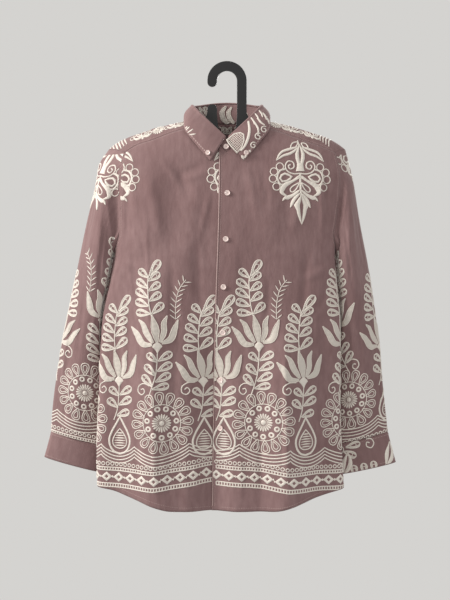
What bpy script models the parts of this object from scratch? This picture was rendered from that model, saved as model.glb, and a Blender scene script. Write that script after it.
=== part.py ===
"""Embroidered long-sleeved shirt that hangs on a flat plastic hanger.

The frame: the origin is the inner top of the hanger's hook, where it rests on its peg.
+X is the viewer's right, -Y is the front of the shirt and +Z is up. The shirt's left
and right are the wearer's, so its right side is at -X.

Sizes are in millimetres, and each mesh is made in metres. Every piece of cloth is a
wall: an outer skin of points worked out from the body and sleeve sections, and an
inner skin one cloth thickness behind it.
"""

import math
from collections import namedtuple
from functools import lru_cache

import bmesh
import bpy
import numpy as np

MM = 0.001

# Cloth
WALL = 1.3
SEAM_GAP = 0.3
LAYER_LIFT = 1.9

# Neck opening
NECK_HALF = 67.0
NECK_FRONT = 50.0
NECK_BACK = 46.0
NECK_SIDE_Z = -95.0
NECK_BACK_RISE = 2.0
NECK_DROP = 68.0
NECK_CURVE = 0.86
NECK_SEAM_ANGLE = 127.0

# Shoulders
SHOULDER_TIP_X = 226.0
FRONT_FALL = 80.0
BACK_FALL = 100.0
YOKE_FRONT_Z = -160.0
YOKE_BACK_Z = -190.0
YOKE_BACK_X = 208.0

# Rows of the pieces that meet at the armhole and at the yoke's front seam
FRONT_ARM_ROWS = 8
BACK_ARM_ROWS = 6
WING_ROWS = 4
YOKE_ROWS = 5
WING_COLUMNS = 9
SIDE_ROWS = 14
FRONT_NECK_COLUMNS = 5
BACK_COLUMNS = 22
BACK_NECK_COLUMNS = 8
SLEEVE_ROWS = 17
SLEEVE_FIRST_T = 0.01
SLEEVE_ROW_POWER = 1.1
RING_STEPS = 5

# Body
FRONT_ROUND = 2.6
SIDE_SEAM_ANGLE = 107.0
UNDERARM_Z = -352.0
OUTLINE_STEPS = 241
HEM_SIDE_Z = -786.0
HEM_MIDDLE_Z = -826.0
BACK_HEM_DROP = 3.0
BACK_HEM_HALF = 160.0
SIDE_FADE = 45.0

# Closing
UNDER_EDGE = 15.0
OVER_EDGE = -15.0
LIFT_FADE = 70.0
STRIP_COLUMNS = (-15.0, -7.0, 0.0, 7.0, 15.0)

# Collar
STAND_TOP_BACK_Z = -54.0
STAND_TOP_SIDE_Z = -68.0
STAND_TOP_DROP = 71.0
STAND_TOP_HALF = 65.5
STAND_TOP_FRONT = 47.0
STAND_TOP_BACK = 44.0
STAND_OVERLAP_ANGLE = 10.7
STAND_LIFT_START = 125.0
STAND_LIFT_RUN = 40.0
STAND_STRIP_ANGLE = 165.0
STAND_ROWS = 2
LEAF_END_ANGLE = 178.0
LEAF_COLUMNS = 30
LEAF_ARCH_TURNS = (180.0, 120.0, 60.0, 0.0)
LEAF_ARCH_RADIUS = 3.0
LEAF_ARCH_OUT = 0.9
LEAF_ARCH_UP = 0.65
LEAF_CLEARANCE = 4.2
LEAF_BULGE = 5.0
LEAF_FALL_SHARES = (0.3, 0.6, 0.85, 1.0)

# Cuffs and sleeve plackets
CUFF_OVERLAP_ANGLE = 20.0
CUFF_OPEN_ANGLE = 70.0
CUFF_HALF_WIDTH = 55.0
CUFF_LIFT_START = 290.0
CUFF_LIFT_RUN = 60.0
CUFF_COLUMNS = 24
CUFF_ROWS = 2
PLACKET_FIRST_T = 0.79
PLACKET_LAST_T = 0.99
PLACKET_ANGLE = 97.0
PLACKET_HALF_ANGLE = 11.0
PLACKET_POINT_WIDTH = 0.35
PLACKET_POINT_SHARE = 0.12
PLACKET_ROWS = 6
PLACKET_COLUMNS = 2
SLEEVE_BLEND = 0.15
BODY_CLEARANCE = 3.5
UNDERARM_CLEARANCE = 3.0
CLEARANCE_SLOPE = 260.0
CLEAR_TOP_Z = -305.0
LIP_LOW_Z = -540.0
LIP_SHIFTS = (-14.0, 0.0, 7.0, 14.0)

# Buttons
BUTTON_RADIUS = 5.2
BUTTON_THICK = 2.4
BUTTON_SEAT = 0.5
BUTTON_BEVEL = 0.6
BUTTON_RIM = 1.3
BUTTON_SINK = 0.6
SMALL_BUTTON_RADIUS = 4.6
COLLAR_BUTTON_ANGLE = 170.0
COLLAR_BUTTON_SHARE = 0.07

# Hanger
HOOK_INNER = 19.0
HOOK_OUTER = 37.5
HOOK_TIP_Z = -30.3
PLATE_THICK = 5.0
POST_TOP_Z = -63.5
POST_FOOT_Z = -78.0
VALLEY_TOP_Z = -75.0
VALLEY_Z = -140.0
ARM_THICK = 12.0
ARM_START_X = 56.0
ARM_END_X = 212.0
ARM_CLEARANCE = 0.5
ARM_DROOP_X = 165.0
ARM_DROOP_RUN = 40.0
ARM_ROUND_FROM = 0.9
BAR_STATIONS = 10
BAR_CORNERS = 10
PLATE_SINK = 3.0
PLATE_RISE = 1.0
MIDDLE_STATIONS = (20, 38, 55)
ARM_STATIONS = (70, 95, 120, 145, 170, 190, 206)

HangerPoint = namedtuple("HangerPoint", "x z")
POST_FLARE = (HangerPoint(39, -84), HangerPoint(44, -90.5), HangerPoint(54, -96.5))
ARM_LOW = (
    HangerPoint(0, -165),
    HangerPoint(38, -152),
    HangerPoint(70, -133),
    HangerPoint(120, -135),
    HangerPoint(170, -147),
    HangerPoint(ARM_END_X, -162),
)

Section = namedtuple("Section", "z left right front back middle round_back")
BODY = (
    Section(-850, 240, 225, 62, 55, -21, 2.1),
    Section(-770, 244, 219, 61, 54, -21, 2.1),
    Section(-710, 245, 215, 60, 54, -21, 2.1),
    Section(-610, 241, 213, 59, 53, -21, 2.1),
    Section(-520, 238, 213, 58, 52, -21, 2.1),
    Section(-456, 232, 211, 58, 51, -21, 2.1),
    Section(-400, 220, 206, 59, 50, -21, 2.1),
    Section(-350, 211, 203, 60, 50, -21, 2.2),
    Section(-262, 222, 222, 58, 51, -10, 3.0),
    Section(-205, 236, 236, 55, 52, 0, 3.2),
    Section(-160, 240, 240, 52, 52, 0, 3.2),
    Section(-60, 240, 240, 52, 52, 0, 3.2),
)

RidgePoint = namedtuple("RidgePoint", "x z")
RIDGE = (
    RidgePoint(67, -95),
    RidgePoint(90, -99),
    RidgePoint(124, -107),
    RidgePoint(160, -118),
    RidgePoint(194, -130),
    RidgePoint(212, -140),
    RidgePoint(226, -151),
    RidgePoint(245, -172),
)

SeamPoint = namedtuple("SeamPoint", "x z")
YOKE_SEAM = (SeamPoint(88.5, -119), SeamPoint(140, -138), SeamPoint(171, -148))

ArmholePoint = namedtuple("ArmholePoint", "z left right")
FRONT_ARMHOLE = (
    ArmholePoint(-322, 202.5, 199.5),
    ArmholePoint(-291, 201.0, 203.0),
    ArmholePoint(-250, 199.5, 209.0),
    ArmholePoint(-207, 198.0, 211.0),
    ArmholePoint(-187, 196.0, 209.0),
    ArmholePoint(YOKE_FRONT_Z, 190.0, 203.0),
)
BACK_ARMHOLE = (
    ArmholePoint(-322, 203.0, 199.5),
    ArmholePoint(-262, 200.0, 200.0),
    ArmholePoint(YOKE_BACK_Z, YOKE_BACK_X, YOKE_BACK_X),
)
ARMHOLE_FOOT_SHARE = 0.35
ARMHOLE_FOOT_RISE = 9.0

HemPoint = namedtuple("HemPoint", "s z")
HEM = (
    HemPoint(0, -826),
    HemPoint(60, -825.5),
    HemPoint(100, -823),
    HemPoint(125, -816),
    HemPoint(150, -808),
    HemPoint(180, -800),
    HemPoint(215, -790),
    HemPoint(245, -786),
    HemPoint(300, -786),
)

ClosingPoint = namedtuple("ClosingPoint", "z x")
CLOSING = (
    ClosingPoint(-850, -13.5),
    ClosingPoint(-674, -11.8),
    ClosingPoint(-590, -10.5),
    ClosingPoint(-500, -8.2),
    ClosingPoint(-415, -6.2),
    ClosingPoint(-326, -3.0),
    ClosingPoint(-240, -0.8),
    ClosingPoint(-139, 0.0),
)

# A fold runs from its top to the hem. Its height is out of the body, or into it below zero.
Fold = namedtuple("Fold", "top_s top_z low_s half_width height reach")
FRONT_FOLDS = (
    Fold(-143, -300, -132, 52, 17, 230),
    Fold(-28, -450, -30, 52, -15, 150),
    Fold(104, -400, 112, 56, 17, 200),
    Fold(178, -420, 180, 40, -7, 200),
    Fold(-205, -330, -205, 38, -6, 220),
    Fold(-100, -215, -70, 60, 6, 60),
)
BACK_FOLDS = (
    Fold(-120, -330, -130, 50, 13, 240),
    Fold(-40, -420, -36, 46, -11, 220),
    Fold(60, -350, 66, 52, 14, 240),
    Fold(150, -430, 156, 44, -9, 200),
)

SleeveRing = namedtuple("SleeveRing", "t outer_x outer_z inner_x inner_z middle_y half_depth")
LEFT_SLEEVE = (
    SleeveRing(0.00, 226.0, -151, 204, -352, 0, 40),
    SleeveRing(0.07, 243.0, -177, 206, -374, 1, 42),
    SleeveRing(0.15, 249.0, -212, 208, -402, 3, 42),
    SleeveRing(0.30, 268.0, -290, 211, -454, 6, 38),
    SleeveRing(0.45, 287.0, -378, 214, -510, 8, 32),
    SleeveRing(0.60, 304.0, -458, 217, -564, 9, 26),
    SleeveRing(0.75, 319.0, -532, 220, -622, 10, 21),
    SleeveRing(0.90, 332.5, -625, 223, -682, 10, 16),
    SleeveRing(1.00, 337.0, -688, 226, -717, 9, 14),
)
RIGHT_SLEEVE = (
    SleeveRing(0.00, 226.0, -151, 197, -352, 0, 40),
    SleeveRing(0.07, 234.0, -182, 199, -374, 1, 42),
    SleeveRing(0.15, 241.0, -214, 200, -402, 3, 42),
    SleeveRing(0.30, 254.0, -290, 201, -454, 6, 38),
    SleeveRing(0.45, 269.0, -364, 201, -510, 8, 32),
    SleeveRing(0.60, 281.0, -440, 201, -564, 9, 26),
    SleeveRing(0.75, 292.0, -520, 200, -622, 10, 21),
    SleeveRing(0.90, 301.0, -622, 199, -682, 10, 16),
    SleeveRing(1.00, 308.0, -688, 199, -714, 9, 14),
)
CuffEnd = namedtuple("CuffEnd", "outer_x outer_z inner_x inner_z middle_y half_depth")
LEFT_CUFF_END = CuffEnd(350.0, -737, 239.0, -767, 8, 13)
RIGHT_CUFF_END = CuffEnd(323.5, -747, 212.0, -771, 8, 13)

# A sleeve fold runs down the sleeve at an angle round it, between two fractions of its length.
SleeveFold = namedtuple("SleeveFold", "angle start end half_angle height")
SLEEVE_FOLDS = (
    SleeveFold(-82, 0.10, 1.05, 42, 8),
    SleeveFold(-140, 0.15, 0.95, 34, -5),
    SleeveFold(75, 0.15, 1.00, 45, 6),
)

LeafPoint = namedtuple("LeafPoint", "angle x y z")
LEAF_EDGE = (
    LeafPoint(0, 0, 57, -99),
    LeafPoint(35, 46, 51, -98.5),
    LeafPoint(62, 72, 30, -97),
    LeafPoint(90, 81, 3, -92),
    LeafPoint(112, 81.5, -25, -108),
    LeafPoint(128, 79, -40, -121),
    LeafPoint(150, 58, -52, -149),
    LeafPoint(178, 30.5, -56, -181),
)

ButtonPlace = namedtuple("ButtonPlace", "name s z")
FRONT_BUTTONS = (
    ButtonPlace("button_front_2", 0.5, -240),
    ButtonPlace("button_front_3", -2.3, -325),
    ButtonPlace("button_front_4", -6.6, -413),
    ButtonPlace("button_front_5", -7.5, -497),
    ButtonPlace("button_front_6", -12.0, -585),
    ButtonPlace("button_front_7", -12.0, -674),
)
NECK_BUTTON = ButtonPlace("button_front_1", -1.8, -153.5)

MAUVE = (0.262, 0.165, 0.159, 1.0)
BUTTON_PINK = (0.75, 0.62, 0.58, 1.0)
BLACK = (0.012, 0.012, 0.013, 1.0)


def clear_scene():
    """Empty the scene, so that the file holds the model alone."""
    for item in list(bpy.data.objects):
        bpy.data.objects.remove(item, do_unlink=True)


def make_material(name, color, roughness):
    """Make a plain Principled material."""
    material = bpy.data.materials.new(name)
    material.use_nodes = True
    shader = material.node_tree.nodes["Principled BSDF"]
    shader.inputs["Base Color"].default_value = color
    shader.inputs["Roughness"].default_value = roughness
    shader.inputs["Metallic"].default_value = 0.0
    return material


def smoothstep(value):
    """Ease from 0 to 1."""
    value = min(max(value, 0.0), 1.0)
    return value * value * (3.0 - 2.0 * value)


def smooth(at, places, values):
    """Cubic curve through a table, with each slope taken from its neighbours."""
    slopes = np.gradient(values, places)
    index = int(np.clip(np.searchsorted(places, at) - 1, 0, len(places) - 2))
    span = places[index + 1] - places[index]
    t = min(max((at - places[index]) / span, 0.0), 1.0)
    rise = t * t * (3.0 - 2.0 * t)
    return (
        values[index] * (1.0 - rise)
        + values[index + 1] * rise
        + slopes[index] * span * t * (1.0 - t) ** 2
        - slopes[index + 1] * span * t * t * (1.0 - t)
    )


def column(table, name):
    """One named column of a table, as numbers."""
    return np.array([getattr(row, name) for row in table], dtype=float)


def curve_through(points):
    """Smooth curve through points, as a function of 0 to 1 along its length."""
    points = np.array(points, dtype=float)
    steps = np.linalg.norm(np.diff(points, axis=0), axis=1)
    places = np.concatenate(([0.0], np.cumsum(steps)))
    places /= places[-1]

    def at(fraction):
        return np.array([smooth(fraction, places, points[:, axis]) for axis in range(points.shape[1])])

    return at


def unit(vector):
    """The vector at length 1."""
    return vector / np.linalg.norm(vector)


BODY_Z = column(BODY, "z")
BODY_COLUMNS = {name: column(BODY, name) for name in Section._fields[1:]}


@lru_cache(maxsize=None)
def outline(side, z):
    """Half of the body's outline at one height, from the front middle to the back middle.

    Returns x, y, the length walked and the angle, each as a list of numbers.
    """
    row = {name: smooth(z, BODY_Z, values) for name, values in BODY_COLUMNS.items()}
    half = row["left"] if side < 0 else row["right"]
    angle = np.linspace(0.0, math.pi, OUTLINE_STEPS)
    in_front = angle <= math.pi / 2.0
    power = np.where(in_front, 2.0 / FRONT_ROUND, 2.0 / row["round_back"])
    reach = np.where(in_front, -(row["front"] + row["middle"]), row["back"] - row["middle"])
    x = side * half * np.abs(np.sin(angle)) ** power
    y = row["middle"] + reach * np.abs(np.cos(angle)) ** power
    length = np.concatenate(([0.0], np.cumsum(np.hypot(np.diff(x), np.diff(y)))))
    return x, y, length, angle


def side_of(value):
    """The side that a signed distance lies on."""
    return -1 if value < 0 else 1


def quarter(side, z, front):
    """The front or the back quarter of the outline, with |x| rising."""
    x, y, length, _ = outline(side, z)
    half = OUTLINE_STEPS // 2
    if front:
        return np.abs(x[: half + 1]), y[: half + 1], length[: half + 1]
    return np.abs(x[half:])[::-1], y[half:][::-1], (length[-1] - length[half:])[::-1]


def flat_depth(x, z, front):
    """How far the body reaches from the plane of the hanger at x, before it closes at the ridge."""
    across, depth, _ = quarter(side_of(x), z, front)
    return abs(float(np.interp(abs(x), across, depth)))


def s_at(x, z, front):
    """Signed length along the outline, from the front or back middle, of the point at x."""
    across, _, length = quarter(side_of(x), z, front)
    return side_of(x) * float(np.interp(abs(x), across, length))


def side_seam_s(side, z, front=True):
    """Signed length along the outline of the side seam."""
    _, _, length, angle = outline(side, z)
    seam = float(np.interp(math.radians(SIDE_SEAM_ANGLE), angle, length))
    return side * (seam if front else length[-1] - seam)


def neck_edge(x, front):
    """Depth and height of the neck opening's edge at x."""
    share = min(abs(x) / NECK_HALF, 1.0)
    bow = math.sqrt(1.0 - share * share)
    if front:
        return NECK_FRONT * bow, NECK_SIDE_Z - NECK_DROP * (1.0 - share) ** NECK_CURVE
    return NECK_BACK * bow, NECK_SIDE_Z + NECK_BACK_RISE * bow * bow


@lru_cache(maxsize=None)
def ridge_height(x, front):
    """Height of the shoulder ridge. Inside the neck it goes on so as to pass the neck's edge."""
    if abs(x) >= NECK_HALF:
        return smooth(abs(x), column(RIDGE, "x"), column(RIDGE, "z"))
    depth, height = neck_edge(x, front)
    full = min(depth / flat_depth(x, height, front), 1.0)
    fall = FRONT_FALL if front else BACK_FALL
    return height + fall * (1.0 - math.sqrt(1.0 - full * full))


def shoulder_fill(x, z, front):
    """Share of its full depth that the body has at x and z, from 0 at the ridge to 1."""
    fall = FRONT_FALL if front else BACK_FALL
    below = min(max((ridge_height(x, front) - z) / fall, 0.0), 1.0)
    return math.sqrt(1.0 - (1.0 - below) ** 2)


def fold_height(s, z, folds):
    """Height of the folds at a place on the front or the back."""
    total = 0.0
    for fold in folds:
        down = min(max((fold.top_z - z) / (fold.top_z - HEM_MIDDLE_Z), 0.0), 1.0)
        middle = fold.top_s + (fold.low_s - fold.top_s) * down
        away = abs(s - middle) / fold.half_width
        if away < 1.0:
            grown = smoothstep((fold.top_z - z) / fold.reach)
            total += fold.height * grown * 0.5 * (1.0 + math.cos(math.pi * away))
    return total


def side_fade(s, z, front):
    """1 over the panel and 0 at the side seam, so that folds close there."""
    seam = abs(side_seam_s(side_of(s), z, front))
    return smoothstep((seam - abs(s)) / SIDE_FADE)


def body_point(s, z, front, lift=0.0):
    """Outer point of the body at a signed length from the front or back middle, and at z."""
    side = side_of(s)
    x_line, y_line, length, _ = outline(side, z)
    at = abs(s) if front else length[-1] - abs(s)
    x = float(np.interp(at, length, x_line))
    y = float(np.interp(at, length, y_line))
    ahead = (np.interp(at + 2.0, length, x_line), np.interp(at + 2.0, length, y_line))
    behind = (np.interp(at - 2.0, length, x_line), np.interp(at - 2.0, length, y_line))
    run = np.array((ahead[0] - behind[0], ahead[1] - behind[1]))
    outward = unit(np.array((run[1], -run[0]))) * side
    folds = FRONT_FOLDS if front else BACK_FOLDS
    height = fold_height(s, z, folds) * side_fade(s, z, front) + lift
    filled = y * shoulder_fill(x, z, y < 0.0)
    return np.array((x + outward[0] * height, filled + outward[1] * height, z))


def over_shoulder(x, q):
    """Outer point over the shoulder: q runs from below zero in front, over the ridge, to the back."""
    front = q < 0.0
    fall = FRONT_FALL if front else BACK_FALL
    turn = min(abs(q) / fall, math.pi / 2.0)
    z = ridge_height(x, front) - fall * (1.0 - math.cos(turn)) - max(abs(q) - fall * math.pi / 2.0, 0.0)
    depth = flat_depth(x, z, front) * math.sin(turn)
    return np.array((x, -depth if front else depth, z))


def q_at(x, z, front):
    """The run q over the shoulder that reaches height z at x."""
    fall = FRONT_FALL if front else BACK_FALL
    below = max(ridge_height(x, front) - z, 0.0)
    run = fall * math.acos(1.0 - below / fall) if below < fall else fall * math.pi / 2.0 + below - fall
    return -run if front else run


def slope_normal(place, a, b, flip, step=0.8):
    """Outward normal of the surface place(a, b)."""
    along_a = place(a + step, b) - place(a - step, b)
    along_b = place(a, b + step) - place(a, b - step)
    normal = unit(np.cross(along_a, along_b))
    return -normal if flip else normal


class Skin:
    """Outer skin of one piece of cloth: points with outward normals, and triangles."""

    def __init__(self):
        self.points = []
        self.normals = []
        self.faces = []
        self.known = {}

    def add(self, point, normal):
        """Add a point, or find it where another grid has already put it."""
        key = tuple(np.round(point, 2))
        if key not in self.known:
            self.known[key] = len(self.points)
            self.points.append(np.array(point, dtype=float))
            self.normals.append(np.array(normal, dtype=float))
        return self.known[key]

    def add_grid(self, points, normals, ring=False):
        """Add rows of points, each joined to the next by triangles on the shorter diagonals."""
        rows = [[self.add(p, n) for p, n in zip(*pair)] for pair in zip(points, normals)]
        for low, high in zip(rows, rows[1:]):
            count = len(low) if ring else len(low) - 1
            for j in range(count):
                k = (j + 1) % len(low)
                self.add_cell(low[j], low[k], high[k], high[j])

    def add_cell(self, a, b, c, d):
        """Add the cell a, b, c, d as two triangles."""
        first = np.linalg.norm(self.points[a] - self.points[c])
        second = np.linalg.norm(self.points[b] - self.points[d])
        cells = ((a, b, c), (a, c, d)) if first <= second else ((a, b, d), (b, c, d))
        self.faces.extend(cell for cell in cells if len(set(cell)) == 3)

    def edges(self):
        """Edges that only one triangle uses, in that triangle's direction."""
        used = set()
        for face in self.faces:
            for start, end in zip(face, face[1:] + face[:1]):
                used.add((start, end))
        return [edge for edge in used if (edge[1], edge[0]) not in used]

    def trim(self, amount):
        """Draw the free edges in by an amount, which leaves half of a seam's gap."""
        free = sorted(self.edges())
        partners = {}
        for start, end in free:
            partners.setdefault(start, []).append(end)
            partners.setdefault(end, []).append(start)
        inner = {index: [] for index in partners}
        for face in self.faces:
            middle = sum(self.points[index] for index in face) / 3.0
            for index in face:
                if index in inner:
                    inner[index].append(middle)
        moved = {}
        for index, middles in inner.items():
            toward = sum(middles) / len(middles) - self.points[index]
            ends = partners[index]
            edge = self.points[ends[1]] - self.points[ends[0]]
            edge = unit(edge)
            toward = toward - edge * np.dot(toward, edge)
            moved[index] = self.points[index] + unit(toward) * amount
        for index, point in moved.items():
            self.points[index] = point

    def thicken(self, wall):
        """Close the skin with an inner skin, and a wall along every free edge."""
        count = len(self.points)
        inner = [p - n * wall for p, n in zip(self.points, self.normals)]
        faces = list(self.faces)
        faces += [tuple(index + count for index in reversed(face)) for face in self.faces]
        for start, end in self.edges():
            faces.append((end, start, start + count))
            faces.append((end, start + count, end + count))
        return self.points + inner, faces


def make_object(name, points, faces, material):
    """Make an object from points in millimetres and triangles, with its faces turned outward."""
    mesh = bpy.data.meshes.new(name)
    mesh.from_pydata([tuple(float(v) * MM for v in point) for point in points], [], faces)
    mesh.update()
    work = bmesh.new()
    work.from_mesh(mesh)
    bmesh.ops.recalc_face_normals(work, faces=work.faces)
    if work.calc_volume(signed=True) < 0.0:
        bmesh.ops.reverse_faces(work, faces=work.faces)
    work.to_mesh(mesh)
    work.free()
    item = bpy.data.objects.new(name, mesh)
    bpy.context.scene.collection.objects.link(item)
    mesh.materials.append(material)
    mesh.shade_smooth()
    mesh.set_sharp_from_angle(angle=math.radians(40.0))
    return item


def make_cloth(name, skin, material, wall=WALL):
    """Turn a skin into a piece of cloth."""
    skin.trim(SEAM_GAP / 2.0)
    points, faces = skin.thicken(wall)
    return make_object(name, points, faces, material)


def patch(low, high, start, end, columns, rows):
    """Plane points inside four edges, each edge a function of 0 to 1."""
    grid = np.zeros((rows + 1, columns + 1, 2))
    for i in range(rows + 1):
        v = i / rows
        for j in range(columns + 1):
            u = j / columns
            across = (1.0 - u) * start(v) + u * end(v)
            along = (1.0 - v) * low(u) + v * high(u)
            near = (1.0 - v) * low(0.0) + v * high(0.0)
            far = (1.0 - v) * low(1.0) + v * high(1.0)
            grid[i, j] = across + along - (1.0 - u) * near - u * far
    return grid


def place_grid(grid, place, flip, seam=None):
    """Turn plane points into outer points and outward normals."""
    points = []
    normals = []
    for row in grid:
        points.append([place(a, b) for a, b in row])
        normals.append([slope_normal(place, a, b, flip) for a, b in row])
    if seam is not None:
        normals = [[seam(p, n) for p, n in zip(*pair)] for pair in zip(points, normals)]
    return points, normals


def chain(first, second, share):
    """Two curves end to end, the first one up to the given share."""

    def at(fraction):
        if fraction <= share:
            return first(fraction / share)
        return second((fraction - share) / (1.0 - share))

    return at


def hem_z(s):
    """Height of the hem at a signed length from the front or back middle."""
    return smooth(abs(s), column(HEM, "s"), column(HEM, "z"))


def closing_x(z):
    """Where the line of the front buttons runs."""
    return smooth(z, column(CLOSING, "z"), column(CLOSING, "x"))


def armhole_table(side, table):
    """The x and z of a table of armhole points on one side."""
    return [(side * (row.left if side < 0 else row.right), row.z) for row in table]


def armhole_plane(side, front):
    """Armhole from the underarm up to the yoke, as a curve of s and z."""
    table = FRONT_ARMHOLE if front else BACK_ARMHOLE
    points = [np.array((s_at(x, z, front), z)) for x, z in armhole_table(side, table)]
    foot = np.array((side_seam_s(side, UNDERARM_Z, front), UNDERARM_Z))
    bend = np.array((
        foot[0] + (points[0][0] - foot[0]) * (1.0 - ARMHOLE_FOOT_SHARE),
        UNDERARM_Z + ARMHOLE_FOOT_RISE,
    ))
    return curve_through([foot, bend] + points)


def yoke_corners(side):
    """Front and back ends of the yoke's armhole edge, as x and q."""
    front_x = armhole_table(side, FRONT_ARMHOLE)[-1][0]
    back_x = side * YOKE_BACK_X
    return (
        np.array((front_x, q_at(front_x, YOKE_FRONT_Z, True))),
        np.array((back_x, q_at(back_x, YOKE_BACK_Z, False))),
    )


def yoke_armhole(side, q):
    """Where the armhole crosses the shoulder at q."""
    front, back = yoke_corners(side)
    tip = side * SHOULDER_TIP_X
    corner = front if q < 0.0 else back
    return tip + (corner[0] - tip) * (q / corner[1]) ** 2


@lru_cache(maxsize=None)
def armhole_ring(side):
    """Points round the armhole from the underarm, up the front, to the underarm again.

    Returns the points, the body's normals there and the fraction of the way round.
    """
    front_corner, back_corner = yoke_corners(side)
    samples = []
    steps = FRONT_ARM_ROWS * RING_STEPS
    for k in range(steps):
        s, z = armhole_plane(side, True)(k / steps)
        samples.append((front_place(s, z), slope_normal(front_place, s, z, False)))
    steps = WING_ROWS * RING_STEPS
    runs = [front_corner[1] * (1.0 - k / steps) for k in range(steps)]
    steps = YOKE_ROWS * RING_STEPS
    runs += [back_corner[1] * k / steps for k in range(steps + 1)]
    for q in runs:
        x = yoke_armhole(side, q)
        samples.append((over_shoulder(x, q), slope_normal(over_shoulder, x, q, False)))
    steps = BACK_ARM_ROWS * RING_STEPS
    for k in range(1, steps + 1):
        s, z = armhole_plane(side, False)(1.0 - k / steps)
        samples.append((back_place(s, z), slope_normal(back_place, s, z, True)))
    points = np.array([sample[0] for sample in samples])
    normals = np.array([sample[1] for sample in samples])
    walked = np.concatenate(([0.0], np.cumsum(np.linalg.norm(np.diff(points, axis=0), axis=1))))
    return points, normals, walked / walked[-1]


def front_place(s, z):
    """Outer point of a front, without the lift of the over layer."""
    return body_point(s, z, True)


def over_place(s, z):
    """Outer point of the front that lies over the other."""
    away = s - closing_x(z) - UNDER_EDGE
    return body_point(s, z, True, LAYER_LIFT * (1.0 - smoothstep(away / LIFT_FADE)))


def back_place(s, z):
    """Outer point of the back."""
    return body_point(s, z, False)


def body_limit(side, y, z):
    """How far the body reaches sideways at y and z, or zero where it isn't."""
    x, depth, _, _ = outline(side, z)
    half = OUTLINE_STEPS // 2
    if y < depth[0] or y > depth[-1]:
        return 0.0
    if y < depth[half]:
        return float(np.interp(y, depth[: half + 1], np.abs(x[: half + 1])))
    return float(np.interp(y, depth[half:], np.abs(x[half:])))


def sleeve_ring(side, t, angle):
    """Point of the plain sleeve: an oval ring at t, at an angle from its outer edge."""
    table = LEFT_SLEEVE if side < 0 else RIGHT_SLEEVE
    places = column(table, "t")
    row = {name: smooth(t, places, column(table, name)) for name in SleeveRing._fields[1:]}
    outer = np.array((side * row["outer_x"], row["middle_y"], row["outer_z"]))
    inner = np.array((side * row["inner_x"], row["middle_y"], row["inner_z"]))
    turn = math.radians(angle)
    depth = np.array((0.0, row["half_depth"] * math.sin(turn), 0.0))
    return (outer + inner) / 2.0 + (outer - inner) / 2.0 * math.cos(turn) + depth


def sleeve_outward(side, t, angle):
    """Direction out of the plain sleeve, in the plane of its oval ring."""
    outer = sleeve_ring(side, t, 0.0)
    inner = sleeve_ring(side, t, 180.0)
    half_depth = sleeve_ring(side, t, 90.0)[1] - outer[1]
    half_width = np.linalg.norm(outer - inner) / 2.0
    turn = math.radians(angle)
    across = unit(outer - inner) * math.cos(turn) / half_width
    return unit(across + np.array((0.0, math.sin(turn) / half_depth, 0.0)))


def sleeve_fold(t, angle):
    """Height of the sleeve's folds."""
    total = 0.0
    for fold in SLEEVE_FOLDS:
        away = abs((angle - fold.angle + 180.0) % 360.0 - 180.0) / fold.half_angle
        if away < 1.0:
            grown = smoothstep((t - fold.start) / 0.15) * smoothstep((fold.end - t) / 0.15)
            total += fold.height * grown * 0.5 * (1.0 + math.cos(math.pi * away))
    return total


def armhole_angles(side):
    """Sleeve angle of each point of the armhole ring: -180 at the underarm, 0 at the shoulder."""
    _, _, walked = armhole_ring(side)
    tip = walked[(FRONT_ARM_ROWS + WING_ROWS) * RING_STEPS]
    return np.where(walked <= tip, -180.0 + 180.0 * walked / tip, 180.0 * (walked - tip) / (1.0 - tip))


def armhole_at(side, angle):
    """Point of the armhole that the sleeve's angle joins."""
    points, _, _ = armhole_ring(side)
    angles = armhole_angles(side)
    return np.array([float(np.interp(angle, angles, points[:, axis])) for axis in range(3)])


def sleeve_place(side, t, angle, lift=0.0):
    """Outer point of the sleeve, which starts on the armhole and stays clear of the body."""
    if abs(angle) > 180.0:
        angle = (angle + 180.0) % 360.0 - 180.0
    point = sleeve_ring(side, t, angle)
    meet = 1.0 - smoothstep(t / SLEEVE_BLEND)
    if meet > 0.0:
        point = point + (armhole_at(side, angle) - sleeve_ring(side, 0.0, angle)) * meet
    point = point + sleeve_outward(side, t, angle) * (sleeve_fold(t, angle) + lift)
    if t > 0.0:
        near = smoothstep((point[2] - LIP_LOW_Z) / 100.0)
        clear = min(SEAM_GAP + t * CLEARANCE_SLOPE, BODY_CLEARANCE + UNDERARM_CLEARANCE * near)
        limit = max(body_limit(side, point[1] + shift * near, point[2]) for shift in LIP_SHIFTS)
        short = limit + clear - abs(point[0])
        if limit and short > 0.0:
            point[0] += side * short * smoothstep((CLEAR_TOP_Z - point[2]) / 30.0)
    return point


def sleeve_normal(side, t, angle, lift=0.0):
    """Outward normal of the sleeve."""
    around = sleeve_place(side, t, angle + 2.0, lift) - sleeve_place(side, t, angle - 2.0, lift)
    along = sleeve_place(side, t + 0.012, angle, lift) - sleeve_place(side, max(t - 0.012, 0.0), angle, lift)
    normal = unit(np.cross(around, along))
    return normal if side < 0 else -normal


@lru_cache(maxsize=None)
def armhole_normals(side):
    """Sleeve normals and sleeve directions at the points of the armhole ring."""
    normals = []
    runs = []
    for angle in armhole_angles(side):
        normals.append(sleeve_normal(side, 0.0, angle))
        runs.append(unit(sleeve_place(side, 0.02, angle) - sleeve_place(side, 0.0, angle)))
    return np.array(normals), np.array(runs)


def seam_normal(side):
    """Rule for the armhole: where the sleeve turns down, both pieces share one mitred normal."""
    points, body_normals, _ = armhole_ring(side)
    sleeve_normals, runs = armhole_normals(side)

    def at(point, normal):
        away = np.linalg.norm(points - point, axis=1)
        near = int(np.argmin(away))
        if away[near] > 4.0 or np.dot(runs[near], body_normals[near]) >= 0.0:
            return normal
        return unit(body_normals[near] + sleeve_normals[near])

    return at


def either_seam(point, normal):
    """The armhole rule of the side that a point is on."""
    return seam_normal(side_of(point[0]))(point, normal)


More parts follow.
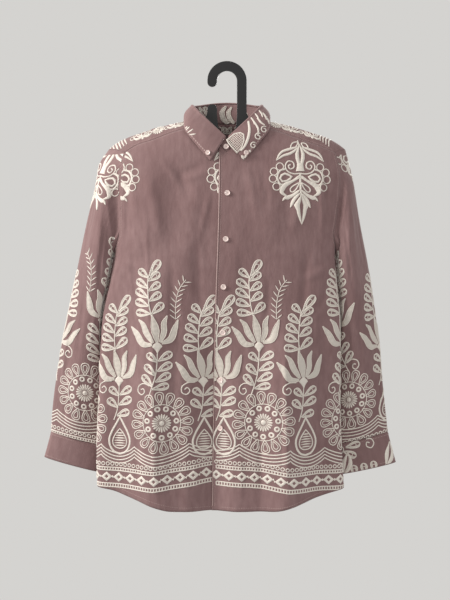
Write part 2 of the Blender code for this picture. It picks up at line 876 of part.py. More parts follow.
def yoke_seam_line(side):
    """Seam between a front and the yoke, from the neck to the armhole, as x and z."""
    start_x = side * NECK_HALF * math.sin(math.radians(NECK_SEAM_ANGLE))
    places = [(start_x, neck_edge(start_x, True)[1])]
    places += [(side * row.x, row.z) for row in YOKE_SEAM]
    places += [armhole_table(side, FRONT_ARMHOLE)[-1]]
    return curve_through(places)


def build_front(name, side, material):
    """Build one front: a strip along the closing, and the rest of the panel beside it."""
    over = side > 0
    place = over_place if over else front_place
    columns, rows = FRONT_NECK_COLUMNS + WING_COLUMNS, SIDE_ROWS + FRONT_ARM_ROWS
    edge = UNDER_EDGE if over else OVER_EDGE

    def strip_point(offset, v):
        top = neck_edge(offset, True)[1]
        z = hem_z(offset) + (top - hem_z(offset)) * v
        return np.array((closing_x(z) + offset, z))

    seam_line = yoke_seam_line(side)

    def yoke_seam(fraction):
        x, z = seam_line(fraction)
        return np.array((s_at(x, z, True), z))

    def neck_seam(fraction):
        x = edge + (seam_line(0.0)[0] - edge) * fraction
        z = neck_edge(x, True)[1]
        return np.array((s_at(x, z, True), z))

    top = chain(neck_seam, yoke_seam, FRONT_NECK_COLUMNS / columns)
    armhole = armhole_plane(side, True)

    def side_seam(fraction):
        z = HEM_SIDE_Z + (UNDERARM_Z - HEM_SIDE_Z) * fraction
        return np.array((side_seam_s(side, z), z))

    outer_side = chain(side_seam, armhole, SIDE_ROWS / rows)

    def low(fraction):
        start = strip_point(edge, 0.0)[0]
        s = start + (side_seam(0.0)[0] - start) * fraction
        return np.array((s, hem_z(s - (start - edge) * (1.0 - fraction))))

    grid = patch(low, top, lambda v: strip_point(edge, v), outer_side, columns, rows)
    strip = np.array([[strip_point(c, v / rows) for c in STRIP_COLUMNS] for v in range(rows + 1)])
    if not over:
        grid = grid[:, ::-1]
    skin = Skin()
    for part in (grid, strip):
        skin.add_grid(*place_grid(part, place, False, seam_normal(side)))
    return make_cloth(name, skin, material)


def build_back(material):
    """Build the back panel below the yoke."""
    rows = SIDE_ROWS + BACK_ARM_ROWS

    def edge(side):
        def side_seam(fraction):
            z = HEM_SIDE_Z + (UNDERARM_Z - HEM_SIDE_Z) * fraction
            return np.array((side_seam_s(side, z, False), z))

        return chain(side_seam, armhole_plane(side, False), SIDE_ROWS / rows)

    def low(fraction):
        left = side_seam_s(-1, HEM_SIDE_Z, False)
        right = side_seam_s(1, HEM_SIDE_Z, False)
        s = left + (right - left) * fraction
        return np.array((s, hem_z(s) - BACK_HEM_DROP * max(0.0, 1.0 - abs(s) / BACK_HEM_HALF)))

    def high(fraction):
        x = -YOKE_BACK_X + 2.0 * YOKE_BACK_X * fraction
        return np.array((s_at(x, YOKE_BACK_Z, False), YOKE_BACK_Z))

    grid = patch(low, high, edge(-1), edge(1), BACK_COLUMNS, rows)
    skin = Skin()
    skin.add_grid(*place_grid(grid, back_place, True, either_seam))
    return make_cloth("back", skin, material)


def build_yoke(material):
    """Build the yoke: a wing over each shoulder to the front seam, and the part behind."""
    back_columns = BACK_NECK_COLUMNS + 2 * WING_COLUMNS
    skin = Skin()

    def crest(side, fraction):
        """From the armhole at 0 to the neck at 1."""
        return np.array((side * (SHOULDER_TIP_X + (NECK_HALF - SHOULDER_TIP_X) * fraction), 0.0))

    def neck_behind(fraction):
        """From the left side of the neck at 0, round behind, to the right side at 1."""
        x = -NECK_HALF * math.cos(math.pi * fraction)
        depth, height = neck_edge(x, False)
        full = min(depth / flat_depth(x, height, False), 1.0)
        return np.array((x, BACK_FALL * math.asin(full)))

    def upper(fraction):
        place = fraction * back_columns
        if place <= WING_COLUMNS:
            return crest(-1, place / WING_COLUMNS)
        if place >= back_columns - WING_COLUMNS:
            return crest(1, (back_columns - place) / WING_COLUMNS)
        return neck_behind((place - WING_COLUMNS) / BACK_NECK_COLUMNS)

    def lower(fraction):
        x = -YOKE_BACK_X + 2.0 * YOKE_BACK_X * fraction
        return np.array((x, q_at(x, YOKE_BACK_Z, False)))

    def arm_behind(side):
        def at(fraction):
            q = yoke_corners(side)[1][1] * fraction
            return np.array((yoke_armhole(side, q), q))

        return at

    behind = patch(upper, lower, arm_behind(-1), arm_behind(1), back_columns, YOKE_ROWS)
    skin.add_grid(*place_grid(behind, over_shoulder, False, either_seam))

    for side in (-1, 1):
        corner = yoke_corners(side)[0]
        start_angle = math.radians(NECK_SEAM_ANGLE)
        seam_line = yoke_seam_line(side)

        def front_seam(fraction, line=seam_line):
            x, z = line(1.0 - fraction)
            return np.array((x, q_at(x, z, True)))

        def arm_front(fraction, side=side, corner=corner):
            q = corner[1] * (1.0 - fraction)
            return np.array((yoke_armhole(side, q), q))

        def neck_front(fraction, side=side, start_angle=start_angle):
            angle = start_angle + (math.pi / 2.0 - start_angle) * fraction
            x = side * NECK_HALF * math.sin(angle)
            return np.array((x, q_at(x, neck_edge(x, True)[1], True)))

        def ridge_line(fraction, side=side):
            return crest(side, fraction)

        wing = patch(front_seam, ridge_line, arm_front, neck_front, WING_COLUMNS, WING_ROWS)
        if side > 0:
            wing = wing[:, ::-1]
        skin.add_grid(*place_grid(wing, over_shoulder, False, either_seam))
    return make_cloth("yoke", skin, material)


def build_sleeve(name, side, material):
    """Build one sleeve as an open tube from the armhole to the cuff."""
    points = []
    normals = []
    rule = seam_normal(side)
    angles = armhole_angles(side)[:-1:RING_STEPS]
    stations = [0.0, SLEEVE_FIRST_T]
    stations += [(i / SLEEVE_ROWS) ** SLEEVE_ROW_POWER for i in range(1, SLEEVE_ROWS + 1)]
    for t in stations:
        points.append([sleeve_place(side, t, angle) for angle in angles])
        normals.append([sleeve_normal(side, t, angle) for angle in angles])
    normals[0] = [rule(p, n) for p, n in zip(points[0], normals[0])]
    skin = Skin()
    skin.add_grid(points, normals, ring=True)
    return make_cloth(name, skin, material)


def cuff_place(side, v, angle, lift):
    """Outer point of a cuff: v runs from the sleeve at 0 to the cuff's edge at 1."""
    end = LEFT_CUFF_END if side < 0 else RIGHT_CUFF_END
    turn = math.radians(angle)
    top = sleeve_ring(side, 1.0, angle)
    outer = np.array((side * end.outer_x, end.middle_y, end.outer_z))
    inner = np.array((side * end.inner_x, end.middle_y, end.inner_z))
    depth = np.array((0.0, end.half_depth * math.sin(turn), 0.0))
    low = (outer + inner) / 2.0 + (outer - inner) / 2.0 * math.cos(turn) + depth
    start = unit(low - top) * SEAM_GAP
    point = top + start + (low - top - start) * v
    across = np.array((side * math.cos(turn) * end.half_depth, math.sin(turn) * CUFF_HALF_WIDTH, 0.0))
    point = point + unit(across) * lift
    limit = body_limit(side, point[1], point[2])
    if limit and abs(point[0]) < limit + BODY_CLEARANCE:
        point[0] = side * (limit + BODY_CLEARANCE)
    return point


def cuff_lift(turned):
    """Lift of the cuff's end that lies over the other, by the angle from the under end."""
    return LAYER_LIFT * smoothstep((turned - CUFF_LIFT_START) / CUFF_LIFT_RUN)


def build_cuff(name, side, material):
    """Build a cuff as a band whose ends overlap behind."""
    points = []
    normals = []
    for i in range(CUFF_ROWS + 1):
        v = i / CUFF_ROWS
        line = []
        facing = []
        for j in range(CUFF_COLUMNS + 1):
            turned = (360.0 + CUFF_OVERLAP_ANGLE) * j / CUFF_COLUMNS
            angle = CUFF_OPEN_ANGLE + turned
            lift = cuff_lift(turned)
            line.append(cuff_place(side, v, angle, lift))
            around = cuff_place(side, v, angle + 2, lift) - cuff_place(side, v, angle - 2, lift)
            along = cuff_place(side, 1.0, angle, lift) - cuff_place(side, 0.0, angle, lift)
            facing.append(unit(np.cross(around, along)) * -side)
        points.append(line)
        normals.append(facing)
    skin = Skin()
    skin.add_grid(points, normals)
    return make_cloth(name, skin, material)


def build_sleeve_placket(name, side, material):
    """Build the strip beside the slit of a sleeve, which lies on the sleeve's back."""
    points = []
    normals = []
    for i in range(PLACKET_ROWS + 1):
        v = i / PLACKET_ROWS
        t = PLACKET_FIRST_T + (PLACKET_LAST_T - PLACKET_FIRST_T) * v
        half = PLACKET_HALF_ANGLE * min(1.0, PLACKET_POINT_WIDTH + v / PLACKET_POINT_SHARE)
        angles = [
            PLACKET_ANGLE + half * (2.0 * j / PLACKET_COLUMNS - 1.0) for j in range(PLACKET_COLUMNS + 1)
        ]
        points.append([sleeve_place(side, t, angle, LAYER_LIFT) for angle in angles])
        normals.append([sleeve_normal(side, t, angle, LAYER_LIFT) for angle in angles])
    skin = Skin()
    skin.add_grid(points, normals)
    return make_cloth(name, skin, material)


def neck_ring(angle):
    """Point of the neck's edge at an angle from the back middle, below zero to the left."""
    turn = math.radians(angle)
    x = NECK_HALF * math.sin(turn)
    front = math.cos(turn) < 0.0
    depth, height = neck_edge(x, front)
    return np.array((x, -depth if front else depth, height))


def stand_top(angle):
    """Point of the collar band's upper edge."""
    turn = math.radians(angle)
    front = math.cos(turn) < 0.0
    share = abs(math.sin(turn))
    depth = -STAND_TOP_FRONT if front else STAND_TOP_BACK
    if front:
        z = STAND_TOP_SIDE_Z - STAND_TOP_DROP * (1.0 - share) ** NECK_CURVE
    else:
        z = STAND_TOP_BACK_Z + (STAND_TOP_SIDE_Z - STAND_TOP_BACK_Z) * share * share
    return np.array((STAND_TOP_HALF * math.sin(turn), depth * abs(math.cos(turn)), z))


def ring_outward(angle):
    """Level direction out of the neck."""
    turn = math.radians(angle)
    depth = NECK_FRONT if math.cos(turn) < 0.0 else NECK_BACK
    return unit(np.array((math.sin(turn) / NECK_HALF, math.cos(turn) / depth, 0.0)))


def stand_lift(angle):
    """Lift of the collar band's over end."""
    return LAYER_LIFT * smoothstep((angle - STAND_LIFT_START) / STAND_LIFT_RUN)


def stand_place(angle, v):
    """Outer point of the collar band."""
    low = neck_ring(angle) + np.array((0.0, 0.0, SEAM_GAP))
    high = stand_top(angle)
    return low + (high - low) * v + ring_outward(angle) * stand_lift(angle)


def build_stand(material):
    """Build the collar band, whose left end lies over the right one at the neck button."""
    middle = [angle for angle in leaf_angles() if abs(angle) < STAND_STRIP_ANGLE]
    ends = [180.0 - math.degrees(math.asin(c / NECK_HALF)) for c in STRIP_COLUMNS[:0:-1]]
    ends.append(180.0 + STAND_OVERLAP_ANGLE)
    angles = [-angle for angle in reversed(ends)] + middle + ends
    grid = [[(angle, i / STAND_ROWS) for angle in angles] for i in range(STAND_ROWS + 1)]
    points = [[stand_place(angle, v) for angle, v in row] for row in grid]
    normals = []
    for row in grid:
        facing = []
        for angle, v in row:
            around = stand_place(angle + 2.0, v) - stand_place(angle - 2.0, v)
            rise = stand_place(angle, 1.0) - stand_place(angle, 0.0)
            facing.append(unit(np.cross(rise, around)))
        normals.append(facing)
    skin = Skin()
    skin.add_grid(points, normals)
    return make_cloth("collar_stand", skin, material)


def push_clear(point, gap):
    """Move a point out of the shoulders and chest until it is a gap away from them."""
    x, y, z = point
    front = y < 0.0
    fall = FRONT_FALL if front else BACK_FALL
    center = ridge_height(x, front) - fall
    depth = flat_depth(x, min(z, NECK_SIDE_Z), front)
    rise = max(z - center, 0.0)
    far = math.hypot(y / (depth + gap), rise / (fall + gap))
    if far >= 1.0:
        return point
    return np.array((x, y / far, center + rise / far if rise else z))


def leaf_edge(angle):
    """Point of the collar's outer edge that belongs to an angle."""
    places = column(LEAF_EDGE, "angle")
    side = side_of(angle)
    row = [smooth(abs(angle), places, column(LEAF_EDGE, name)) for name in ("x", "y", "z")]
    return push_clear(np.array((side * row[0], row[1], row[2])), LEAF_CLEARANCE)


def arch_normal(angle, turn):
    """Outward normal on the arch that takes the collar over its band."""
    swing = math.radians(turn)
    return ring_outward(angle) * math.cos(swing) + np.array((0.0, 0.0, math.sin(swing)))


def leaf_profile(angle):
    """Outer points of the collar at one angle: an arch over the band, then the fall."""
    top = stand_top(angle)
    outward = ring_outward(angle)
    up = np.array((0.0, 0.0, 1.0))
    center = top + outward * LEAF_ARCH_OUT + up * LEAF_ARCH_UP
    points = []
    for turn in LEAF_ARCH_TURNS:
        points.append(center + arch_normal(angle, turn) * LEAF_ARCH_RADIUS)
    start = points[-1]
    end = leaf_edge(angle)
    for share in LEAF_FALL_SHARES:
        bulge = outward * LEAF_BULGE * math.sin(math.pi * share)
        points.append(push_clear(start + (end - start) * share + bulge, LEAF_CLEARANCE))
    return points


def leaf_angles():
    """Angles of the collar's columns, which the band below it shares."""
    return [-LEAF_END_ANGLE + 2.0 * LEAF_END_ANGLE * j / LEAF_COLUMNS for j in range(LEAF_COLUMNS + 1)]


def build_leaf(material):
    """Build the turned-down collar."""
    lines = [leaf_profile(angle) for angle in leaf_angles()]
    points = [[line[i] for line in lines] for i in range(len(lines[0]))]
    normals = []
    for i, row in enumerate(points):
        facing = []
        for j in range(len(row)):
            around = row[min(j + 1, LEAF_COLUMNS)] - row[max(j - 1, 0)]
            along = points[min(i + 1, len(points) - 1)][j] - points[max(i - 1, 0)][j]
            facing.append(unit(np.cross(around, along)))
        if i < len(LEAF_ARCH_TURNS) - 1:
            facing = [arch_normal(angle, LEAF_ARCH_TURNS[i]) for angle in leaf_angles()]
        normals.append(facing)
    skin = Skin()
    skin.add_grid(points, normals)
    return make_cloth("collar_leaf", skin, material)


def build_button(name, point, normal, radius, material):
    """Build a button as a disc with a rounded rim and a sunken middle, seated on the cloth."""
    work = bmesh.new()
    bmesh.ops.create_cone(
        work, cap_ends=True, segments=18, radius1=radius * MM, radius2=radius * MM, depth=BUTTON_THICK * MM
    )
    rim = [edge for edge in work.edges if len([f for f in edge.link_faces if len(f.verts) > 4]) == 1]
    bmesh.ops.bevel(work, geom=rim, offset=BUTTON_BEVEL * MM, segments=1, affect="EDGES")
    top = max(work.faces, key=lambda face: face.calc_center_median().z)
    bmesh.ops.inset_individual(work, faces=[top], thickness=BUTTON_RIM * MM, depth=-BUTTON_SINK * MM)
    mesh = bpy.data.meshes.new(name)
    work.to_mesh(mesh)
    work.free()
    mesh.materials.append(material)
    mesh.shade_smooth()
    mesh.set_sharp_from_angle(angle=math.radians(40.0))
    item = bpy.data.objects.new(name, mesh)
    bpy.context.scene.collection.objects.link(item)
    seat = point + normal * (BUTTON_SEAT + BUTTON_THICK / 2.0)
    item.location = [float(v) * MM for v in seat]
    item.rotation_euler = facing_rotation(normal)
    return item


def facing_rotation(normal):
    """Rotation that turns +Z to a direction."""
    tilt = math.acos(max(-1.0, min(1.0, float(normal[2]))))
    return (0.0, tilt, math.atan2(float(normal[1]), float(normal[0])))


def build_buttons(material):
    """Seat every button on the cloth that carries it."""
    for place in FRONT_BUTTONS:
        normal = slope_normal(over_place, place.s, place.z, False)
        build_button(place.name, over_place(place.s, place.z), normal, BUTTON_RADIUS, material)
    angle = 180.0 - math.degrees(math.asin(NECK_BUTTON.s / NECK_HALF))
    low, high = stand_place(angle, 0.0), stand_place(angle, 1.0)
    share = (NECK_BUTTON.z - low[2]) / (high[2] - low[2])
    seat = low + (high - low) * share
    around = stand_place(angle + 3.0, 0.5) - stand_place(angle - 3.0, 0.5)
    normal = unit(np.cross(high - low, around))
    build_button(NECK_BUTTON.name, seat, normal, BUTTON_RADIUS, material)
    for side, name in ((-1, "button_collar_right"), (1, "button_collar_left")):
        line = leaf_profile(side * COLLAR_BUTTON_ANGLE)
        before = leaf_profile(side * (COLLAR_BUTTON_ANGLE - 10.0))
        seat = line[-2] + (line[-1] - line[-2]) * COLLAR_BUTTON_SHARE
        along = line[-1] - line[-3]
        across = (line[-2] - before[-2]) * side
        normal = unit(np.cross(across, along))
        build_button(name, seat, normal, SMALL_BUTTON_RADIUS, material)
    for side, name in ((-1, "button_cuff_right"), (1, "button_cuff_left")):
        angle = CUFF_OPEN_ANGLE + CUFF_OVERLAP_ANGLE / 2.0
        seat = cuff_place(side, 0.5, angle, LAYER_LIFT)
        around = cuff_place(side, 0.5, angle + 4, LAYER_LIFT) - cuff_place(side, 0.5, angle - 4, LAYER_LIFT)
        along = cuff_place(side, 1.0, angle, LAYER_LIFT) - cuff_place(side, 0.0, angle, LAYER_LIFT)
        normal = unit(np.cross(around, along)) * -side
        build_button(name, seat, normal, BUTTON_RADIUS, material)


def arc(center, radius, first, last, steps):
    """Points of an arc in the plane of the hanger, as x and z."""
    turns = [math.radians(first + (last - first) * k / steps) for k in range(steps + 1)]
    return [(center[0] + radius * math.cos(turn), center[1] + radius * math.sin(turn)) for turn in turns]


def arm_top(x):
    """Top of the hanger's arm, just under the shoulder."""
    droop = smoothstep((abs(x) - ARM_DROOP_X) / ARM_DROOP_RUN)
    return ridge_height(max(abs(x), NECK_HALF), True) - WALL - ARM_CLEARANCE - droop


def arm_low(x):
    """Underside of the hanger's arm."""
    low = curve_through(ARM_LOW)
    places = np.linspace(0.0, 1.0, 60)
    line = np.array([low(place) for place in places])
    return float(np.interp(abs(x), line[:, 0], line[:, 1]))


def hanger_outline():
    """Outline of the hanger's plate, seen from the front."""
    right_top = [HangerPoint(HOOK_OUTER, POST_FOOT_Z), *POST_FLARE]
    right_top += [(x, arm_top(x) - PLATE_SINK) for x in ARM_STATIONS]
    right_low = [(x, arm_low(x) + PLATE_RISE) for x in reversed(MIDDLE_STATIONS + ARM_STATIONS)]
    post_radius = (HOOK_OUTER - HOOK_INNER) / 2.0
    left_post = arc((-HOOK_INNER - post_radius, POST_TOP_Z - post_radius), post_radius, 180.0, 0.0, 8)
    valley = arc((0.0, 0.0), 1.0, 180.0, 360.0, 10)
    depth = VALLEY_TOP_Z - VALLEY_Z
    valley = [(x * HOOK_INNER, VALLEY_TOP_Z + z * depth) for x, z in valley]
    tip = arc((-HOOK_INNER - post_radius, HOOK_TIP_Z + post_radius), post_radius, 180.0, 360.0, 8)
    center = (0.0, -HOOK_INNER)
    outline_points = []
    outline_points += arc(center, HOOK_OUTER, 180.0, 0.0, 24)
    outline_points += right_top + right_low + [(0.0, arm_low(0.0) + PLATE_RISE)]
    outline_points += [(-x, z) for x, z in reversed(right_low)]
    outline_points += [(-x, z) for x, z in reversed(right_top)]
    outline_points += left_post + valley
    outline_points += arc(center, HOOK_INNER, 0.0, 180.0, 18)
    outline_points += list(reversed(tip))
    return outline_points


def build_hanger(material):
    """Build the hanger: a cut plate with a hook and two posts, and a rounded bar on each arm."""
    work = bmesh.new()
    corners = [work.verts.new((x * MM, -PLATE_THICK / 2.0 * MM, z * MM)) for x, z in hanger_outline()]
    bmesh.ops.remove_doubles(work, verts=work.verts, dist=0.0001)
    face = work.faces.new([v for v in corners if v.is_valid])
    moved = bmesh.ops.extrude_face_region(work, geom=[face])
    new_verts = [item for item in moved["geom"] if isinstance(item, bmesh.types.BMVert)]
    bmesh.ops.translate(work, verts=new_verts, vec=(0.0, PLATE_THICK * MM, 0.0))
    bmesh.ops.triangulate(work, faces=work.faces, ngon_method="EAR_CLIP")
    bmesh.ops.recalc_face_normals(work, faces=work.faces)
    mesh = bpy.data.meshes.new("hanger")
    work.to_mesh(mesh)
    work.free()
    hanger = bpy.data.objects.new("hanger", mesh)
    bpy.context.scene.collection.objects.link(hanger)
    mesh.materials.append(material)
    for side in (-1, 1):
        bar = build_arm_bar(side, material)
        union = hanger.modifiers.new("join", "BOOLEAN")
        union.operation = "UNION"
        union.solver = "EXACT"
        union.object = bar
    mesh.shade_smooth()
    mesh.set_sharp_from_angle(angle=math.radians(40.0))
    return hanger


def build_arm_bar(side, material):
    """Build the rounded bar of one arm, which the hanger's plate is joined to."""
    points = []
    faces = []
    for k in range(BAR_STATIONS + 1):
        share = k / BAR_STATIONS
        x = ARM_START_X + (ARM_END_X - ARM_START_X) * share
        high, low = arm_top(x), arm_low(x)
        ended = max(0.0, (share - ARM_ROUND_FROM) / (1.0 - ARM_ROUND_FROM))
        round_end = math.sqrt(1.0 - 0.75 * ended * ended)
        middle = (high + low) / 2.0
        half_height = (high - low) / 2.0 * round_end
        half_depth = ARM_THICK / 2.0 * round_end
        for j in range(BAR_CORNERS):
            turn = 2.0 * math.pi * j / BAR_CORNERS
            y = half_depth * math.copysign(abs(math.sin(turn)) ** 0.6, math.sin(turn))
            z = middle + half_height * math.copysign(abs(math.cos(turn)) ** 0.8, math.cos(turn))
            points.append((side * x, y, z))
    for k in range(BAR_STATIONS):
        for j in range(BAR_CORNERS):
            a = k * BAR_CORNERS + j
            b = k * BAR_CORNERS + (j + 1) % BAR_CORNERS
            faces.append((a, b, b + BAR_CORNERS, a + BAR_CORNERS))
    faces.append(tuple(range(BAR_CORNERS)))
    faces.append(tuple(BAR_STATIONS * BAR_CORNERS + j for j in reversed(range(BAR_CORNERS))))
    bar = make_object("arm_bar_left" if side > 0 else "arm_bar_right", points, faces, material)
    bar.hide_render = True
    bar.display_type = "WIRE"
    return bar


def main():
    """Build the shirt and its hanger."""
    clear_scene()
    cloth = make_material("mauve_cotton", MAUVE, 0.8)
    shell = make_material("button_shell", BUTTON_PINK, 0.3)
    plastic = make_material("black_plastic", BLACK, 0.35)
    build_front("front_right", -1, cloth)
    build_front("front_left", 1, cloth)
    build_back(cloth)
    build_yoke(cloth)
    build_sleeve("sleeve_right", -1, cloth)
    build_sleeve("sleeve_left", 1, cloth)
    build_sleeve_placket("sleeve_placket_right", -1, cloth)
    build_sleeve_placket("sleeve_placket_left", 1, cloth)
    build_cuff("cuff_right", -1, cloth)
    build_cuff("cuff_left", 1, cloth)
    build_stand(cloth)
    build_leaf(cloth)
    build_buttons(shell)
    build_hanger(plastic)


main()
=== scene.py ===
"""Looks of the embroidered shirt on its hanger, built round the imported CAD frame.

Forms are worked out in millimetres on named coordinates: s runs round the body from the
front or back middle, q runs over the shoulder, and w runs round a sleeve from its outer
edge. Left and right are the wearer's, so the right side of the shirt is at -X.
"""

import logging
import math
from dataclasses import dataclass, field
from enum import Enum
from functools import lru_cache
from typing import Callable, Iterable, NamedTuple, Sequence

import bmesh
import bpy
import numpy as np
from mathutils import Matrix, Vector
from mathutils.bvhtree import BVHTree

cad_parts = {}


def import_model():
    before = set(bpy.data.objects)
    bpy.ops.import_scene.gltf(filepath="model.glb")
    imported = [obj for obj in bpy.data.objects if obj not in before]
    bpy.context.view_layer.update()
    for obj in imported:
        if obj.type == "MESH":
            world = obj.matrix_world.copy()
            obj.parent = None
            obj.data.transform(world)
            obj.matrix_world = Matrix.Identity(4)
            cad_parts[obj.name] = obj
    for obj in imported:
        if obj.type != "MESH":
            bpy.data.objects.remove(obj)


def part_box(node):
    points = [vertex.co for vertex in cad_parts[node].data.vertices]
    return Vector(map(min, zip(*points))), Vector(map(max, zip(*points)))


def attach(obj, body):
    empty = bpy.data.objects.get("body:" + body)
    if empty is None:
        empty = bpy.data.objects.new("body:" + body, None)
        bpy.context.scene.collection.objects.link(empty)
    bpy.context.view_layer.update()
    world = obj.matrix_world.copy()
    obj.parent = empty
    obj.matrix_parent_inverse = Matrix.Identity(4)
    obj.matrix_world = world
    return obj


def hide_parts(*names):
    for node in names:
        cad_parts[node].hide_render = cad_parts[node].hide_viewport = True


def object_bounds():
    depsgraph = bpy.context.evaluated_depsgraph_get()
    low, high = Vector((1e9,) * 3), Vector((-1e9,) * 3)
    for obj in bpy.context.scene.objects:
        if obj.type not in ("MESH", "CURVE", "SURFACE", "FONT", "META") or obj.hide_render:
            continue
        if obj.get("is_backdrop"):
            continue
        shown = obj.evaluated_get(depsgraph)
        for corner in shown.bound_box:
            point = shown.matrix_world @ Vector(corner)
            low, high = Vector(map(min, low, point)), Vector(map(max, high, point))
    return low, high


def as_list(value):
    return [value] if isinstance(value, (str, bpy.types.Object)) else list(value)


Array = np.ndarray
Curve = Callable[[float], Array]

MM = 0.001
# Wall of a cloth shell and step of its grid, in millimetres.
WALL = 1.1
STEP = 2.5
# Share of a crease's length over which each end of it fades.
CREASE_FADE = 0.35
# Height of the edges of a thread, which lie a little under the cloth's outer side.
SUNK = -0.2
# The wave texture multiplies its scale by this.
WAVE_FACTOR = 20.0
log = logging.getLogger("shirt")


class Side(Enum):
    """Side of the shirt, as the wearer has it, with the sign of its x."""

    RIGHT = -1
    LEFT = 1


class Section(NamedTuple):
    """Half widths and depths of the body at one height."""

    z: float
    left: float
    right: float
    front: float
    back: float
    middle: float
    round_back: float


class Fold(NamedTuple):
    """Large fold of the body, from its top to the hem."""

    top_s: float
    top_z: float
    low_s: float
    half_width: float
    height: float
    reach: float


class Crease(NamedTuple):
    """Soft crease from one place to another: a ridge, or a trough below zero."""

    a: float
    b: float
    end_a: float
    end_b: float
    half_width: float
    height: float


class SleeveRing(NamedTuple):
    """Outer and inner edge of a sleeve at a share of its length."""

    t: float
    outer_x: float
    outer_z: float
    inner_x: float
    inner_z: float
    middle_y: float
    half_depth: float


class SleeveFold(NamedTuple):
    """Large fold along a sleeve, at an angle round it."""

    angle: float
    start: float
    end: float
    half_angle: float
    height: float


class CuffEnd(NamedTuple):
    """Lower edge of a cuff."""

    outer_x: float
    outer_z: float
    inner_x: float
    inner_z: float
    middle_y: float
    half_depth: float


class LeafPoint(NamedTuple):
    """Point of the collar's outer edge at an angle from the back middle."""

    angle: float
    x: float
    y: float
    z: float


def smoothstep(value: float | Array) -> Array:
    """Ease from 0 to 1, for a number or an array."""
    value = np.clip(value, 0.0, 1.0)
    return value * value * (3.0 - 2.0 * value)


def smooth(at: float, places: Array, values: Array) -> float:
    """Follow a cubic curve through a table.

    Args:
        at: place on the curve.
        places: rising places of the table.
        values: the table's values there.

    Returns:
        The value at that place.
    """
    slopes = np.gradient(values, places)
    index = int(np.clip(np.searchsorted(places, at) - 1, 0, len(places) - 2))
    span = places[index + 1] - places[index]
    t = min(max((at - places[index]) / span, 0.0), 1.0)
    rise = t * t * (3.0 - 2.0 * t)
    return float(
        values[index] * (1.0 - rise)
        + values[index + 1] * rise
        + slopes[index] * span * t * (1.0 - t) ** 2
        - slopes[index + 1] * span * t * t * (1.0 - t)
    )


def column(table: Sequence[NamedTuple], name: str) -> Array:
    """One named column of a table."""
    return np.array([getattr(row, name) for row in table], dtype=float)


def curve_through(points: Sequence[Sequence[float]]) -> Curve:
    """Smooth curve through points, as a function of 0 to 1 along its length."""
    table = np.array(points, dtype=float)
    steps = np.linalg.norm(np.diff(table, axis=0), axis=1)
    places = np.concatenate(([0.0], np.cumsum(steps)))
    places /= places[-1]

    def at(fraction: float) -> Array:
        """The point at a share of the length."""
        return np.array([smooth(fraction, places, table[:, axis]) for axis in range(table.shape[1])])

    return at


def chain(first: Curve, second: Curve, share: float) -> Curve:
    """Two curves end to end, the first one up to the given share."""

    def at(fraction: float) -> Array:
        """The point at a share of both curves."""
        if fraction <= share:
            return first(fraction / share)
        return second((fraction - share) / (1.0 - share))

    return at


def unit(vector: Array) -> Array:
    """The vector, or each row of vectors, at length 1."""
    return vector / np.maximum(np.linalg.norm(vector, axis=-1, keepdims=True), 1e-9)


def crease_height(a: Array, b: Array, creases: Iterable[Crease]) -> Array:
    """Height of soft creases at places in the plane of the cloth.

    Args:
        a: places across, in millimetres.
        b: places along, in millimetres.
        creases: the creases, each fading at its two ends.

    Returns:
        The summed height at each place.
    """
    total = np.zeros(np.broadcast(a, b).shape)
    for crease in creases:
        run = np.array((crease.end_a - crease.a, crease.end_b - crease.b))
        length = float(np.hypot(*run))
        along = ((a - crease.a) * run[0] + (b - crease.b) * run[1]) / length
        away = np.abs((a - crease.a) * run[1] - (b - crease.b) * run[0]) / length
        end = CREASE_FADE * length
        fade = smoothstep(along / end) * smoothstep((length - along) / end)
        across = np.where(away < crease.half_width, 0.5 + 0.5 * np.cos(np.pi * away / crease.half_width), 0.0)
        total = total + crease.height * fade * across
    return total


def ripple(a: Array, b: Array, size: float, seed: float) -> Array:
    """Slight unevenness of hung cloth: slow waves that don't repeat over the garment."""
    return size * (
        np.sin(a * 0.071 + np.sin(b * 0.013 + seed) * 2.1 + seed)
        + 0.7 * np.sin(a * 0.117 - b * 0.021 + seed * 2.3)
        + 0.5 * np.sin(a * 0.043 + b * 0.047 + seed * 3.1)
    )


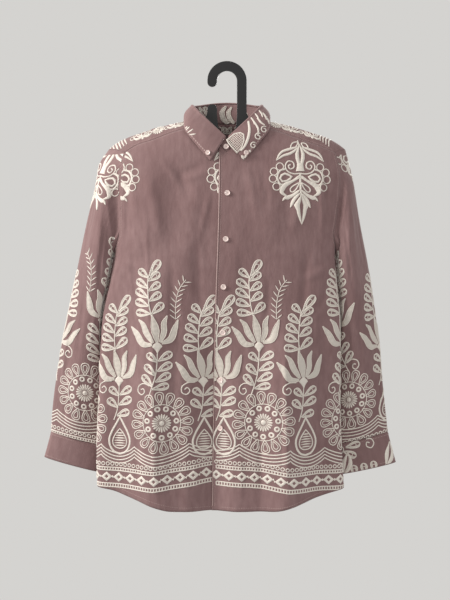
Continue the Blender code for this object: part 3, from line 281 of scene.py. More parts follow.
@dataclass(frozen=True, eq=False)
class BodyForm:
    """Form of the shirt's body and shoulders, in millimetres."""

    neck_half: float = 67.0
    neck_front: float = 50.0
    neck_back: float = 46.0
    neck_side_z: float = -95.0
    neck_back_rise: float = 2.0
    neck_drop: float = 68.0
    neck_curve: float = 0.86
    neck_seam_angle: float = 127.0
    shoulder_tip_x: float = 226.0
    front_fall: float = 80.0
    back_fall: float = 100.0
    yoke_front_z: float = -160.0
    yoke_back_z: float = -190.0
    yoke_back_x: float = 208.0
    front_round: float = 2.6
    side_seam_angle: float = 107.0
    underarm_z: float = -352.0
    hem_side_z: float = -786.0
    hem_middle_z: float = -826.0
    under_edge: float = 15.0
    layer_lift: float = 1.9
    lift_fade: float = 70.0
    foot_share: float = 0.35
    foot_rise: float = 9.0
    steps: int = 241
    sections: tuple[Section, ...] = (
        Section(-850, 240, 225, 62, 55, -21, 2.1),
        Section(-770, 244, 219, 61, 54, -21, 2.1),
        Section(-710, 245, 215, 60, 54, -21, 2.1),
        Section(-610, 241, 213, 59, 53, -21, 2.1),
        Section(-520, 238, 213, 58, 52, -21, 2.1),
        Section(-456, 232, 211, 58, 51, -21, 2.1),
        Section(-400, 220, 206, 59, 50, -21, 2.1),
        Section(-350, 211, 203, 60, 50, -21, 2.2),
        Section(-262, 222, 222, 58, 51, -10, 3.0),
        Section(-205, 236, 236, 55, 52, 0, 3.2),
        Section(-160, 240, 240, 52, 52, 0, 3.2),
        Section(-60, 240, 240, 52, 52, 0, 3.2),
    )
    ridge: tuple[tuple[float, float], ...] = (
        (67, -95), (90, -99), (124, -107), (160, -118), (194, -130), (212, -140), (226, -151), (245, -172),
    )
    yoke_seam: tuple[tuple[float, float], ...] = ((88.5, -119), (140, -138), (171, -148))
    front_armhole: tuple[tuple[float, float, float], ...] = (
        (-322, 202.5, 199.5), (-291, 201.0, 203.0), (-250, 199.5, 209.0),
        (-207, 198.0, 211.0), (-187, 196.0, 209.0), (-160, 190.0, 203.0),
    )
    back_armhole: tuple[tuple[float, float, float], ...] = (
        (-322, 203.0, 199.5), (-262, 200.0, 200.0), (-190, 208.0, 208.0),
    )
    hem: tuple[tuple[float, float], ...] = (
        (0, -826), (60, -825.5), (100, -823), (125, -816), (150, -808),
        (180, -800), (215, -790), (245, -786), (300, -786),
    )
    closing: tuple[tuple[float, float], ...] = (
        (-850, -13.5), (-674, -11.8), (-590, -10.5), (-500, -8.2),
        (-415, -6.2), (-326, -3.0), (-240, -0.8), (-139, 0.0),
    )
    front_folds: tuple[Fold, ...] = (
        Fold(-143, -300, -132, 52, 17, 230),
        Fold(-28, -450, -30, 52, -15, 150),
        Fold(104, -400, 112, 56, 17, 200),
        Fold(178, -420, 180, 40, -7, 200),
        Fold(-205, -330, -205, 38, -6, 220),
        Fold(-100, -215, -70, 60, 6, 60),
    )
    back_folds: tuple[Fold, ...] = (
        Fold(-120, -330, -130, 50, 13, 240),
        Fold(-40, -420, -36, 46, -11, 220),
        Fold(60, -350, 66, 52, 14, 240),
        Fold(150, -430, 156, 44, -9, 200),
    )

    @lru_cache(maxsize=None)
    def outline(self, side: int, z: float) -> tuple[Array, Array, Array, Array]:
        """Half of the outline at one height, from the front middle to the back middle.

        Args:
            side: sign of x.
            z: the height.

        Returns:
            x, y, the length walked and the angle.
        """
        places = column(self.sections, "z")
        row = {n: smooth(z, places, column(self.sections, n)) for n in Section._fields[1:]}
        half = row["left"] if side < 0 else row["right"]
        angle = np.linspace(0.0, math.pi, self.steps)
        in_front = angle <= math.pi / 2.0
        power = np.where(in_front, 2.0 / self.front_round, 2.0 / row["round_back"])
        reach = np.where(in_front, -(row["front"] + row["middle"]), row["back"] - row["middle"])
        x = side * half * np.abs(np.sin(angle)) ** power
        y = row["middle"] + reach * np.abs(np.cos(angle)) ** power
        length = np.concatenate(([0.0], np.cumsum(np.hypot(np.diff(x), np.diff(y)))))
        return x, y, length, angle

    def quarter(self, side: int, z: float, front: bool) -> tuple[Array, Array, Array]:
        """The front or the back quarter of the outline, with |x| rising."""
        x, y, length, _ = self.outline(side, z)
        half = self.steps // 2
        if front:
            return np.abs(x[: half + 1]), y[: half + 1], length[: half + 1]
        return np.abs(x[half:])[::-1], y[half:][::-1], (length[-1] - length[half:])[::-1]

    def flat_depth(self, x: float, z: float, front: bool) -> float:
        """How far the body reaches from the hanger's plane at x, before it closes at the ridge."""
        across, depth, _ = self.quarter(-1 if x < 0 else 1, z, front)
        return abs(float(np.interp(abs(x), across, depth)))

    def s_at(self, x: float, z: float, front: bool) -> float:
        """Signed length along the outline of the point at x."""
        side = -1 if x < 0 else 1
        across, _, length = self.quarter(side, z, front)
        return side * float(np.interp(abs(x), across, length))

    def side_seam_s(self, side: int, z: float, front: bool) -> float:
        """Signed length along the outline of the side seam."""
        _, _, length, angle = self.outline(side, z)
        seam = float(np.interp(math.radians(self.side_seam_angle), angle, length))
        return side * (seam if front else length[-1] - seam)

    def neck_edge(self, x: float, front: bool) -> tuple[float, float]:
        """Depth and height of the neck opening's edge at x."""
        share = min(abs(x) / self.neck_half, 1.0)
        bow = math.sqrt(1.0 - share * share)
        if front:
            return self.neck_front * bow, self.neck_side_z - self.neck_drop * (1.0 - share) ** self.neck_curve
        return self.neck_back * bow, self.neck_side_z + self.neck_back_rise * bow * bow

    def fall(self, front: bool) -> float:
        """Height over which the shoulder rounds over."""
        return self.front_fall if front else self.back_fall

    @lru_cache(maxsize=None)
    def ridge_height(self, x: float, front: bool) -> float:
        """Height of the shoulder ridge, which passes the neck's edge inside the neck."""
        if abs(x) >= self.neck_half:
            table = np.array(self.ridge, dtype=float)
            return smooth(abs(x), table[:, 0], table[:, 1])
        depth, height = self.neck_edge(x, front)
        full = min(depth / self.flat_depth(x, height, front), 1.0)
        return height + self.fall(front) * (1.0 - math.sqrt(1.0 - full * full))

    @lru_cache(maxsize=None)
    def ridge_table(self, front: bool) -> tuple[Array, Array]:
        """The ridge's height by x, for whole arrays."""
        x = np.arange(-245.0, 246.0)
        return x, np.array([self.ridge_height(float(v), front) for v in x])

    def hem_z(self, s: float) -> float:
        """Height of the hem."""
        table = np.array(self.hem, dtype=float)
        return smooth(abs(s), table[:, 0], table[:, 1])

    def closing_x(self, z: float) -> float:
        """Where the line of the front buttons runs."""
        table = np.array(self.closing, dtype=float)
        return smooth(z, table[:, 0], table[:, 1])

    def row(self, side: int, z: float, s: Array, front: bool, lift: Array) -> Array:
        """Outer points of the body along one height.

        Args:
            side: sign of x.
            z: the height.
            s: signed lengths from the middle.
            front: front or back.
            lift: height over the plain form at each point.

        Returns:
            The points, one row each.
        """
        x_line, y_line, length, _ = self.outline(side, z)
        at = np.abs(s) if front else length[-1] - np.abs(s)
        x, y = np.interp(at, length, x_line), np.interp(at, length, y_line)
        run_x = np.interp(at + 2.0, length, x_line) - np.interp(at - 2.0, length, x_line)
        run_y = np.interp(at + 2.0, length, y_line) - np.interp(at - 2.0, length, y_line)
        outward = unit(np.stack((run_y, -run_x), axis=-1)) * side
        total = np.zeros(len(s))
        for fold in self.front_folds if front else self.back_folds:
            down = min(max((fold.top_z - z) / (fold.top_z - self.hem_middle_z), 0.0), 1.0)
            away = np.abs(s - fold.top_s - (fold.low_s - fold.top_s) * down) / fold.half_width
            grown = smoothstep((fold.top_z - z) / fold.reach)
            total += np.where(away < 1.0, fold.height * grown * 0.5 * (1.0 + np.cos(np.pi * away)), 0.0)
        seam = abs(self.side_seam_s(side, z, front))
        height = total * smoothstep((seam - np.abs(s)) / 45.0) + lift
        ridge_front = np.interp(x, *self.ridge_table(True))
        ridge_back = np.interp(x, *self.ridge_table(False))
        below = np.where(y < 0.0, (ridge_front - z) / self.front_fall, (ridge_back - z) / self.back_fall)
        filled = y * np.sqrt(1.0 - (1.0 - np.clip(below, 0.0, 1.0)) ** 2)
        return np.stack((x + outward[:, 0] * height, filled + outward[:, 1] * height, np.full(len(s), z)), -1)

    def over_shoulder(self, x: float, q: float) -> Array:
        """Outer point over the shoulder: q is below zero in front of the ridge."""
        front = q < 0.0
        fall = self.fall(front)
        turn = min(abs(q) / fall, math.pi / 2.0)
        past = max(abs(q) - fall * math.pi / 2.0, 0.0)
        z = self.ridge_height(x, front) - fall * (1.0 - math.cos(turn)) - past
        depth = self.flat_depth(x, z, front) * math.sin(turn)
        return np.array((x, -depth if front else depth, z))

    def q_at(self, x: float, z: float, front: bool) -> float:
        """The run q over the shoulder that reaches height z at x."""
        fall = self.fall(front)
        below = max(self.ridge_height(x, front) - z, 0.0)
        run = fall * math.acos(1.0 - below / fall) if below < fall else fall * math.pi / 2.0 + below - fall
        return -run if front else run

    def armhole_corner(self, side: int, front: bool) -> Array:
        """Where the armhole meets the yoke's front or back seam, as x and q."""
        if front:
            x = side * self.front_armhole[-1][1 if side < 0 else 2]
            return np.array((x, self.q_at(x, self.yoke_front_z, True)))
        x = side * self.yoke_back_x
        return np.array((x, self.q_at(x, self.yoke_back_z, False)))

    def armhole_plane(self, side: int, front: bool) -> Curve:
        """Armhole from the underarm up to the yoke, as a curve of s and z."""
        table = self.front_armhole if front else self.back_armhole
        rows = [(side * row[1 if side < 0 else 2], row[0]) for row in table]
        points = [np.array((self.s_at(x, z, front), z)) for x, z in rows]
        foot = np.array((self.side_seam_s(side, self.underarm_z, front), self.underarm_z))
        bend_s = foot[0] + (points[0][0] - foot[0]) * (1.0 - self.foot_share)
        return curve_through([foot, np.array((bend_s, self.underarm_z + self.foot_rise))] + points)

    def yoke_armhole(self, side: int, q: float) -> float:
        """Where the armhole crosses the shoulder at q."""
        corner = self.armhole_corner(side, q < 0.0)
        tip = side * self.shoulder_tip_x
        return tip + (corner[0] - tip) * (q / corner[1]) ** 2

    @lru_cache(maxsize=None)
    def yoke_seam_line(self, side: int) -> Curve:
        """Seam between a front and the yoke, from the neck to the armhole, as x and z."""
        start_x = side * self.neck_half * math.sin(math.radians(self.neck_seam_angle))
        places = [(start_x, self.neck_edge(start_x, True)[1])]
        places += [(side * x, z) for x, z in self.yoke_seam]
        places.append((side * self.front_armhole[-1][1 if side < 0 else 2], self.yoke_front_z))
        return curve_through(places)

    @lru_cache(maxsize=None)
    def armhole_ring(self, side: int) -> tuple[Array, Array]:
        """Points round the armhole and the sleeve angle of each, from -180 at the underarm."""
        samples = []
        for k in range(40):
            s, z = self.armhole_plane(side, True)(k / 40)
            samples.append(self.row(side, z, np.array([s]), True, np.zeros(1))[0])
        front, back = self.armhole_corner(side, True), self.armhole_corner(side, False)
        runs = [front[1] * (1.0 - k / 20) for k in range(20)] + [back[1] * k / 25 for k in range(26)]
        samples += [self.over_shoulder(self.yoke_armhole(side, q), q) for q in runs]
        for k in range(1, 31):
            s, z = self.armhole_plane(side, False)(1.0 - k / 30)
            samples.append(self.row(side, z, np.array([s]), False, np.zeros(1))[0])
        points = np.array(samples)
        walked = np.concatenate(([0.0], np.cumsum(np.linalg.norm(np.diff(points, axis=0), axis=1))))
        walked /= walked[-1]
        tip = walked[60]
        angles = np.where(walked <= tip, -180.0 + 180.0 * walked / tip, 180.0 * (walked - tip) / (1.0 - tip))
        return points, angles

    def limit(self, side: int, y: float, z: float) -> float:
        """How far the body reaches sideways at y and z, or zero where it isn't."""
        x, depth, _, _ = self.outline(side, z)
        half = self.steps // 2
        if y < depth[0] or y > depth[-1]:
            return 0.0
        if y < depth[half]:
            return float(np.interp(y, depth[: half + 1], np.abs(x[: half + 1])))
        return float(np.interp(y, depth[half:], np.abs(x[half:])))


class Surface:
    """A cloth surface sampled on a regular grid of two coordinates, in millimetres."""

    def __init__(self, a: Array, b: Array, points: Array, flip: bool = False) -> None:
        """Keep the grid and work out its normals.

        Args:
            a: rising places of the columns.
            b: rising places of the rows.
            points: outer points, rows by columns by 3.
            flip: turn the normals round.
        """
        self.a, self.b = a, b
        along_a = np.gradient(points, a, axis=1)
        along_b = np.gradient(points, b, axis=0)
        normals = unit(np.cross(along_a, along_b)) * (-1.0 if flip else 1.0)
        self.points = points
        self.values = np.concatenate((points, normals), axis=2)
        self.steps = (np.linalg.norm(along_a, axis=2), np.linalg.norm(along_b, axis=2))
        self.low_a = np.full(len(b), a[0])
        self.high_a = np.full(len(b), a[-1])
        self.low_b = np.full(len(a), b[0])
        self.high_b = np.full(len(a), b[-1])

    def limit(self, a: Array, b: Array) -> tuple[Array, Array]:
        """Draw places in to where the cloth is."""
        a = np.clip(a, np.interp(b, self.b, self.low_a), np.interp(b, self.b, self.high_a))
        b = np.clip(b, np.interp(a, self.a, self.low_b), np.interp(a, self.a, self.high_b))
        return a, b

    def sample(self, a: Array, b: Array) -> Array:
        """Cubic look-up of points and normals."""
        i = (np.asarray(b, dtype=float) - self.b[0]) / (self.b[1] - self.b[0])
        j = (np.asarray(a, dtype=float) - self.a[0]) / (self.a[1] - self.a[0])
        rows, columns = self.values.shape[:2]
        low_i = np.clip(np.floor(i).astype(int), 0, rows - 2)
        low_j = np.clip(np.floor(j).astype(int), 0, columns - 2)
        u, v = np.clip(i - low_i, 0.0, 1.0), np.clip(j - low_j, 0.0, 1.0)
        total = 0.0
        for di, weight_i in enumerate(cubic_weights(u)):
            row = np.clip(low_i + di - 1, 0, rows - 1)
            for dj, weight_j in enumerate(cubic_weights(v)):
                col = np.clip(low_j + dj - 1, 0, columns - 1)
                total = total + self.values[row, col] * (weight_i * weight_j)[..., None]
        return total

    def pace(self, a: float, b: float) -> tuple[float, float]:
        """Millimetres walked for each unit of a and of b at a place."""
        i = int(np.argmin(np.abs(self.b - b)))
        j = int(np.argmin(np.abs(self.a - a)))
        return float(self.steps[0][i, j]), float(self.steps[1][i, j])

    def a_at(self, x: float, b: float, low: float, high: float) -> float:
        """The coordinate a, between two bounds, of the point at x in row b.

        A place beyond the last point that is seen lies as far past it round the cloth.
        """
        i = int(np.argmin(np.abs(self.b - b)))
        pick = (self.a >= low) & (self.a <= high)
        line, places = self.points[i, pick, 0], self.a[pick]
        reach = np.abs(line - line[-1])
        turned = len(line) - 1 - int(np.argmax(reach[::-1]))
        past = max(0.0, abs(x - float(line[-1])) - float(reach[turned]))
        line, places = line[turned:], places[turned:]
        order = np.argsort(line)
        return float(np.interp(x, line[order], places[order])) - past


def cubic_weights(t: Array) -> tuple[Array, Array, Array, Array]:
    """Weights of four neighbours for a smooth look-up between the middle two."""
    return (
        0.5 * (-t + 2.0 * t * t - t**3),
        0.5 * (2.0 - 5.0 * t * t + 3.0 * t**3),
        0.5 * (t + 4.0 * t * t - 3.0 * t**3),
        0.5 * (-t * t + t**3),
    )


def patch(low: Curve, high: Curve, start: Curve, end: Curve, columns: int, rows: int) -> Array:
    """Plane points inside four edges, each edge a function of 0 to 1."""
    u = np.linspace(0.0, 1.0, columns + 1)[None, :, None]
    v = np.linspace(0.0, 1.0, rows + 1)[:, None, None]
    low_line, high_line = (np.array([edge(k) for k in u.ravel()])[None] for edge in (low, high))
    start_line, end_line = (np.array([edge(k) for k in v.ravel()])[:, None] for edge in (start, end))
    corners = (1 - v) * ((1 - u) * low_line[:, :1] + u * low_line[:, -1:])
    corners = corners + v * ((1 - u) * high_line[:, :1] + u * high_line[:, -1:])
    return (1 - u) * start_line + u * end_line + (1 - v) * low_line + v * high_line - corners


class Shading:
    """A new Principled material, with short ways to add and join its nodes."""

    def __init__(self, name: str, color: tuple[float, float, float], roughness: float) -> None:
        """Make the material.

        Args:
            name: its name.
            color: its base colour.
            roughness: how dull it is.
        """
        self.material = bpy.data.materials.new(name)
        self.material.use_nodes = True
        self.shader = self.material.node_tree.nodes["Principled BSDF"]
        self.put(self.shader, {"Base Color": (*color, 1.0), "Roughness": roughness})

    def put(self, node: bpy.types.Node, values: dict[str, object]) -> None:
        """Set a node's inputs by name."""
        for name, value in values.items():
            node.inputs[name].default_value = value

    def add(self, kind: str, values: dict[str, object] | None = None, **settings: str) -> bpy.types.Node:
        """Add a node.

        Args:
            kind: its type, without the word that all of them start with.
            values: its inputs by name.
            settings: its own settings.

        Returns:
            The node.
        """
        node = self.material.node_tree.nodes.new("ShaderNode" + kind)
        for name, value in settings.items():
            setattr(node, name, value)
        self.put(node, values or {})
        return node

    def join(self, output: bpy.types.NodeSocket, target: bpy.types.NodeSocket) -> None:
        """Join an output to an input."""
        self.material.node_tree.links.new(output, target)


@dataclass(frozen=True)
class ClothFinish:
    """Matte woven cotton with a soft sheen."""

    name: str = "mauve_cotton"
    color: tuple[float, float, float] = (0.200, 0.113, 0.112)
    light: tuple[float, float, float] = (0.262, 0.160, 0.158)
    roughness: float = 0.86
    sheen: float = 0.22
    sheen_spread: float = 0.5
    sheen_tint: tuple[float, float, float, float] = (0.95, 0.86, 0.85, 1.0)
    patch_scale: float = 9.0
    patch_detail: float = 5.0
    patch_range: tuple[float, float] = (0.12, 0.42)
    threads: float = 2600.0
    uneven: float = 1.2
    weave: float = 0.10
    weave_depth: float = 0.0003
    crinkle: tuple[float, float, float] = (120.0, 40.0, 1.0)
    crinkle_detail: float = 4.0
    crinkle_depth: float = 0.36
    crinkle_relief: float = 0.0025

    def make(self) -> bpy.types.Material:
        """Make the material, woven along the cloth's own coordinates.

        Returns:
            The material.
        """
        work = Shading(self.name, self.color, self.roughness)
        sheen = {"Weight": self.sheen, "Roughness": self.sheen_spread, "Tint": self.sheen_tint}
        work.put(work.shader, {"Sheen " + name: value for name, value in sheen.items()})
        place = work.add("TexCoord")
        patchy = work.add("TexNoise", {"Scale": self.patch_scale, "Detail": self.patch_detail})
        work.join(place.outputs["Object"], patchy.inputs["Vector"])
        mix = work.add("Mix", {"A": (*self.color, 1.0), "B": (*self.light, 1.0)}, data_type="RGBA")
        work.join(mix.outputs["Result"], work.shader.inputs["Base Color"])
        add = work.add("Math")
        for index, direction in enumerate(("X", "Y")):
            values = {"Scale": self.threads / WAVE_FACTOR, "Distortion": self.uneven, "Detail": 1.0}
            wave = work.add("TexWave", values, bands_direction=direction)
            work.join(place.outputs["UV"], wave.inputs["Vector"])
            work.join(wave.outputs["Fac"], add.inputs[index])
        bump = work.add("Bump", {"Strength": self.weave, "Distance": self.weave_depth})
        work.join(add.outputs[0], bump.inputs["Height"])
        spread = work.add("Mapping", {"Scale": self.crinkle})
        work.join(place.outputs["UV"], spread.inputs["Vector"])
        wrinkle = work.add("TexNoise", {"Scale": 1.0, "Detail": self.crinkle_detail})
        work.join(spread.outputs["Vector"], wrinkle.inputs["Vector"])
        both = work.add("Math", operation="MULTIPLY")
        work.join(wrinkle.outputs["Fac"], both.inputs[0])
        work.join(patchy.outputs["Fac"], both.inputs[1])
        least, most = self.patch_range
        stretch = work.add("MapRange", {"From Min": least, "From Max": most})
        work.join(both.outputs[0], stretch.inputs["Value"])
        work.join(stretch.outputs["Result"], mix.inputs["Factor"])
        soft = work.add("Bump", {"Strength": self.crinkle_depth, "Distance": self.crinkle_relief})
        work.join(wrinkle.outputs["Fac"], soft.inputs["Height"])
        work.join(bump.outputs["Normal"], soft.inputs["Normal"])
        work.join(soft.outputs["Normal"], work.shader.inputs["Normal"])
        return work.material


@dataclass(frozen=True)
class ThreadFinish:
    """Embroidery thread: cream, satin, with fine ribs across each line of stitches."""

    name: str
    color: tuple[float, float, float]
    roughness: float = 0.55
    ribs: float = 900.0
    relief: float = 0.35
    relief_depth: float = 0.0004
    sheen: float = 0.3
    uneven: float = 1.5

    def make(self) -> bpy.types.Material:
        """Make the material, ribbed along each line.

        Returns:
            The material.
        """
        work = Shading(self.name, self.color, self.roughness)
        work.put(work.shader, {"Sheen Weight": self.sheen})
        place = work.add("TexCoord")
        values = {"Scale": self.ribs / WAVE_FACTOR, "Distortion": self.uneven, "Detail": 1.0}
        wave = work.add("TexWave", values, bands_direction="Y")
        work.join(place.outputs["UV"], wave.inputs["Vector"])
        bump = work.add("Bump", {"Strength": self.relief, "Distance": self.relief_depth})
        work.join(wave.outputs["Fac"], bump.inputs["Height"])
        work.join(bump.outputs["Normal"], work.shader.inputs["Normal"])
        return work.material


@dataclass(frozen=True)
class PlainFinish:
    """Plain hard finish."""

    name: str
    color: tuple[float, float, float]
    roughness: float
    coat: float = 0.0
    coat_roughness: float = 0.15

    def make(self) -> bpy.types.Material:
        """Make the material.

        Returns:
            The material.
        """
        work = Shading(self.name, self.color, self.roughness)
        work.put(work.shader, {"Coat Weight": self.coat, "Coat Roughness": self.coat_roughness})
        return work.material


@dataclass
class MeshParts:
    """Points in millimetres, faces and cloth coordinates that become one object."""

    points: list[Array] = field(default_factory=list)
    faces: list[Array] = field(default_factory=list)
    places: list[Array] = field(default_factory=list)
    slots: list[Array] = field(default_factory=list)
    count: int = 0

    def add(self, points: Array, faces: Array, places: Array, slot: int = 0) -> None:
        """Add points with their faces, numbered from 0, and their cloth coordinates."""
        self.points.append(points.reshape(-1, 3))
        self.places.append(places.reshape(-1, 2))
        self.faces.append(faces + self.count)
        self.slots.append(np.full(len(faces), slot))
        self.count += len(self.points[-1])

    def add_shell(
        self, points: Array, normals: Array, places: Array, wall: float, ring: bool = False
    ) -> None:
        """Add a grid of outer points with an inner skin behind it and walls at its edges.

        Args:
            points: outer points, rows by columns by 3.
            normals: outward normals of the same shape.
            places: cloth coordinates, rows by columns by 2.
            wall: thickness.
            ring: join the last column to the first.
        """
        rows, columns = points.shape[:2]
        outer = grid_faces(rows, columns, ring)
        size = rows * columns
        inner = outer[:, ::-1] + size
        rims = [np.arange(columns), np.arange(columns) + (rows - 1) * columns]
        loops = [rims[0], rims[1][::-1]]
        if ring:
            loops = [np.append(loop, loop[0]) for loop in loops]
        else:
            loops.append(np.arange(rows)[::-1] * columns)
            loops.append(np.arange(rows) * columns + columns - 1)
        walls = [
            np.stack((loop[1:], loop[:-1], loop[:-1] + size, loop[1:] + size), axis=-1) for loop in loops
        ]
        faces = np.concatenate([outer, inner] + walls)
        self.add(
            np.concatenate((points.reshape(-1, 3), (points - normals * wall).reshape(-1, 3))),
            faces,
            np.concatenate((places.reshape(-1, 2), places.reshape(-1, 2))),
        )

    def make(self, name: str, materials: Sequence[bpy.types.Material], turn: bool = True) -> bpy.types.Object:
        """Make the object.

        Args:
            name: its name.
            materials: the materials that the slots number.
            turn: weld near points and face everything outward.

        Returns:
            The object, linked to the scene.
        """
        points = np.concatenate(self.points) * MM
        faces = np.concatenate(self.faces)
        mesh = bpy.data.meshes.new(name)
        corners = [row[:3] if row[2] == row[3] else row for row in faces.tolist()]
        mesh.from_pydata(points.tolist(), [], corners)
        for material in materials:
            mesh.materials.append(material)
        mesh.polygons.foreach_set("material_index", np.concatenate(self.slots).astype(np.int32))
        layer = mesh.uv_layers.new(name="cloth")
        loops = np.zeros(len(mesh.loops), dtype=np.int32)
        mesh.loops.foreach_get("vertex_index", loops)
        layer.data.foreach_set("uv", (np.concatenate(self.places) * MM)[loops].ravel())
        if turn:
            work = bmesh.new()
            work.from_mesh(mesh)
            bmesh.ops.remove_doubles(work, verts=work.verts, dist=0.00002)
            bmesh.ops.recalc_face_normals(work, faces=work.faces)
            bmesh.ops.delete(work, geom=[v for v in work.verts if not v.link_faces], context="VERTS")
            work.to_mesh(mesh)
            work.free()
        mesh.validate()
        mesh.shade_smooth()
        item = bpy.data.objects.new(name, mesh)
        bpy.context.scene.collection.objects.link(item)
        return item


def grid_faces(rows: int, columns: int, ring: bool = False) -> Array:
    """Quads of a grid of points, numbered row by row."""
    index = np.arange(rows * columns).reshape(rows, columns)
    if ring:
        index = np.concatenate((index, index[:, :1]), axis=1)
    return np.stack((index[:-1, :-1], index[:-1, 1:], index[1:, 1:], index[1:, :-1]), axis=-1).reshape(-1, 4)


def grid_normals(points: Array) -> Array:
    """Normals of a grid of points, from its own rows and columns."""
    return unit(np.cross(np.gradient(points, axis=1), np.gradient(points, axis=0)))


class Spot(NamedTuple):
    """Where a motif's origin lies on a surface, and how the motif is sized and turned."""

    a: float
    b: float
    size: float = 1.0
    turn: float = 0.0
    mirror: bool = False


class Blade(NamedTuple):
    """A leaf or petal from its foot to its tip, in millimetres from the motif's origin."""

    x: float
    y: float
    tip_x: float
    tip_y: float
    half: float
    bow: float = 0.0


class Shape(Enum):
    """Half widths of a blade at even steps from its foot to its tip."""

    LEAF = (0.06, 0.55, 0.86, 1.0, 0.97, 0.78, 0.42, 0.06)
    LANCE = (0.10, 0.62, 0.95, 1.0, 0.86, 0.60, 0.32, 0.04)
    CRESCENT = (0.05, 0.50, 0.85, 1.0, 1.0, 0.85, 0.50, 0.05)
    DROP = (
        0.10, 0.20, 0.31, 0.42, 0.53, 0.63, 0.73, 0.82, 0.89, 0.95, 0.98, 1.0, 0.99, 0.95, 0.85, 0.66, 0.04,
    )


def left_of(slope: Array) -> Array:
    """Unit vectors to the left of the slopes of a line."""
    return unit(np.stack((-slope[:, 1], slope[:, 0]), axis=-1))


def path_length(points: Sequence[Sequence[float]]) -> float:
    """Length of straight lines through points."""
    return float(np.linalg.norm(np.diff(np.array(points, dtype=float), axis=0), axis=1).sum())


def sided(side: int, points: Sequence[Sequence[float]]) -> list[tuple[float, float]]:
    """Points of one half of a motif, for side 1 or -1."""
    return [(side * x, y) for x, y in points]


def blade_lines(blade: Blade, shape: Shape, share: float = 1.0) -> tuple[Array, Array]:
    """Middle line of a blade, and the half width vector at each of its points.

    Args:
        blade: the blade.
        shape: how its width changes.
        share: size of an inner copy about the blade's middle.

    Returns:
        The middle line and the half width vectors.
    """
    foot, tip = np.array((blade.x, blade.y)), np.array((blade.tip_x, blade.tip_y))
    run = tip - foot
    length = float(np.hypot(*run))
    rows = int(np.clip(length / 1.7, 7, 16))
    t = np.sin(np.linspace(0.0, np.pi / 2.0, rows))
    inner = 0.5 + (t - 0.5) * share
    side = np.array((-run[1], run[0]))
    line = foot + run * inner[:, None] + side * (blade.bow * 4.0 * inner * (1.0 - inner))[:, None]
    across = left_of(np.gradient(line, axis=0))
    widths = np.interp(t, np.linspace(0.0, 1.0, len(shape.value)), shape.value) * blade.half * share
    return line, across * widths[:, None]


def circle(x: float, y: float, radius: float, count: int, first: float = 0.0) -> Array:
    """Points round a circle."""
    turns = 2.0 * np.pi * np.arange(count) / count + math.radians(first)
    return np.stack((x + radius * np.cos(turns), y + radius * np.sin(turns)), axis=-1)


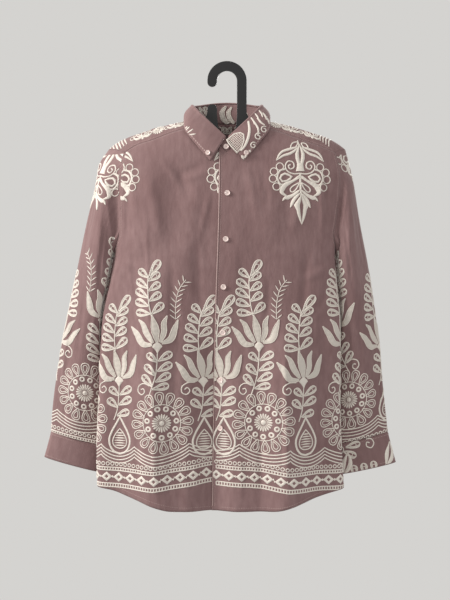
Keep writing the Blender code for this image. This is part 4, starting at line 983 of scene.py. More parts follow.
class Needlework:
    """Raised thread on one surface."""

    # How far a place may be drawn in at the cloth's edge, and the least face that is kept.
    drawn_in = 0.4
    least_face = 0.02
    # Sections across a cord, a satin filling and one side of a slit filling: shares of the half
    # width, and of the height.
    cord_shares = (-1.0, -0.5, 0.5, 1.0)
    satin_shares = (-1.0, -0.78, -0.3, 0.3, 0.78, 1.0)
    satin_lifts = (-0.2, 0.72, 1.0, 1.0, 0.72, -0.2)
    slit_shares = (0.0, 0.3, 0.72, 1.0)
    slit_lifts = (-0.1, 0.9, 0.8, -0.2)

    def __init__(self, surface: Surface, lean: float = 0.0, across: float = 1.0, paced: bool = False) -> None:
        """Start with no thread.

        Args:
            surface: the cloth it is sewn on.
            lean: slope of the cloth's own upright, as x for each z.
            across: 1, or -1 where a falls towards the viewer's right.
            paced: whether the surface's coordinates are longer than the cloth under them.
        """
        self.surface, self.lean, self.across, self.paced = surface, lean, across, paced
        self.parts = MeshParts()
        self.spot = Spot(0.0, 0.0)
        self.girdle = 0.0
        self.pace = (1.0, 1.0)

    def at(self, spot: Spot, girdle: float = 0.0) -> "Needlework":
        """Place what is sewn next.

        Args:
            spot: the motif's origin, size and turn.
            girdle: slope down from the middle of the surface, for bands round a sleeve.

        Returns:
            This needlework.
        """
        self.spot, self.girdle = spot, girdle
        if self.paced:
            self.pace = self.surface.pace(spot.a, spot.b)
        return self

    def on_cloth(self, places: Array) -> tuple[Array, Array]:
        """Coordinates on the cloth of places in the motif."""
        spot, turn = self.spot, math.radians(self.spot.turn)
        x, y = places[..., 0] * spot.size * (-1.0 if spot.mirror else 1.0), places[..., 1] * spot.size
        x, y = x * math.cos(turn) - y * math.sin(turn), x * math.sin(turn) + y * math.cos(turn)
        stretch = math.hypot(1.0, self.lean)
        if self.girdle:
            return spot.a + x, spot.b + y - self.girdle * np.abs(spot.a + x)
        a = spot.a + self.across * x * stretch / self.pace[0]
        return a, spot.b + (y - self.lean * x) / stretch / self.pace[1]

    def sew(self, grid: Array, lifts: Array, slot: int = 0) -> None:
        """Sew a grid of places at heights over the cloth, cut off where the cloth ends."""
        wanted = self.on_cloth(grid)
        a, b = self.surface.limit(*wanted)
        moved = (np.hypot(a - wanted[0], b - wanted[1]) > self.drawn_in).ravel()
        found = self.surface.sample(a, b)
        normals = unit(found[..., 3:])
        points = found[..., :3] + normals * np.broadcast_to(lifts, a.shape)[..., None]
        faces = grid_faces(*a.shape)
        corners = np.stack((a, b), axis=-1).reshape(-1, 2)[faces]
        one, two = corners[:, 2] - corners[:, 0], corners[:, 3] - corners[:, 1]
        kept = np.abs(one[:, 0] * two[:, 1] - one[:, 1] * two[:, 0]) > self.least_face
        faces = faces[kept & (moved[faces].sum(axis=1) < 3)]
        if not len(faces):
            return
        flat = points.reshape(-1, 3)
        spans = np.cross(flat[faces[:, 2]] - flat[faces[:, 0]], flat[faces[:, 3]] - flat[faces[:, 1]])
        if float((spans * normals.reshape(-1, 3)[faces[:, 0]]).sum()) < 0.0:
            faces = faces[:, ::-1]
        run = np.linalg.norm(np.diff(grid[:, grid.shape[1] // 2], axis=0), axis=-1)
        along = np.concatenate(([0.0], np.cumsum(run)))
        wide = np.linalg.norm(grid - grid[:, :1], axis=-1)
        used, index = np.unique(faces, return_inverse=True)
        places = np.stack((wide, np.broadcast_to(along[:, None], wide.shape)), axis=-1).reshape(-1, 2)
        self.parts.add(flat[used], index.reshape(faces.shape), places[used], slot)

    def cord(
        self, path: Array, width: float = 1.7, height: float = 0.75, closed: bool = False, slot: int = 0
    ) -> None:
        """Sew a raised line of thread along a path."""
        path = np.asarray(path, dtype=float)
        if closed:
            path = np.vstack((path, path[:1]))
        slope = np.gradient(path, axis=0)
        if closed:
            slope[0] = slope[-1] = path[1] - path[-2]
        across = left_of(slope) * width / 2.0
        shares = np.array(self.cord_shares)
        lifts = np.array((SUNK, height, height, SUNK))
        self.sew(path[:, None] + across[:, None] * shares[None, :, None], lifts, slot)

    def curve(self, points: Sequence[Sequence[float]], width: float = 1.7, pitch: float = 2.2) -> None:
        """Sew a raised line of thread along a smooth curve through points."""
        line = curve_through(points)
        length = path_length(points)
        self.cord(np.array([line(t) for t in np.linspace(0.0, 1.0, max(4, int(length / pitch)))]), width)

    def fill(self, line: Array, half: Array, height: float, slit: float, slot: int = 0) -> None:
        """Sew satin stitch either side of a line, with a bare slit along its middle if one is given."""
        if not slit:
            shares = np.array(self.satin_shares)
            lifts = height * np.array(self.satin_lifts)
            self.sew(line[:, None] + half[:, None] * shares[None, :, None], lifts, slot)
            return
        opened = slit * np.clip(np.sin(np.pi * np.linspace(0.0, 1.0, len(line))) * 1.4 - 0.35, 0.0, 1.0)
        for side in (-1.0, 1.0):
            steps = np.array(self.slit_shares)
            shares = side * (opened[:, None] + (1.0 - opened)[:, None] * steps[None])
            lifts = height * np.array(self.slit_lifts)
            self.sew(line[:, None] + half[:, None] * shares[..., None], lifts, slot)

    def satin(
        self, blade: Blade, shape: Shape = Shape.LEAF, height: float = 1.0, slit: float = 0.0, slot: int = 0
    ) -> None:
        """Sew a blade filled with satin stitch."""
        self.fill(*blade_lines(blade, shape), height, slit, slot)

    def band(
        self,
        points: Sequence[Sequence[float]],
        halves: Sequence[float],
        height: float = 1.1,
        slit: float = 0.0,
        edged: bool = False,
    ) -> None:
        """Sew a satin band of changing width along a smooth curve.

        Args:
            points: places on the curve.
            halves: half widths at even steps along it.
            height: relief of the thread.
            slit: share of the width left bare in the middle.
            edged: outline it, about a duller filling.
        """
        curve = curve_through(points)
        length = path_length(points)
        t = np.linspace(0.0, 1.0, int(np.clip(length / 1.8, 8, 26)))
        line = np.array([curve(v) for v in t])
        across = left_of(np.gradient(line, axis=0))
        half = across * np.interp(t, np.linspace(0.0, 1.0, len(halves)), halves)[:, None]
        self.fill(line, half, height, slit, 2 if edged else 0)
        if edged:
            outline = np.vstack((line + half * 0.9, (line - half * 0.9)[::-1]))
            self.cord(outline, 1.5, height + 0.15, closed=True)

    def loop(self, blade: Blade, shape: Shape = Shape.LEAF, share: float = 1.0, width: float = 1.7) -> None:
        """Sew the outline of a blade."""
        line, half = blade_lines(blade, shape, share)
        self.cord(np.vstack((line + half, (line - half)[::-1])), width, closed=True)

    def leaf(self, blade: Blade, shape: Shape = Shape.DROP) -> None:
        """Sew a leaf as an outline with a second one inside it, about a bare slit."""
        self.satin(blade, shape, 0.45, slit=0.34, slot=2)
        self.loop(blade, shape, 1.0, 2.0)
        self.loop(blade, shape, 0.46, 1.3)

    def ring(self, x: float, y: float, radius: float, width: float = 1.7, count: int = 0) -> None:
        """Sew a circle."""
        self.cord(circle(x, y, radius, count or int(np.clip(radius * 2.2, 9, 60))), width, closed=True)

    def dot(self, x: float, y: float, radius: float) -> None:
        """Sew a small filled round."""
        turns = circle(0.0, 0.0, 1.0, 9)
        turns = np.vstack((turns, turns[:1]))
        shares = np.array((1.0, 0.7, 0.05)) * radius
        grid = np.array((x, y)) + turns[:, None] * shares[None, :, None]
        self.sew(grid, np.array((SUNK, 1.0, 1.3)))

    def curl(
        self, x: float, y: float, radius: float, first: float, turns: float = 1.35, width: float = 1.9
    ) -> None:
        """Sew a spiral that winds in to its middle."""
        t = np.linspace(0.0, 1.0, 26)
        angle = math.radians(first) + t * turns * 2.0 * np.pi
        reach = radius * (1.0 - 0.8 * t)
        self.cord(np.stack((x + reach * np.cos(angle), y + reach * np.sin(angle)), axis=-1), width)

    def herringbone(self, points: Sequence[Sequence[float]], pitch: float = 10.2, barb: float = 14.0) -> None:
        """Sew a stem with pairs of slanting barbs."""
        line = curve_through(points)
        length = path_length(points)
        self.cord(np.array([line(t) for t in np.linspace(0.0, 1.0, max(4, int(length / 4.0)))]), 1.4)
        for k in range(int(length / pitch) + 1):
            t = min(k * pitch / length, 1.0)
            foot, ahead = line(t), line(min(t + 0.02, 1.0)) - line(max(t - 0.02, 0.0))
            way = math.atan2(ahead[1], ahead[0])
            for side in (-1.0, 1.0):
                tip = foot + barb * np.array((math.cos(way + side * 0.86), math.sin(way + side * 0.86)))
                self.satin(Blade(*foot, *tip, 1.0), Shape.CRESCENT, 0.8)

    def dashes(self, path: Array, pitch: float = 3.2, share: float = 0.72, width: float = 0.7) -> None:
        """Sew a line of plain seam stitches along a path of even steps on the cloth."""
        path = np.asarray(path, dtype=float)
        walked = np.concatenate(([0.0], np.cumsum(np.linalg.norm(np.diff(path, axis=0), axis=1))))
        for k in range(int(walked[-1] / pitch)):
            ends = np.array((k * pitch, (k + share / 2.0) * pitch, (k + share) * pitch))
            dash = np.stack([np.interp(ends, walked, path[:, axis]) for axis in range(2)], axis=-1)
            across = unit(np.array((-(dash[2] - dash[0])[1], (dash[2] - dash[0])[0]))) * width / 2.0
            shares = np.array((-1.0, 0.0, 1.0))
            lifts = np.array(((SUNK, 0.05, SUNK), (0.0, 0.38, 0.0), (SUNK, 0.05, SUNK)))
            self.sew(dash[:, None] + across[None, None] * shares[None, :, None], lifts, slot=1)

    def make(self, name: str, finishes: "Finishes") -> bpy.types.Object:
        """Make all the thread one object."""
        return self.parts.make(name, [finishes.thread, finishes.stitch, finishes.satin], turn=False)


def upright(x: float, y: float) -> tuple[float, float]:
    """Place of the tall sprig's upper half, where the short and more upright one has it."""
    return x + 0.16 * y - 6.0, y


class Motifs(Needlework):
    """The embroidered motifs, each about its own origin in millimetres."""

    sprig_leaves = (
        Blade(-14, 131, 4, 159, 7.2), Blade(-16, 121, 4, 135.5, 6.5), Blade(-15, 103, 5, 117, 6.6),
        Blade(-14, 84, 6.5, 98.5, 6.8), Blade(-9, 60.5, 11, 80, 6.8),
        Blade(-17, 127, -35, 142, 6.4), Blade(-17, 107.5, -39.5, 123, 6.6), Blade(-17, 90, -41, 105, 6.8),
        Blade(-16, 75, -41, 84.5, 7.0), Blade(-12, 60.5, -39.5, 63.7, 6.6),
        Blade(2.6, -25.4, 26.5, -10.5, 6.6), Blade(1, -44, 26.5, -30.4, 6.8),
        Blade(-2.3, -63.4, 24, -49.3, 6.8), Blade(-7.3, -76.6, 21, -70, 6.4),
        Blade(0, -27, -17, -12.2, 6.2), Blade(-2.3, -51.8, -21.3, -33, 6.4),
        Blade(-8, -71.6, -26.2, -51.8, 6.4),
    )
    short_leaves = tuple(
        Blade(*upright(blade.x, blade.y), *upright(blade.tip_x, blade.tip_y), blade.half)
        for blade in sprig_leaves[:10]
    ) + sprig_leaves[10:12] + (
        Blade(-3, -64, 22, -55, 6.6), Blade(0, -27, -17, -12.2, 6.2), Blade(-2.3, -48.8, -20.3, -33, 6.4),
    )
    ring_places = ((38, -49), (49, -58.5), (51, -72), (44.5, -86.5))
    inner_curl = (
        (0, -61), (12, -62), (24, -57), (28, -48), (22, -38.5),
        (13, -41), (12, -50), (19, -53), (22, -47), (18, -45),
    )
    outer_curl = ((26, -53), (38, -57), (43, -68), (37, -82), (20, -78), (2, -66))
    bean = ((38, -71), (35, -65), (29, -62), (22, -64), (16, -67.5), (20, -72), (26, -76), (34, -76.5))

    def sprig(self, short: bool = False, curled: bool = True) -> None:
        """Sew a leafy sprig with an open flower, its origin at the flower's foot.

        Args:
            short: sew the shorter one, which stands more upright and has no spike beside it.
            curled: sew its curl.
        """
        upper = [(-9.7, 56), (-14.7, 78), (-17, 105), (-17, 125), (-14, 134)]
        self.curve([upright(x, y) for x, y in upper] if short else upper, 2.2)
        stem = [(1, -9), (0, -32), (-2.3, -52), (-9, -75), (-14.7, -91)]
        self.curve(stem[:3] + [(-9, -72)] if short else stem, 2.2)
        for blade in self.short_leaves if short else self.sprig_leaves:
            self.leaf(blade)
        self.band([(0, 9), (-3, 32), (-9, 58)], (2.4, 5.2, 7.4, 6.8, 3.8, 0.4), 1.0, edged=True)
        self.curve([(-2, 16), (-4, 33), (-8, 50)], 0.8)
        self.band([(-7, 8), (-19, 26), (-26, 42), (-34, 50)], (2.0, 5.0, 5.6, 4.2, 0.5), 1.0, edged=True)
        self.band([(6, 9), (12.5, 28), (12.5, 44), (18, 57)], (1.8, 4.8, 5.2, 4.4, 0.5), 1.0, edged=True)
        self.band([(-9, 4), (-24, 5), (-38, 24), (-49, 37)], (2.2, 5.4, 6.2, 4.8, 0.5), 1.0, edged=True)
        self.band([(9, 7), (24, 14), (31.5, 33), (37.5, 50)], (2.0, 5.6, 6.2, 4.6, 0.5), 1.0, edged=True)
        self.band([(0.5, 9), (0.7, 0), (1, -11)], (2.0, 7.0, 9.6, 5.6, 2.8, 0.8), 1.2)
        spiral = [
            (-13, -71), (-24, -66.8), (-33.5, -72), (-35, -82),
            (-28, -87.5), (-22.5, -82), (-25, -76.5), (-29.5, -78),
        ]
        if short:
            spiral = [
                (-14, 0), (-28, -1), (-38, -9), (-37, -19),
                (-29, -22), (-23.5, -15), (-28, -9.5), (-33, -13),
            ]
        if curled:
            self.curve(spiral, 2.3, 1.6)
        if not short:
            self.herringbone([(33, 50.5), (32.7, 70), (35.6, 93), (42, 110), (52, 123)])

    def daisy(self, radius: float, count: int = 22, hollow: float = 0.24) -> None:
        """Sew a daisy of narrow petals round a knot at the origin."""
        for turn in 2.0 * np.pi * np.arange(count) / count:
            c, s = math.cos(turn), math.sin(turn)
            inner = radius * hollow
            petal = Blade(inner * c, inner * s, radius * c, radius * s, radius * 2.0 / count)
            self.satin(petal, Shape.DROP, 0.8)
        self.dot(0.0, 0.0, radius * hollow)

    def rosette(self, loops: int = 16, inner: float = 33.0, outer: float = 57.0, beads: int = 11) -> None:
        """Sew a large rosette: a daisy, a circle of rings, a circle and a wreath of looped petals."""
        self.daisy(17.0, 20, 0.3)
        self.ring(0, 0, 34.0, 1.7)
        for x, y in circle(0, 0, 26.5, beads, 8.0):
            self.ring(x, y, 3.8, 3.6, 12)
        for turn in 2.0 * np.pi * np.arange(loops) / loops + 0.08:
            c, s = math.cos(turn), math.sin(turn)
            blade = Blade(inner * c, inner * s, outer * c, outer * s, 7.4)
            self.loop(blade, Shape.DROP, 1.0, 1.9)
            inside = Blade(38 * c, 38 * s, 53 * c, 53 * s, 3.9)
            self.loop(inside, Shape.DROP, 1.0, 1.6)

    def striped_drop(self) -> None:
        """Sew a teardrop with a smaller one and level stripes in it."""
        for places, width in (
            (((0, 32), (8, 18), (16, 4), (20.6, -10), (18, -24), (10, -33.5), (0, -36.5)), 4.0),
            (((0, 10), (7.5, 1.5), (12.5, -7), (14, -14), (12, -21), (6, -25.5), (0, -26.5)), 2.4),
        ):
            curve = curve_through(places)
            half = np.array([curve(t) for t in np.linspace(0.0, 1.0, 18)])
            self.cord(np.vstack((half, half[::-1][1:-1] * (-1.0, 1.0))), width, 1.0, closed=True)
        for y in np.arange(-21.0, 5.0, 4.6):
            half = 12.0 * math.sqrt(max(0.05, 1.0 - ((y + 13.0) / 21.0) ** 2))
            self.satin(Blade(-half, y, half, y, 1.3), Shape.CRESCENT, 0.8)

    def swags(
        self, low: float, high: float, peaks: Sequence[float], z_top: float, rise: Array, dip: float = 15.5
    ) -> None:
        """Sew four lines that hang in swags between peaks.

        Args:
            low: where they start.
            high: where they end.
            peaks: the peaks' places.
            z_top: height of the peaks over the origin.
            rise: places and heights by which the cloth's own border rises.
            dip: how far the swags hang.
        """
        x = np.arange(low, high, 2.2)
        share = np.zeros(len(x))
        for first, last in zip(peaks[:-1], peaks[1:]):
            t = np.clip((x - first) / (last - first), 0.0, 1.0)
            share = np.maximum(share, np.sin(np.pi * t) ** 0.75)
        level = z_top + np.interp(x, *rise)
        for k in range(4):
            self.cord(np.stack((x, level - dip * share - 6.2 * k), axis=-1), 2.4)

    def beads(self, low: float, high: float, y: float, rise: Array, pitch: float = 8.6) -> None:
        """Sew a chain of small rings."""
        for x in np.arange(low, high, pitch):
            self.ring(x, y + float(np.interp(x, *rise)), 3.1, 2.0, 9)

    def ladder(
        self, low: float, high: float, y: float, rise: Array, half: float = 2.7, pitch: float = 5.1
    ) -> None:
        """Sew two lines joined by short rungs."""
        x = np.arange(low, high, 2.6)
        level = y + np.interp(x, *rise)
        for side in (-1.0, 1.0):
            self.cord(np.stack((x, level + side * half), axis=-1), 2.3)
        for place in np.arange(low, high, pitch):
            middle = y + float(np.interp(place, *rise))
            rung = np.array(((place, middle - half), (place, middle), (place, middle + half)))
            self.cord(rung, 2.5, 0.65)

    def diamonds(self, low: float, high: float, y: float, rise: Array, pitch: float = 23.5) -> None:
        """Sew a row of diamonds with bare middles, joined at their points."""
        turns = np.radians(np.arange(0.0, 361.0, 30.0))
        edge = 1.0 / (np.abs(np.cos(turns)) + np.abs(np.sin(turns)))
        shape = np.stack((np.cos(turns) * edge, np.sin(turns) * edge), axis=-1)
        for x in np.arange(low, high, pitch):
            middle = np.array((x, y + float(np.interp(x, *rise))))
            sizes = np.array(((3.2, 3.2), (4.4, 4.2), (9.6, 8.0), (11.0, 9.2)))
            self.sew(middle + shape[:, None] * sizes[None], np.array((SUNK, 0.8, 0.8, SUNK)))
            for side in (-1.0, 1.0):
                points = [(x + side * 9.0, middle[1]), (x + side * pitch / 2.0, middle[1])]
                self.band(points, (0.6, 2.6), 0.8)

    def border(
        self, low: float, high: float, peaks: Sequence[float], rise: Sequence[Sequence[float]]
    ) -> None:
        """Sew the whole border: its origin is on the chain of rings."""
        table = np.array(rise, dtype=float).T
        self.swags(low, high, peaks, 36.0, table)
        self.beads(low, high, 0.0, table)
        self.ladder(low, high, -9.3, table)
        self.diamonds(low, high, -24.0, table)
        self.ladder(low, high, -39.5, table, 3.2)

    def medallion(self, tail: bool = True) -> None:
        """Sew the tall medallion of leaves, curls and rings, its origin at its top."""
        self.loop(Blade(-4, -1, -18, -14, 4.6), Shape.LEAF, 1.0, 2.4)
        self.loop(Blade(3, -3, 16, -12, 4.0), Shape.LEAF, 1.0, 2.4)
        self.curve([(-4, 2), (-2, -6), (-1, -12)], 2.6)
        for side in (-1, 1):
            wing = sided(side, ((3, -11), (18, -19), (33, -25), (45, -38)))
            self.band(wing, (1.6, 5.4, 7.0, 6.6, 4.4, 0.5), 1.0, slit=0.26)
            self.curve(sided(side, self.inner_curl), 2.7, 1.6)
            self.curve(sided(side, self.outer_curl), 3.8, 1.9)
            self.cord(sided(side, self.bean), 4.4, 0.9, closed=True)
            for x, y in sided(side, self.ring_places):
                self.ring(x, y, 6.8, 2.1, 18)
            hook = sided(side, ((1, -69), (17, -77), (31, -86), (35, -96), (23, -105)))
            self.band(hook, (1.0, 2.2, 3.2, 4.6, 5.0, 3.0, 0.6))
            self.loop(Blade(side * 2, -79, side * 18, -95, 4.4), Shape.DROP, 1.0, 2.6)
            self.band(sided(side, ((1, -92), (14, -102), (31, -109))), (1.0, 2.6, 2.8, 3.4, 4.2, 0.6))
            self.band(sided(side, ((1, -98), (12, -110), (19, -125))), (1.0, 2.6, 3.0, 3.2, 2.6, 0.6))
            self.satin(Blade(side * 26, -103, side * 34, -113, 2.2), Shape.LEAF)
        self.curve([(0, -60), (0, -80), (1, -104)], 4.2)
        self.band([(-1, -5), (0, -30), (0, -43)], (0.8, 5.0, 9.4, 9.0, 6.0), 1.2, slit=0.22)
        self.band([(0, -42), (0, -50), (0, -57)], (6.0, 6.6, 8.6), 1.2)
        if tail:
            halves = (0.8, 8.0, 15.4, 10.4, 8.4, 5.0, 0.5)
            self.band([(1.5, -102), (2, -128), (2.5, -156)], halves, 1.2, slit=0.24)


@dataclass
class Finishes:
    """The finishes of the whole garment."""

    cloth: bpy.types.Material
    thread: bpy.types.Material
    stitch: bpy.types.Material
    satin: bpy.types.Material
    button: bpy.types.Material
    hole: bpy.types.Material
    plastic: bpy.types.Material

    @classmethod
    def make(cls) -> "Finishes":
        """Make every material once."""
        return cls(
            cloth=ClothFinish().make(),
            thread=ThreadFinish("cream_thread", (0.74, 0.68, 0.61)).make(),
            # The seam thread's colour is real on the seam stitches and also paints the highlight along the
            # lit edge of the front's closing.
            stitch=ThreadFinish("seam_thread", (0.46, 0.33, 0.31)).make(),
            satin=ThreadFinish("satin_filling", (0.61, 0.555, 0.495), 0.6, 700.0, 0.6).make(),
            button=PlainFinish("pearl_button", (0.82, 0.66, 0.62), 0.22, 0.5).make(),
            hole=PlainFinish("button_hole", (0.22, 0.12, 0.11), 0.8).make(),
            plastic=PlainFinish("black_plastic", (0.010, 0.010, 0.011), 0.38, 0.1).make(),
        )


@dataclass
class Panel:
    """One cut piece of cloth and what is sewn on it."""

    node: str
    item: bpy.types.Object
    surface: Surface | None
    flat: tuple[float, float]
    extras: list[bpy.types.Object] = field(default_factory=list)


def half_area(item: bpy.types.Object) -> float:
    """Area of one side of a shell, in square metres."""
    return sum(face.area for face in item.data.polygons) / 2.0


@dataclass
class BodyPanels:
    """Fronts, back and yoke."""

    form: BodyForm
    finishes: Finishes
    rows: int = 170
    seam_flat: float = 2.0
    seam_fade: float = 22.0
    seam_gap: float = 1.2
    fold_gap: float = 0.8
    hem_gap: float = 1.5
    front_creases: tuple[Crease, ...] = (
        Crease(-196, -180, -188, -330, 9, -2.2),
        Crease(-180, -175, -168, -300, 12, 2.0),
        Crease(-150, -190, -118, -330, 16, 2.6),
        Crease(-100, -175, -60, -262, 14, -2.4),
        Crease(-128, -170, -82, -228, 9, 1.5),
        Crease(-38, -188, -94, -206, 12, -2.0),
        Crease(-34, -204, -88, -216, 9, 1.3),
        Crease(-150, -178, -144, -370, 44, 6.0),
        Crease(-92, -176, -98, -380, 38, -5.0),
        Crease(66, -172, 80, -350, 46, 4.5),
        Crease(-30, -232, -52, -330, 10, 1.6),
        Crease(-60, -320, -48, -470, 15, -2.2),
        Crease(-104, -352, -92, -520, 13, -2.6),
        Crease(-176, -340, -160, -470, 12, -2.4),
        Crease(-196, -420, -186, -640, 12, 2.2),
        Crease(-84, -520, -90, -700, 12, 2.0),
        Crease(-110, -640, -106, -815, 10, -2.2),
        Crease(-158, -600, -166, -790, 11, -2.0),
        Crease(-62, -690, -58, -822, 9, 1.8),
        Crease(-205, -362, -120, -392, 13, 1.8),
        Crease(-208, -378, -150, -440, 12, -1.8),
        Crease(32, -176, 60, -300, 13, 1.8),
        Crease(62, -180, 78, -280, 10, -1.4),
        Crease(140, -200, 118, -330, 15, 2.2),
        Crease(182, -182, 189, -318, 5, -3.0),
        Crease(173, -190, 178, -330, 6, 2.0),
        Crease(196, -230, 194, -345, 6, -2.0),
        Crease(24, -330, 40, -520, 14, -2.0),
        Crease(150, -330, 138, -470, 12, -2.2),
        Crease(78, -380, 70, -560, 12, -2.0),
        Crease(40, -500, 46, -690, 14, 1.8),
        Crease(86, -560, 90, -740, 9, 1.6),
        Crease(140, -560, 148, -780, 12, -2.6),
        Crease(60, -640, 64, -820, 11, -2.2),
        Crease(165, -430, 168, -640, 9, 1.6),
        Crease(206, -372, 130, -402, 13, 1.8),
        Crease(200, -392, 160, -470, 10, -1.6),
        Crease(24, -700, 26, -822, 8, 1.4),
        Crease(-137, -430, -130, -822, 8, 3.4),
        Crease(104, -470, 108, -822, 8, 3.2),
        Crease(-150, -250, -140, -520, 7, 1.6),
        Crease(188, -205, 191, -330, 3.5, -2.6),
    )
    back_creases: tuple[Crease, ...] = (
        Crease(-150, -200, -120, -380, 15, 2.6),
        Crease(-100, -205, -84, -360, 12, -2.2),
        Crease(-40, -200, -30, -420, 16, 2.2),
        Crease(20, -205, 12, -400, 12, -2.0),
        Crease(90, -205, 70, -400, 14, 2.4),
        Crease(150, -200, 122, -360, 14, -2.4),
        Crease(-190, -360, -120, -420, 14, 2.2),
        Crease(190, -360, 130, -430, 14, 2.2),
        Crease(-170, -430, -180, -700, 13, 2.0),
        Crease(-90, -460, -84, -760, 13, -2.2),
        Crease(10, -480, 4, -800, 14, 2.0),
        Crease(110, -450, 120, -790, 12, -2.2),
        Crease(180, -440, 190, -700, 12, 2.0),
        Crease(-20, -620, -24, -820, 10, -1.8),
        Crease(84, -640, 88, -820, 10, 1.8),
    )
    yoke_creases: tuple[Crease, ...] = (
        Crease(-110, -40, -160, 10, 10, 1.2),
        Crease(96, -50, 176, -20, 9, -1.3),
        Crease(104, -66, 186, -46, 8, 1.3),
        Crease(-60, 90, 70, 96, 12, -1.0),
        Crease(-170, 40, -120, 110, 12, 1.3),
        Crease(150, 30, 110, 110, 12, -1.3),
    )

    def front_surface(self, over: bool) -> Surface:
        """Sample one front.

        Args:
            over: the layer that lies over the other.

        Returns:
            The surface by s and z.
        """
        form = self.form
        s = np.arange(-30.0, 290.0, STEP) if over else np.arange(-290.0, 32.0, STEP)
        z = np.arange(-845.0, -95.0, STEP)
        points = np.zeros((len(z), len(s), 3))
        for i, height in enumerate(z):
            lift = crease_height(s, height, self.front_creases) + ripple(s, height, 0.35, 1.0 + over)
            inside = 1.0 - smoothstep((height + 185.0) / 30.0)
            seam = abs(form.side_seam_s(1 if over else -1, height, True))
            lift = lift * inside * smoothstep((seam - self.seam_flat - np.abs(s)) / self.seam_fade)
            if height > form.underarm_z:
                lift = lift * smoothstep((187.0 - np.abs(s)) / 10.0 + 0.6)
            if over:
                away = s - form.closing_x(height) - form.under_edge
                lift = lift * smoothstep((away + 30.0) / 26.0)
                lift = lift + form.layer_lift * (1.0 - smoothstep(away / form.lift_fade))
            else:
                away = form.closing_x(height) - form.under_edge - s
                lift = lift * smoothstep((away + 6.0) / 22.0)
            for side, pick in ((-1, s < 0.0), (1, s >= 0.0)):
                points[i, pick] = form.row(side, float(height), s[pick], True, lift[pick])
        surface = Surface(s, z, points)
        self.bound_front(surface, over)
        return surface

    def bound_front(self, surface: Surface, over: bool) -> None:
        """Say where the front's cloth ends, for what is sewn on it."""
        form, side = self.form, 1 if over else -1
        armhole = np.array([form.armhole_plane(side, True)(k / 30.0) for k in range(31)])
        seam = np.array([form.side_seam_s(side, float(z), True) for z in surface.b])
        curve = np.interp(surface.b, armhole[:, 1], armhole[:, 0])
        outer = np.where(surface.b > form.underarm_z, curve, seam)
        edge = np.array([form.closing_x(float(z)) for z in surface.b])
        if over:
            surface.low_a = edge - form.under_edge + self.fold_gap
            surface.high_a = outer - self.seam_gap
        else:
            surface.low_a = outer + self.seam_gap
            surface.high_a = edge + form.under_edge - self.fold_gap
        surface.low_b = np.array([form.hem_z(float(s)) for s in surface.a]) + self.hem_gap
        line = np.array([form.yoke_seam_line(side)(k / 20.0) for k in range(21)])
        s_line = np.array([form.s_at(x, z, True) for x, z in line])
        order = np.argsort(s_line)
        surface.high_b = np.interp(surface.a, s_line[order], line[order, 1]) - self.seam_gap

    def front_grid(self, over: bool) -> tuple[Array, Array]:
        """Places of a front's panel and of the strip along its closing."""
        form, side = self.form, 1 if over else -1
        edge = form.under_edge * side

        def strip_point(offset: float, v: float) -> Array:
            """Place in the closing's strip, at an offset from the button line and a share of its height."""
            top = form.neck_edge(offset, True)[1]
            z = form.hem_z(offset) + (top - form.hem_z(offset)) * v
            return np.array((form.closing_x(z) + offset, z))

        line = form.yoke_seam_line(side)

        def yoke_seam(fraction: float) -> Array:
            """The seam with the yoke."""
            x, z = line(fraction)
            return np.array((form.s_at(x, z, True), z))

        def neck_seam(fraction: float) -> Array:
            """The neck's edge."""
            x = edge + (line(0.0)[0] - edge) * fraction
            z = form.neck_edge(x, True)[1]
            return np.array((form.s_at(x, z, True), z))

        def side_seam(fraction: float) -> Array:
            """The side seam, from the hem up."""
            z = form.hem_side_z + (form.underarm_z - form.hem_side_z) * fraction
            return np.array((form.side_seam_s(side, z, True), z))

        def low(fraction: float) -> Array:
            """The hem."""
            start = strip_point(edge, 0.0)[0]
            s = start + (side_seam(0.0)[0] - start) * fraction
            return np.array((s, form.hem_z(s - (start - edge) * (1.0 - fraction))))

        top = chain(neck_seam, yoke_seam, 5 / 14)
        outer = chain(side_seam, form.armhole_plane(side, True), 14 / 22)
        panel = patch(low, top, lambda v: strip_point(edge, v), outer, 80, self.rows)
        offsets = np.linspace(-form.under_edge, form.under_edge, 13)
        levels = np.linspace(0.0, 1.0, self.rows + 1)
        strip = np.array([[strip_point(float(c), float(v)) for c in offsets] for v in levels])
        return (panel if over else panel[:, ::-1]), strip

    def build_front(self, over: bool) -> Panel:
        """Build one front.

        Args:
            over: the layer that lies over the other.

        Returns:
            The panel.
        """
        surface = self.front_surface(over)
        panel, strip = self.front_grid(over)
        grid = np.concatenate((strip, panel[:, 1:]) if over else (panel[:, :-1], strip), axis=1)
        found = surface.sample(grid[..., 0], grid[..., 1])
        parts = MeshParts()
        parts.add_shell(found[..., :3], unit(found[..., 3:]), grid, WALL)
        name = "front_left" if over else "front_right"
        return Panel(name, parts.make(name + "_cloth", [self.finishes.cloth]), surface, (0.290, 0.760))

    def build_back(self) -> Panel:
        """Build the back panel below the yoke.

        Returns:
            The panel.
        """
        form = self.form
        s = np.arange(-270.0, 271.0, STEP)
        z = np.arange(-845.0, -160.0, STEP)
        points = np.zeros((len(z), len(s), 3))
        for i, height in enumerate(z):
            lift = crease_height(s, height, self.back_creases) + ripple(s, height, 0.35, 4.0)
            lift = lift * (1.0 - smoothstep((height + 212.0) / 18.0))
            for side, pick in ((-1, s < 0.0), (1, s >= 0.0)):
                seam = abs(form.side_seam_s(side, float(height), False))
                room = seam - self.seam_flat - np.abs(s[pick])
                kept = lift[pick] * smoothstep(room / self.seam_fade)
                points[i, pick] = form.row(side, float(height), s[pick], False, kept)
        surface = Surface(s, z, points, flip=True)

        def edge(side: int) -> Curve:
            """Side seam and armhole of one side, from the hem up."""

            def side_seam(fraction: float) -> Array:
                """The side seam, from the hem up."""
                height = form.hem_side_z + (form.underarm_z - form.hem_side_z) * fraction
                return np.array((form.side_seam_s(side, height, False), height))

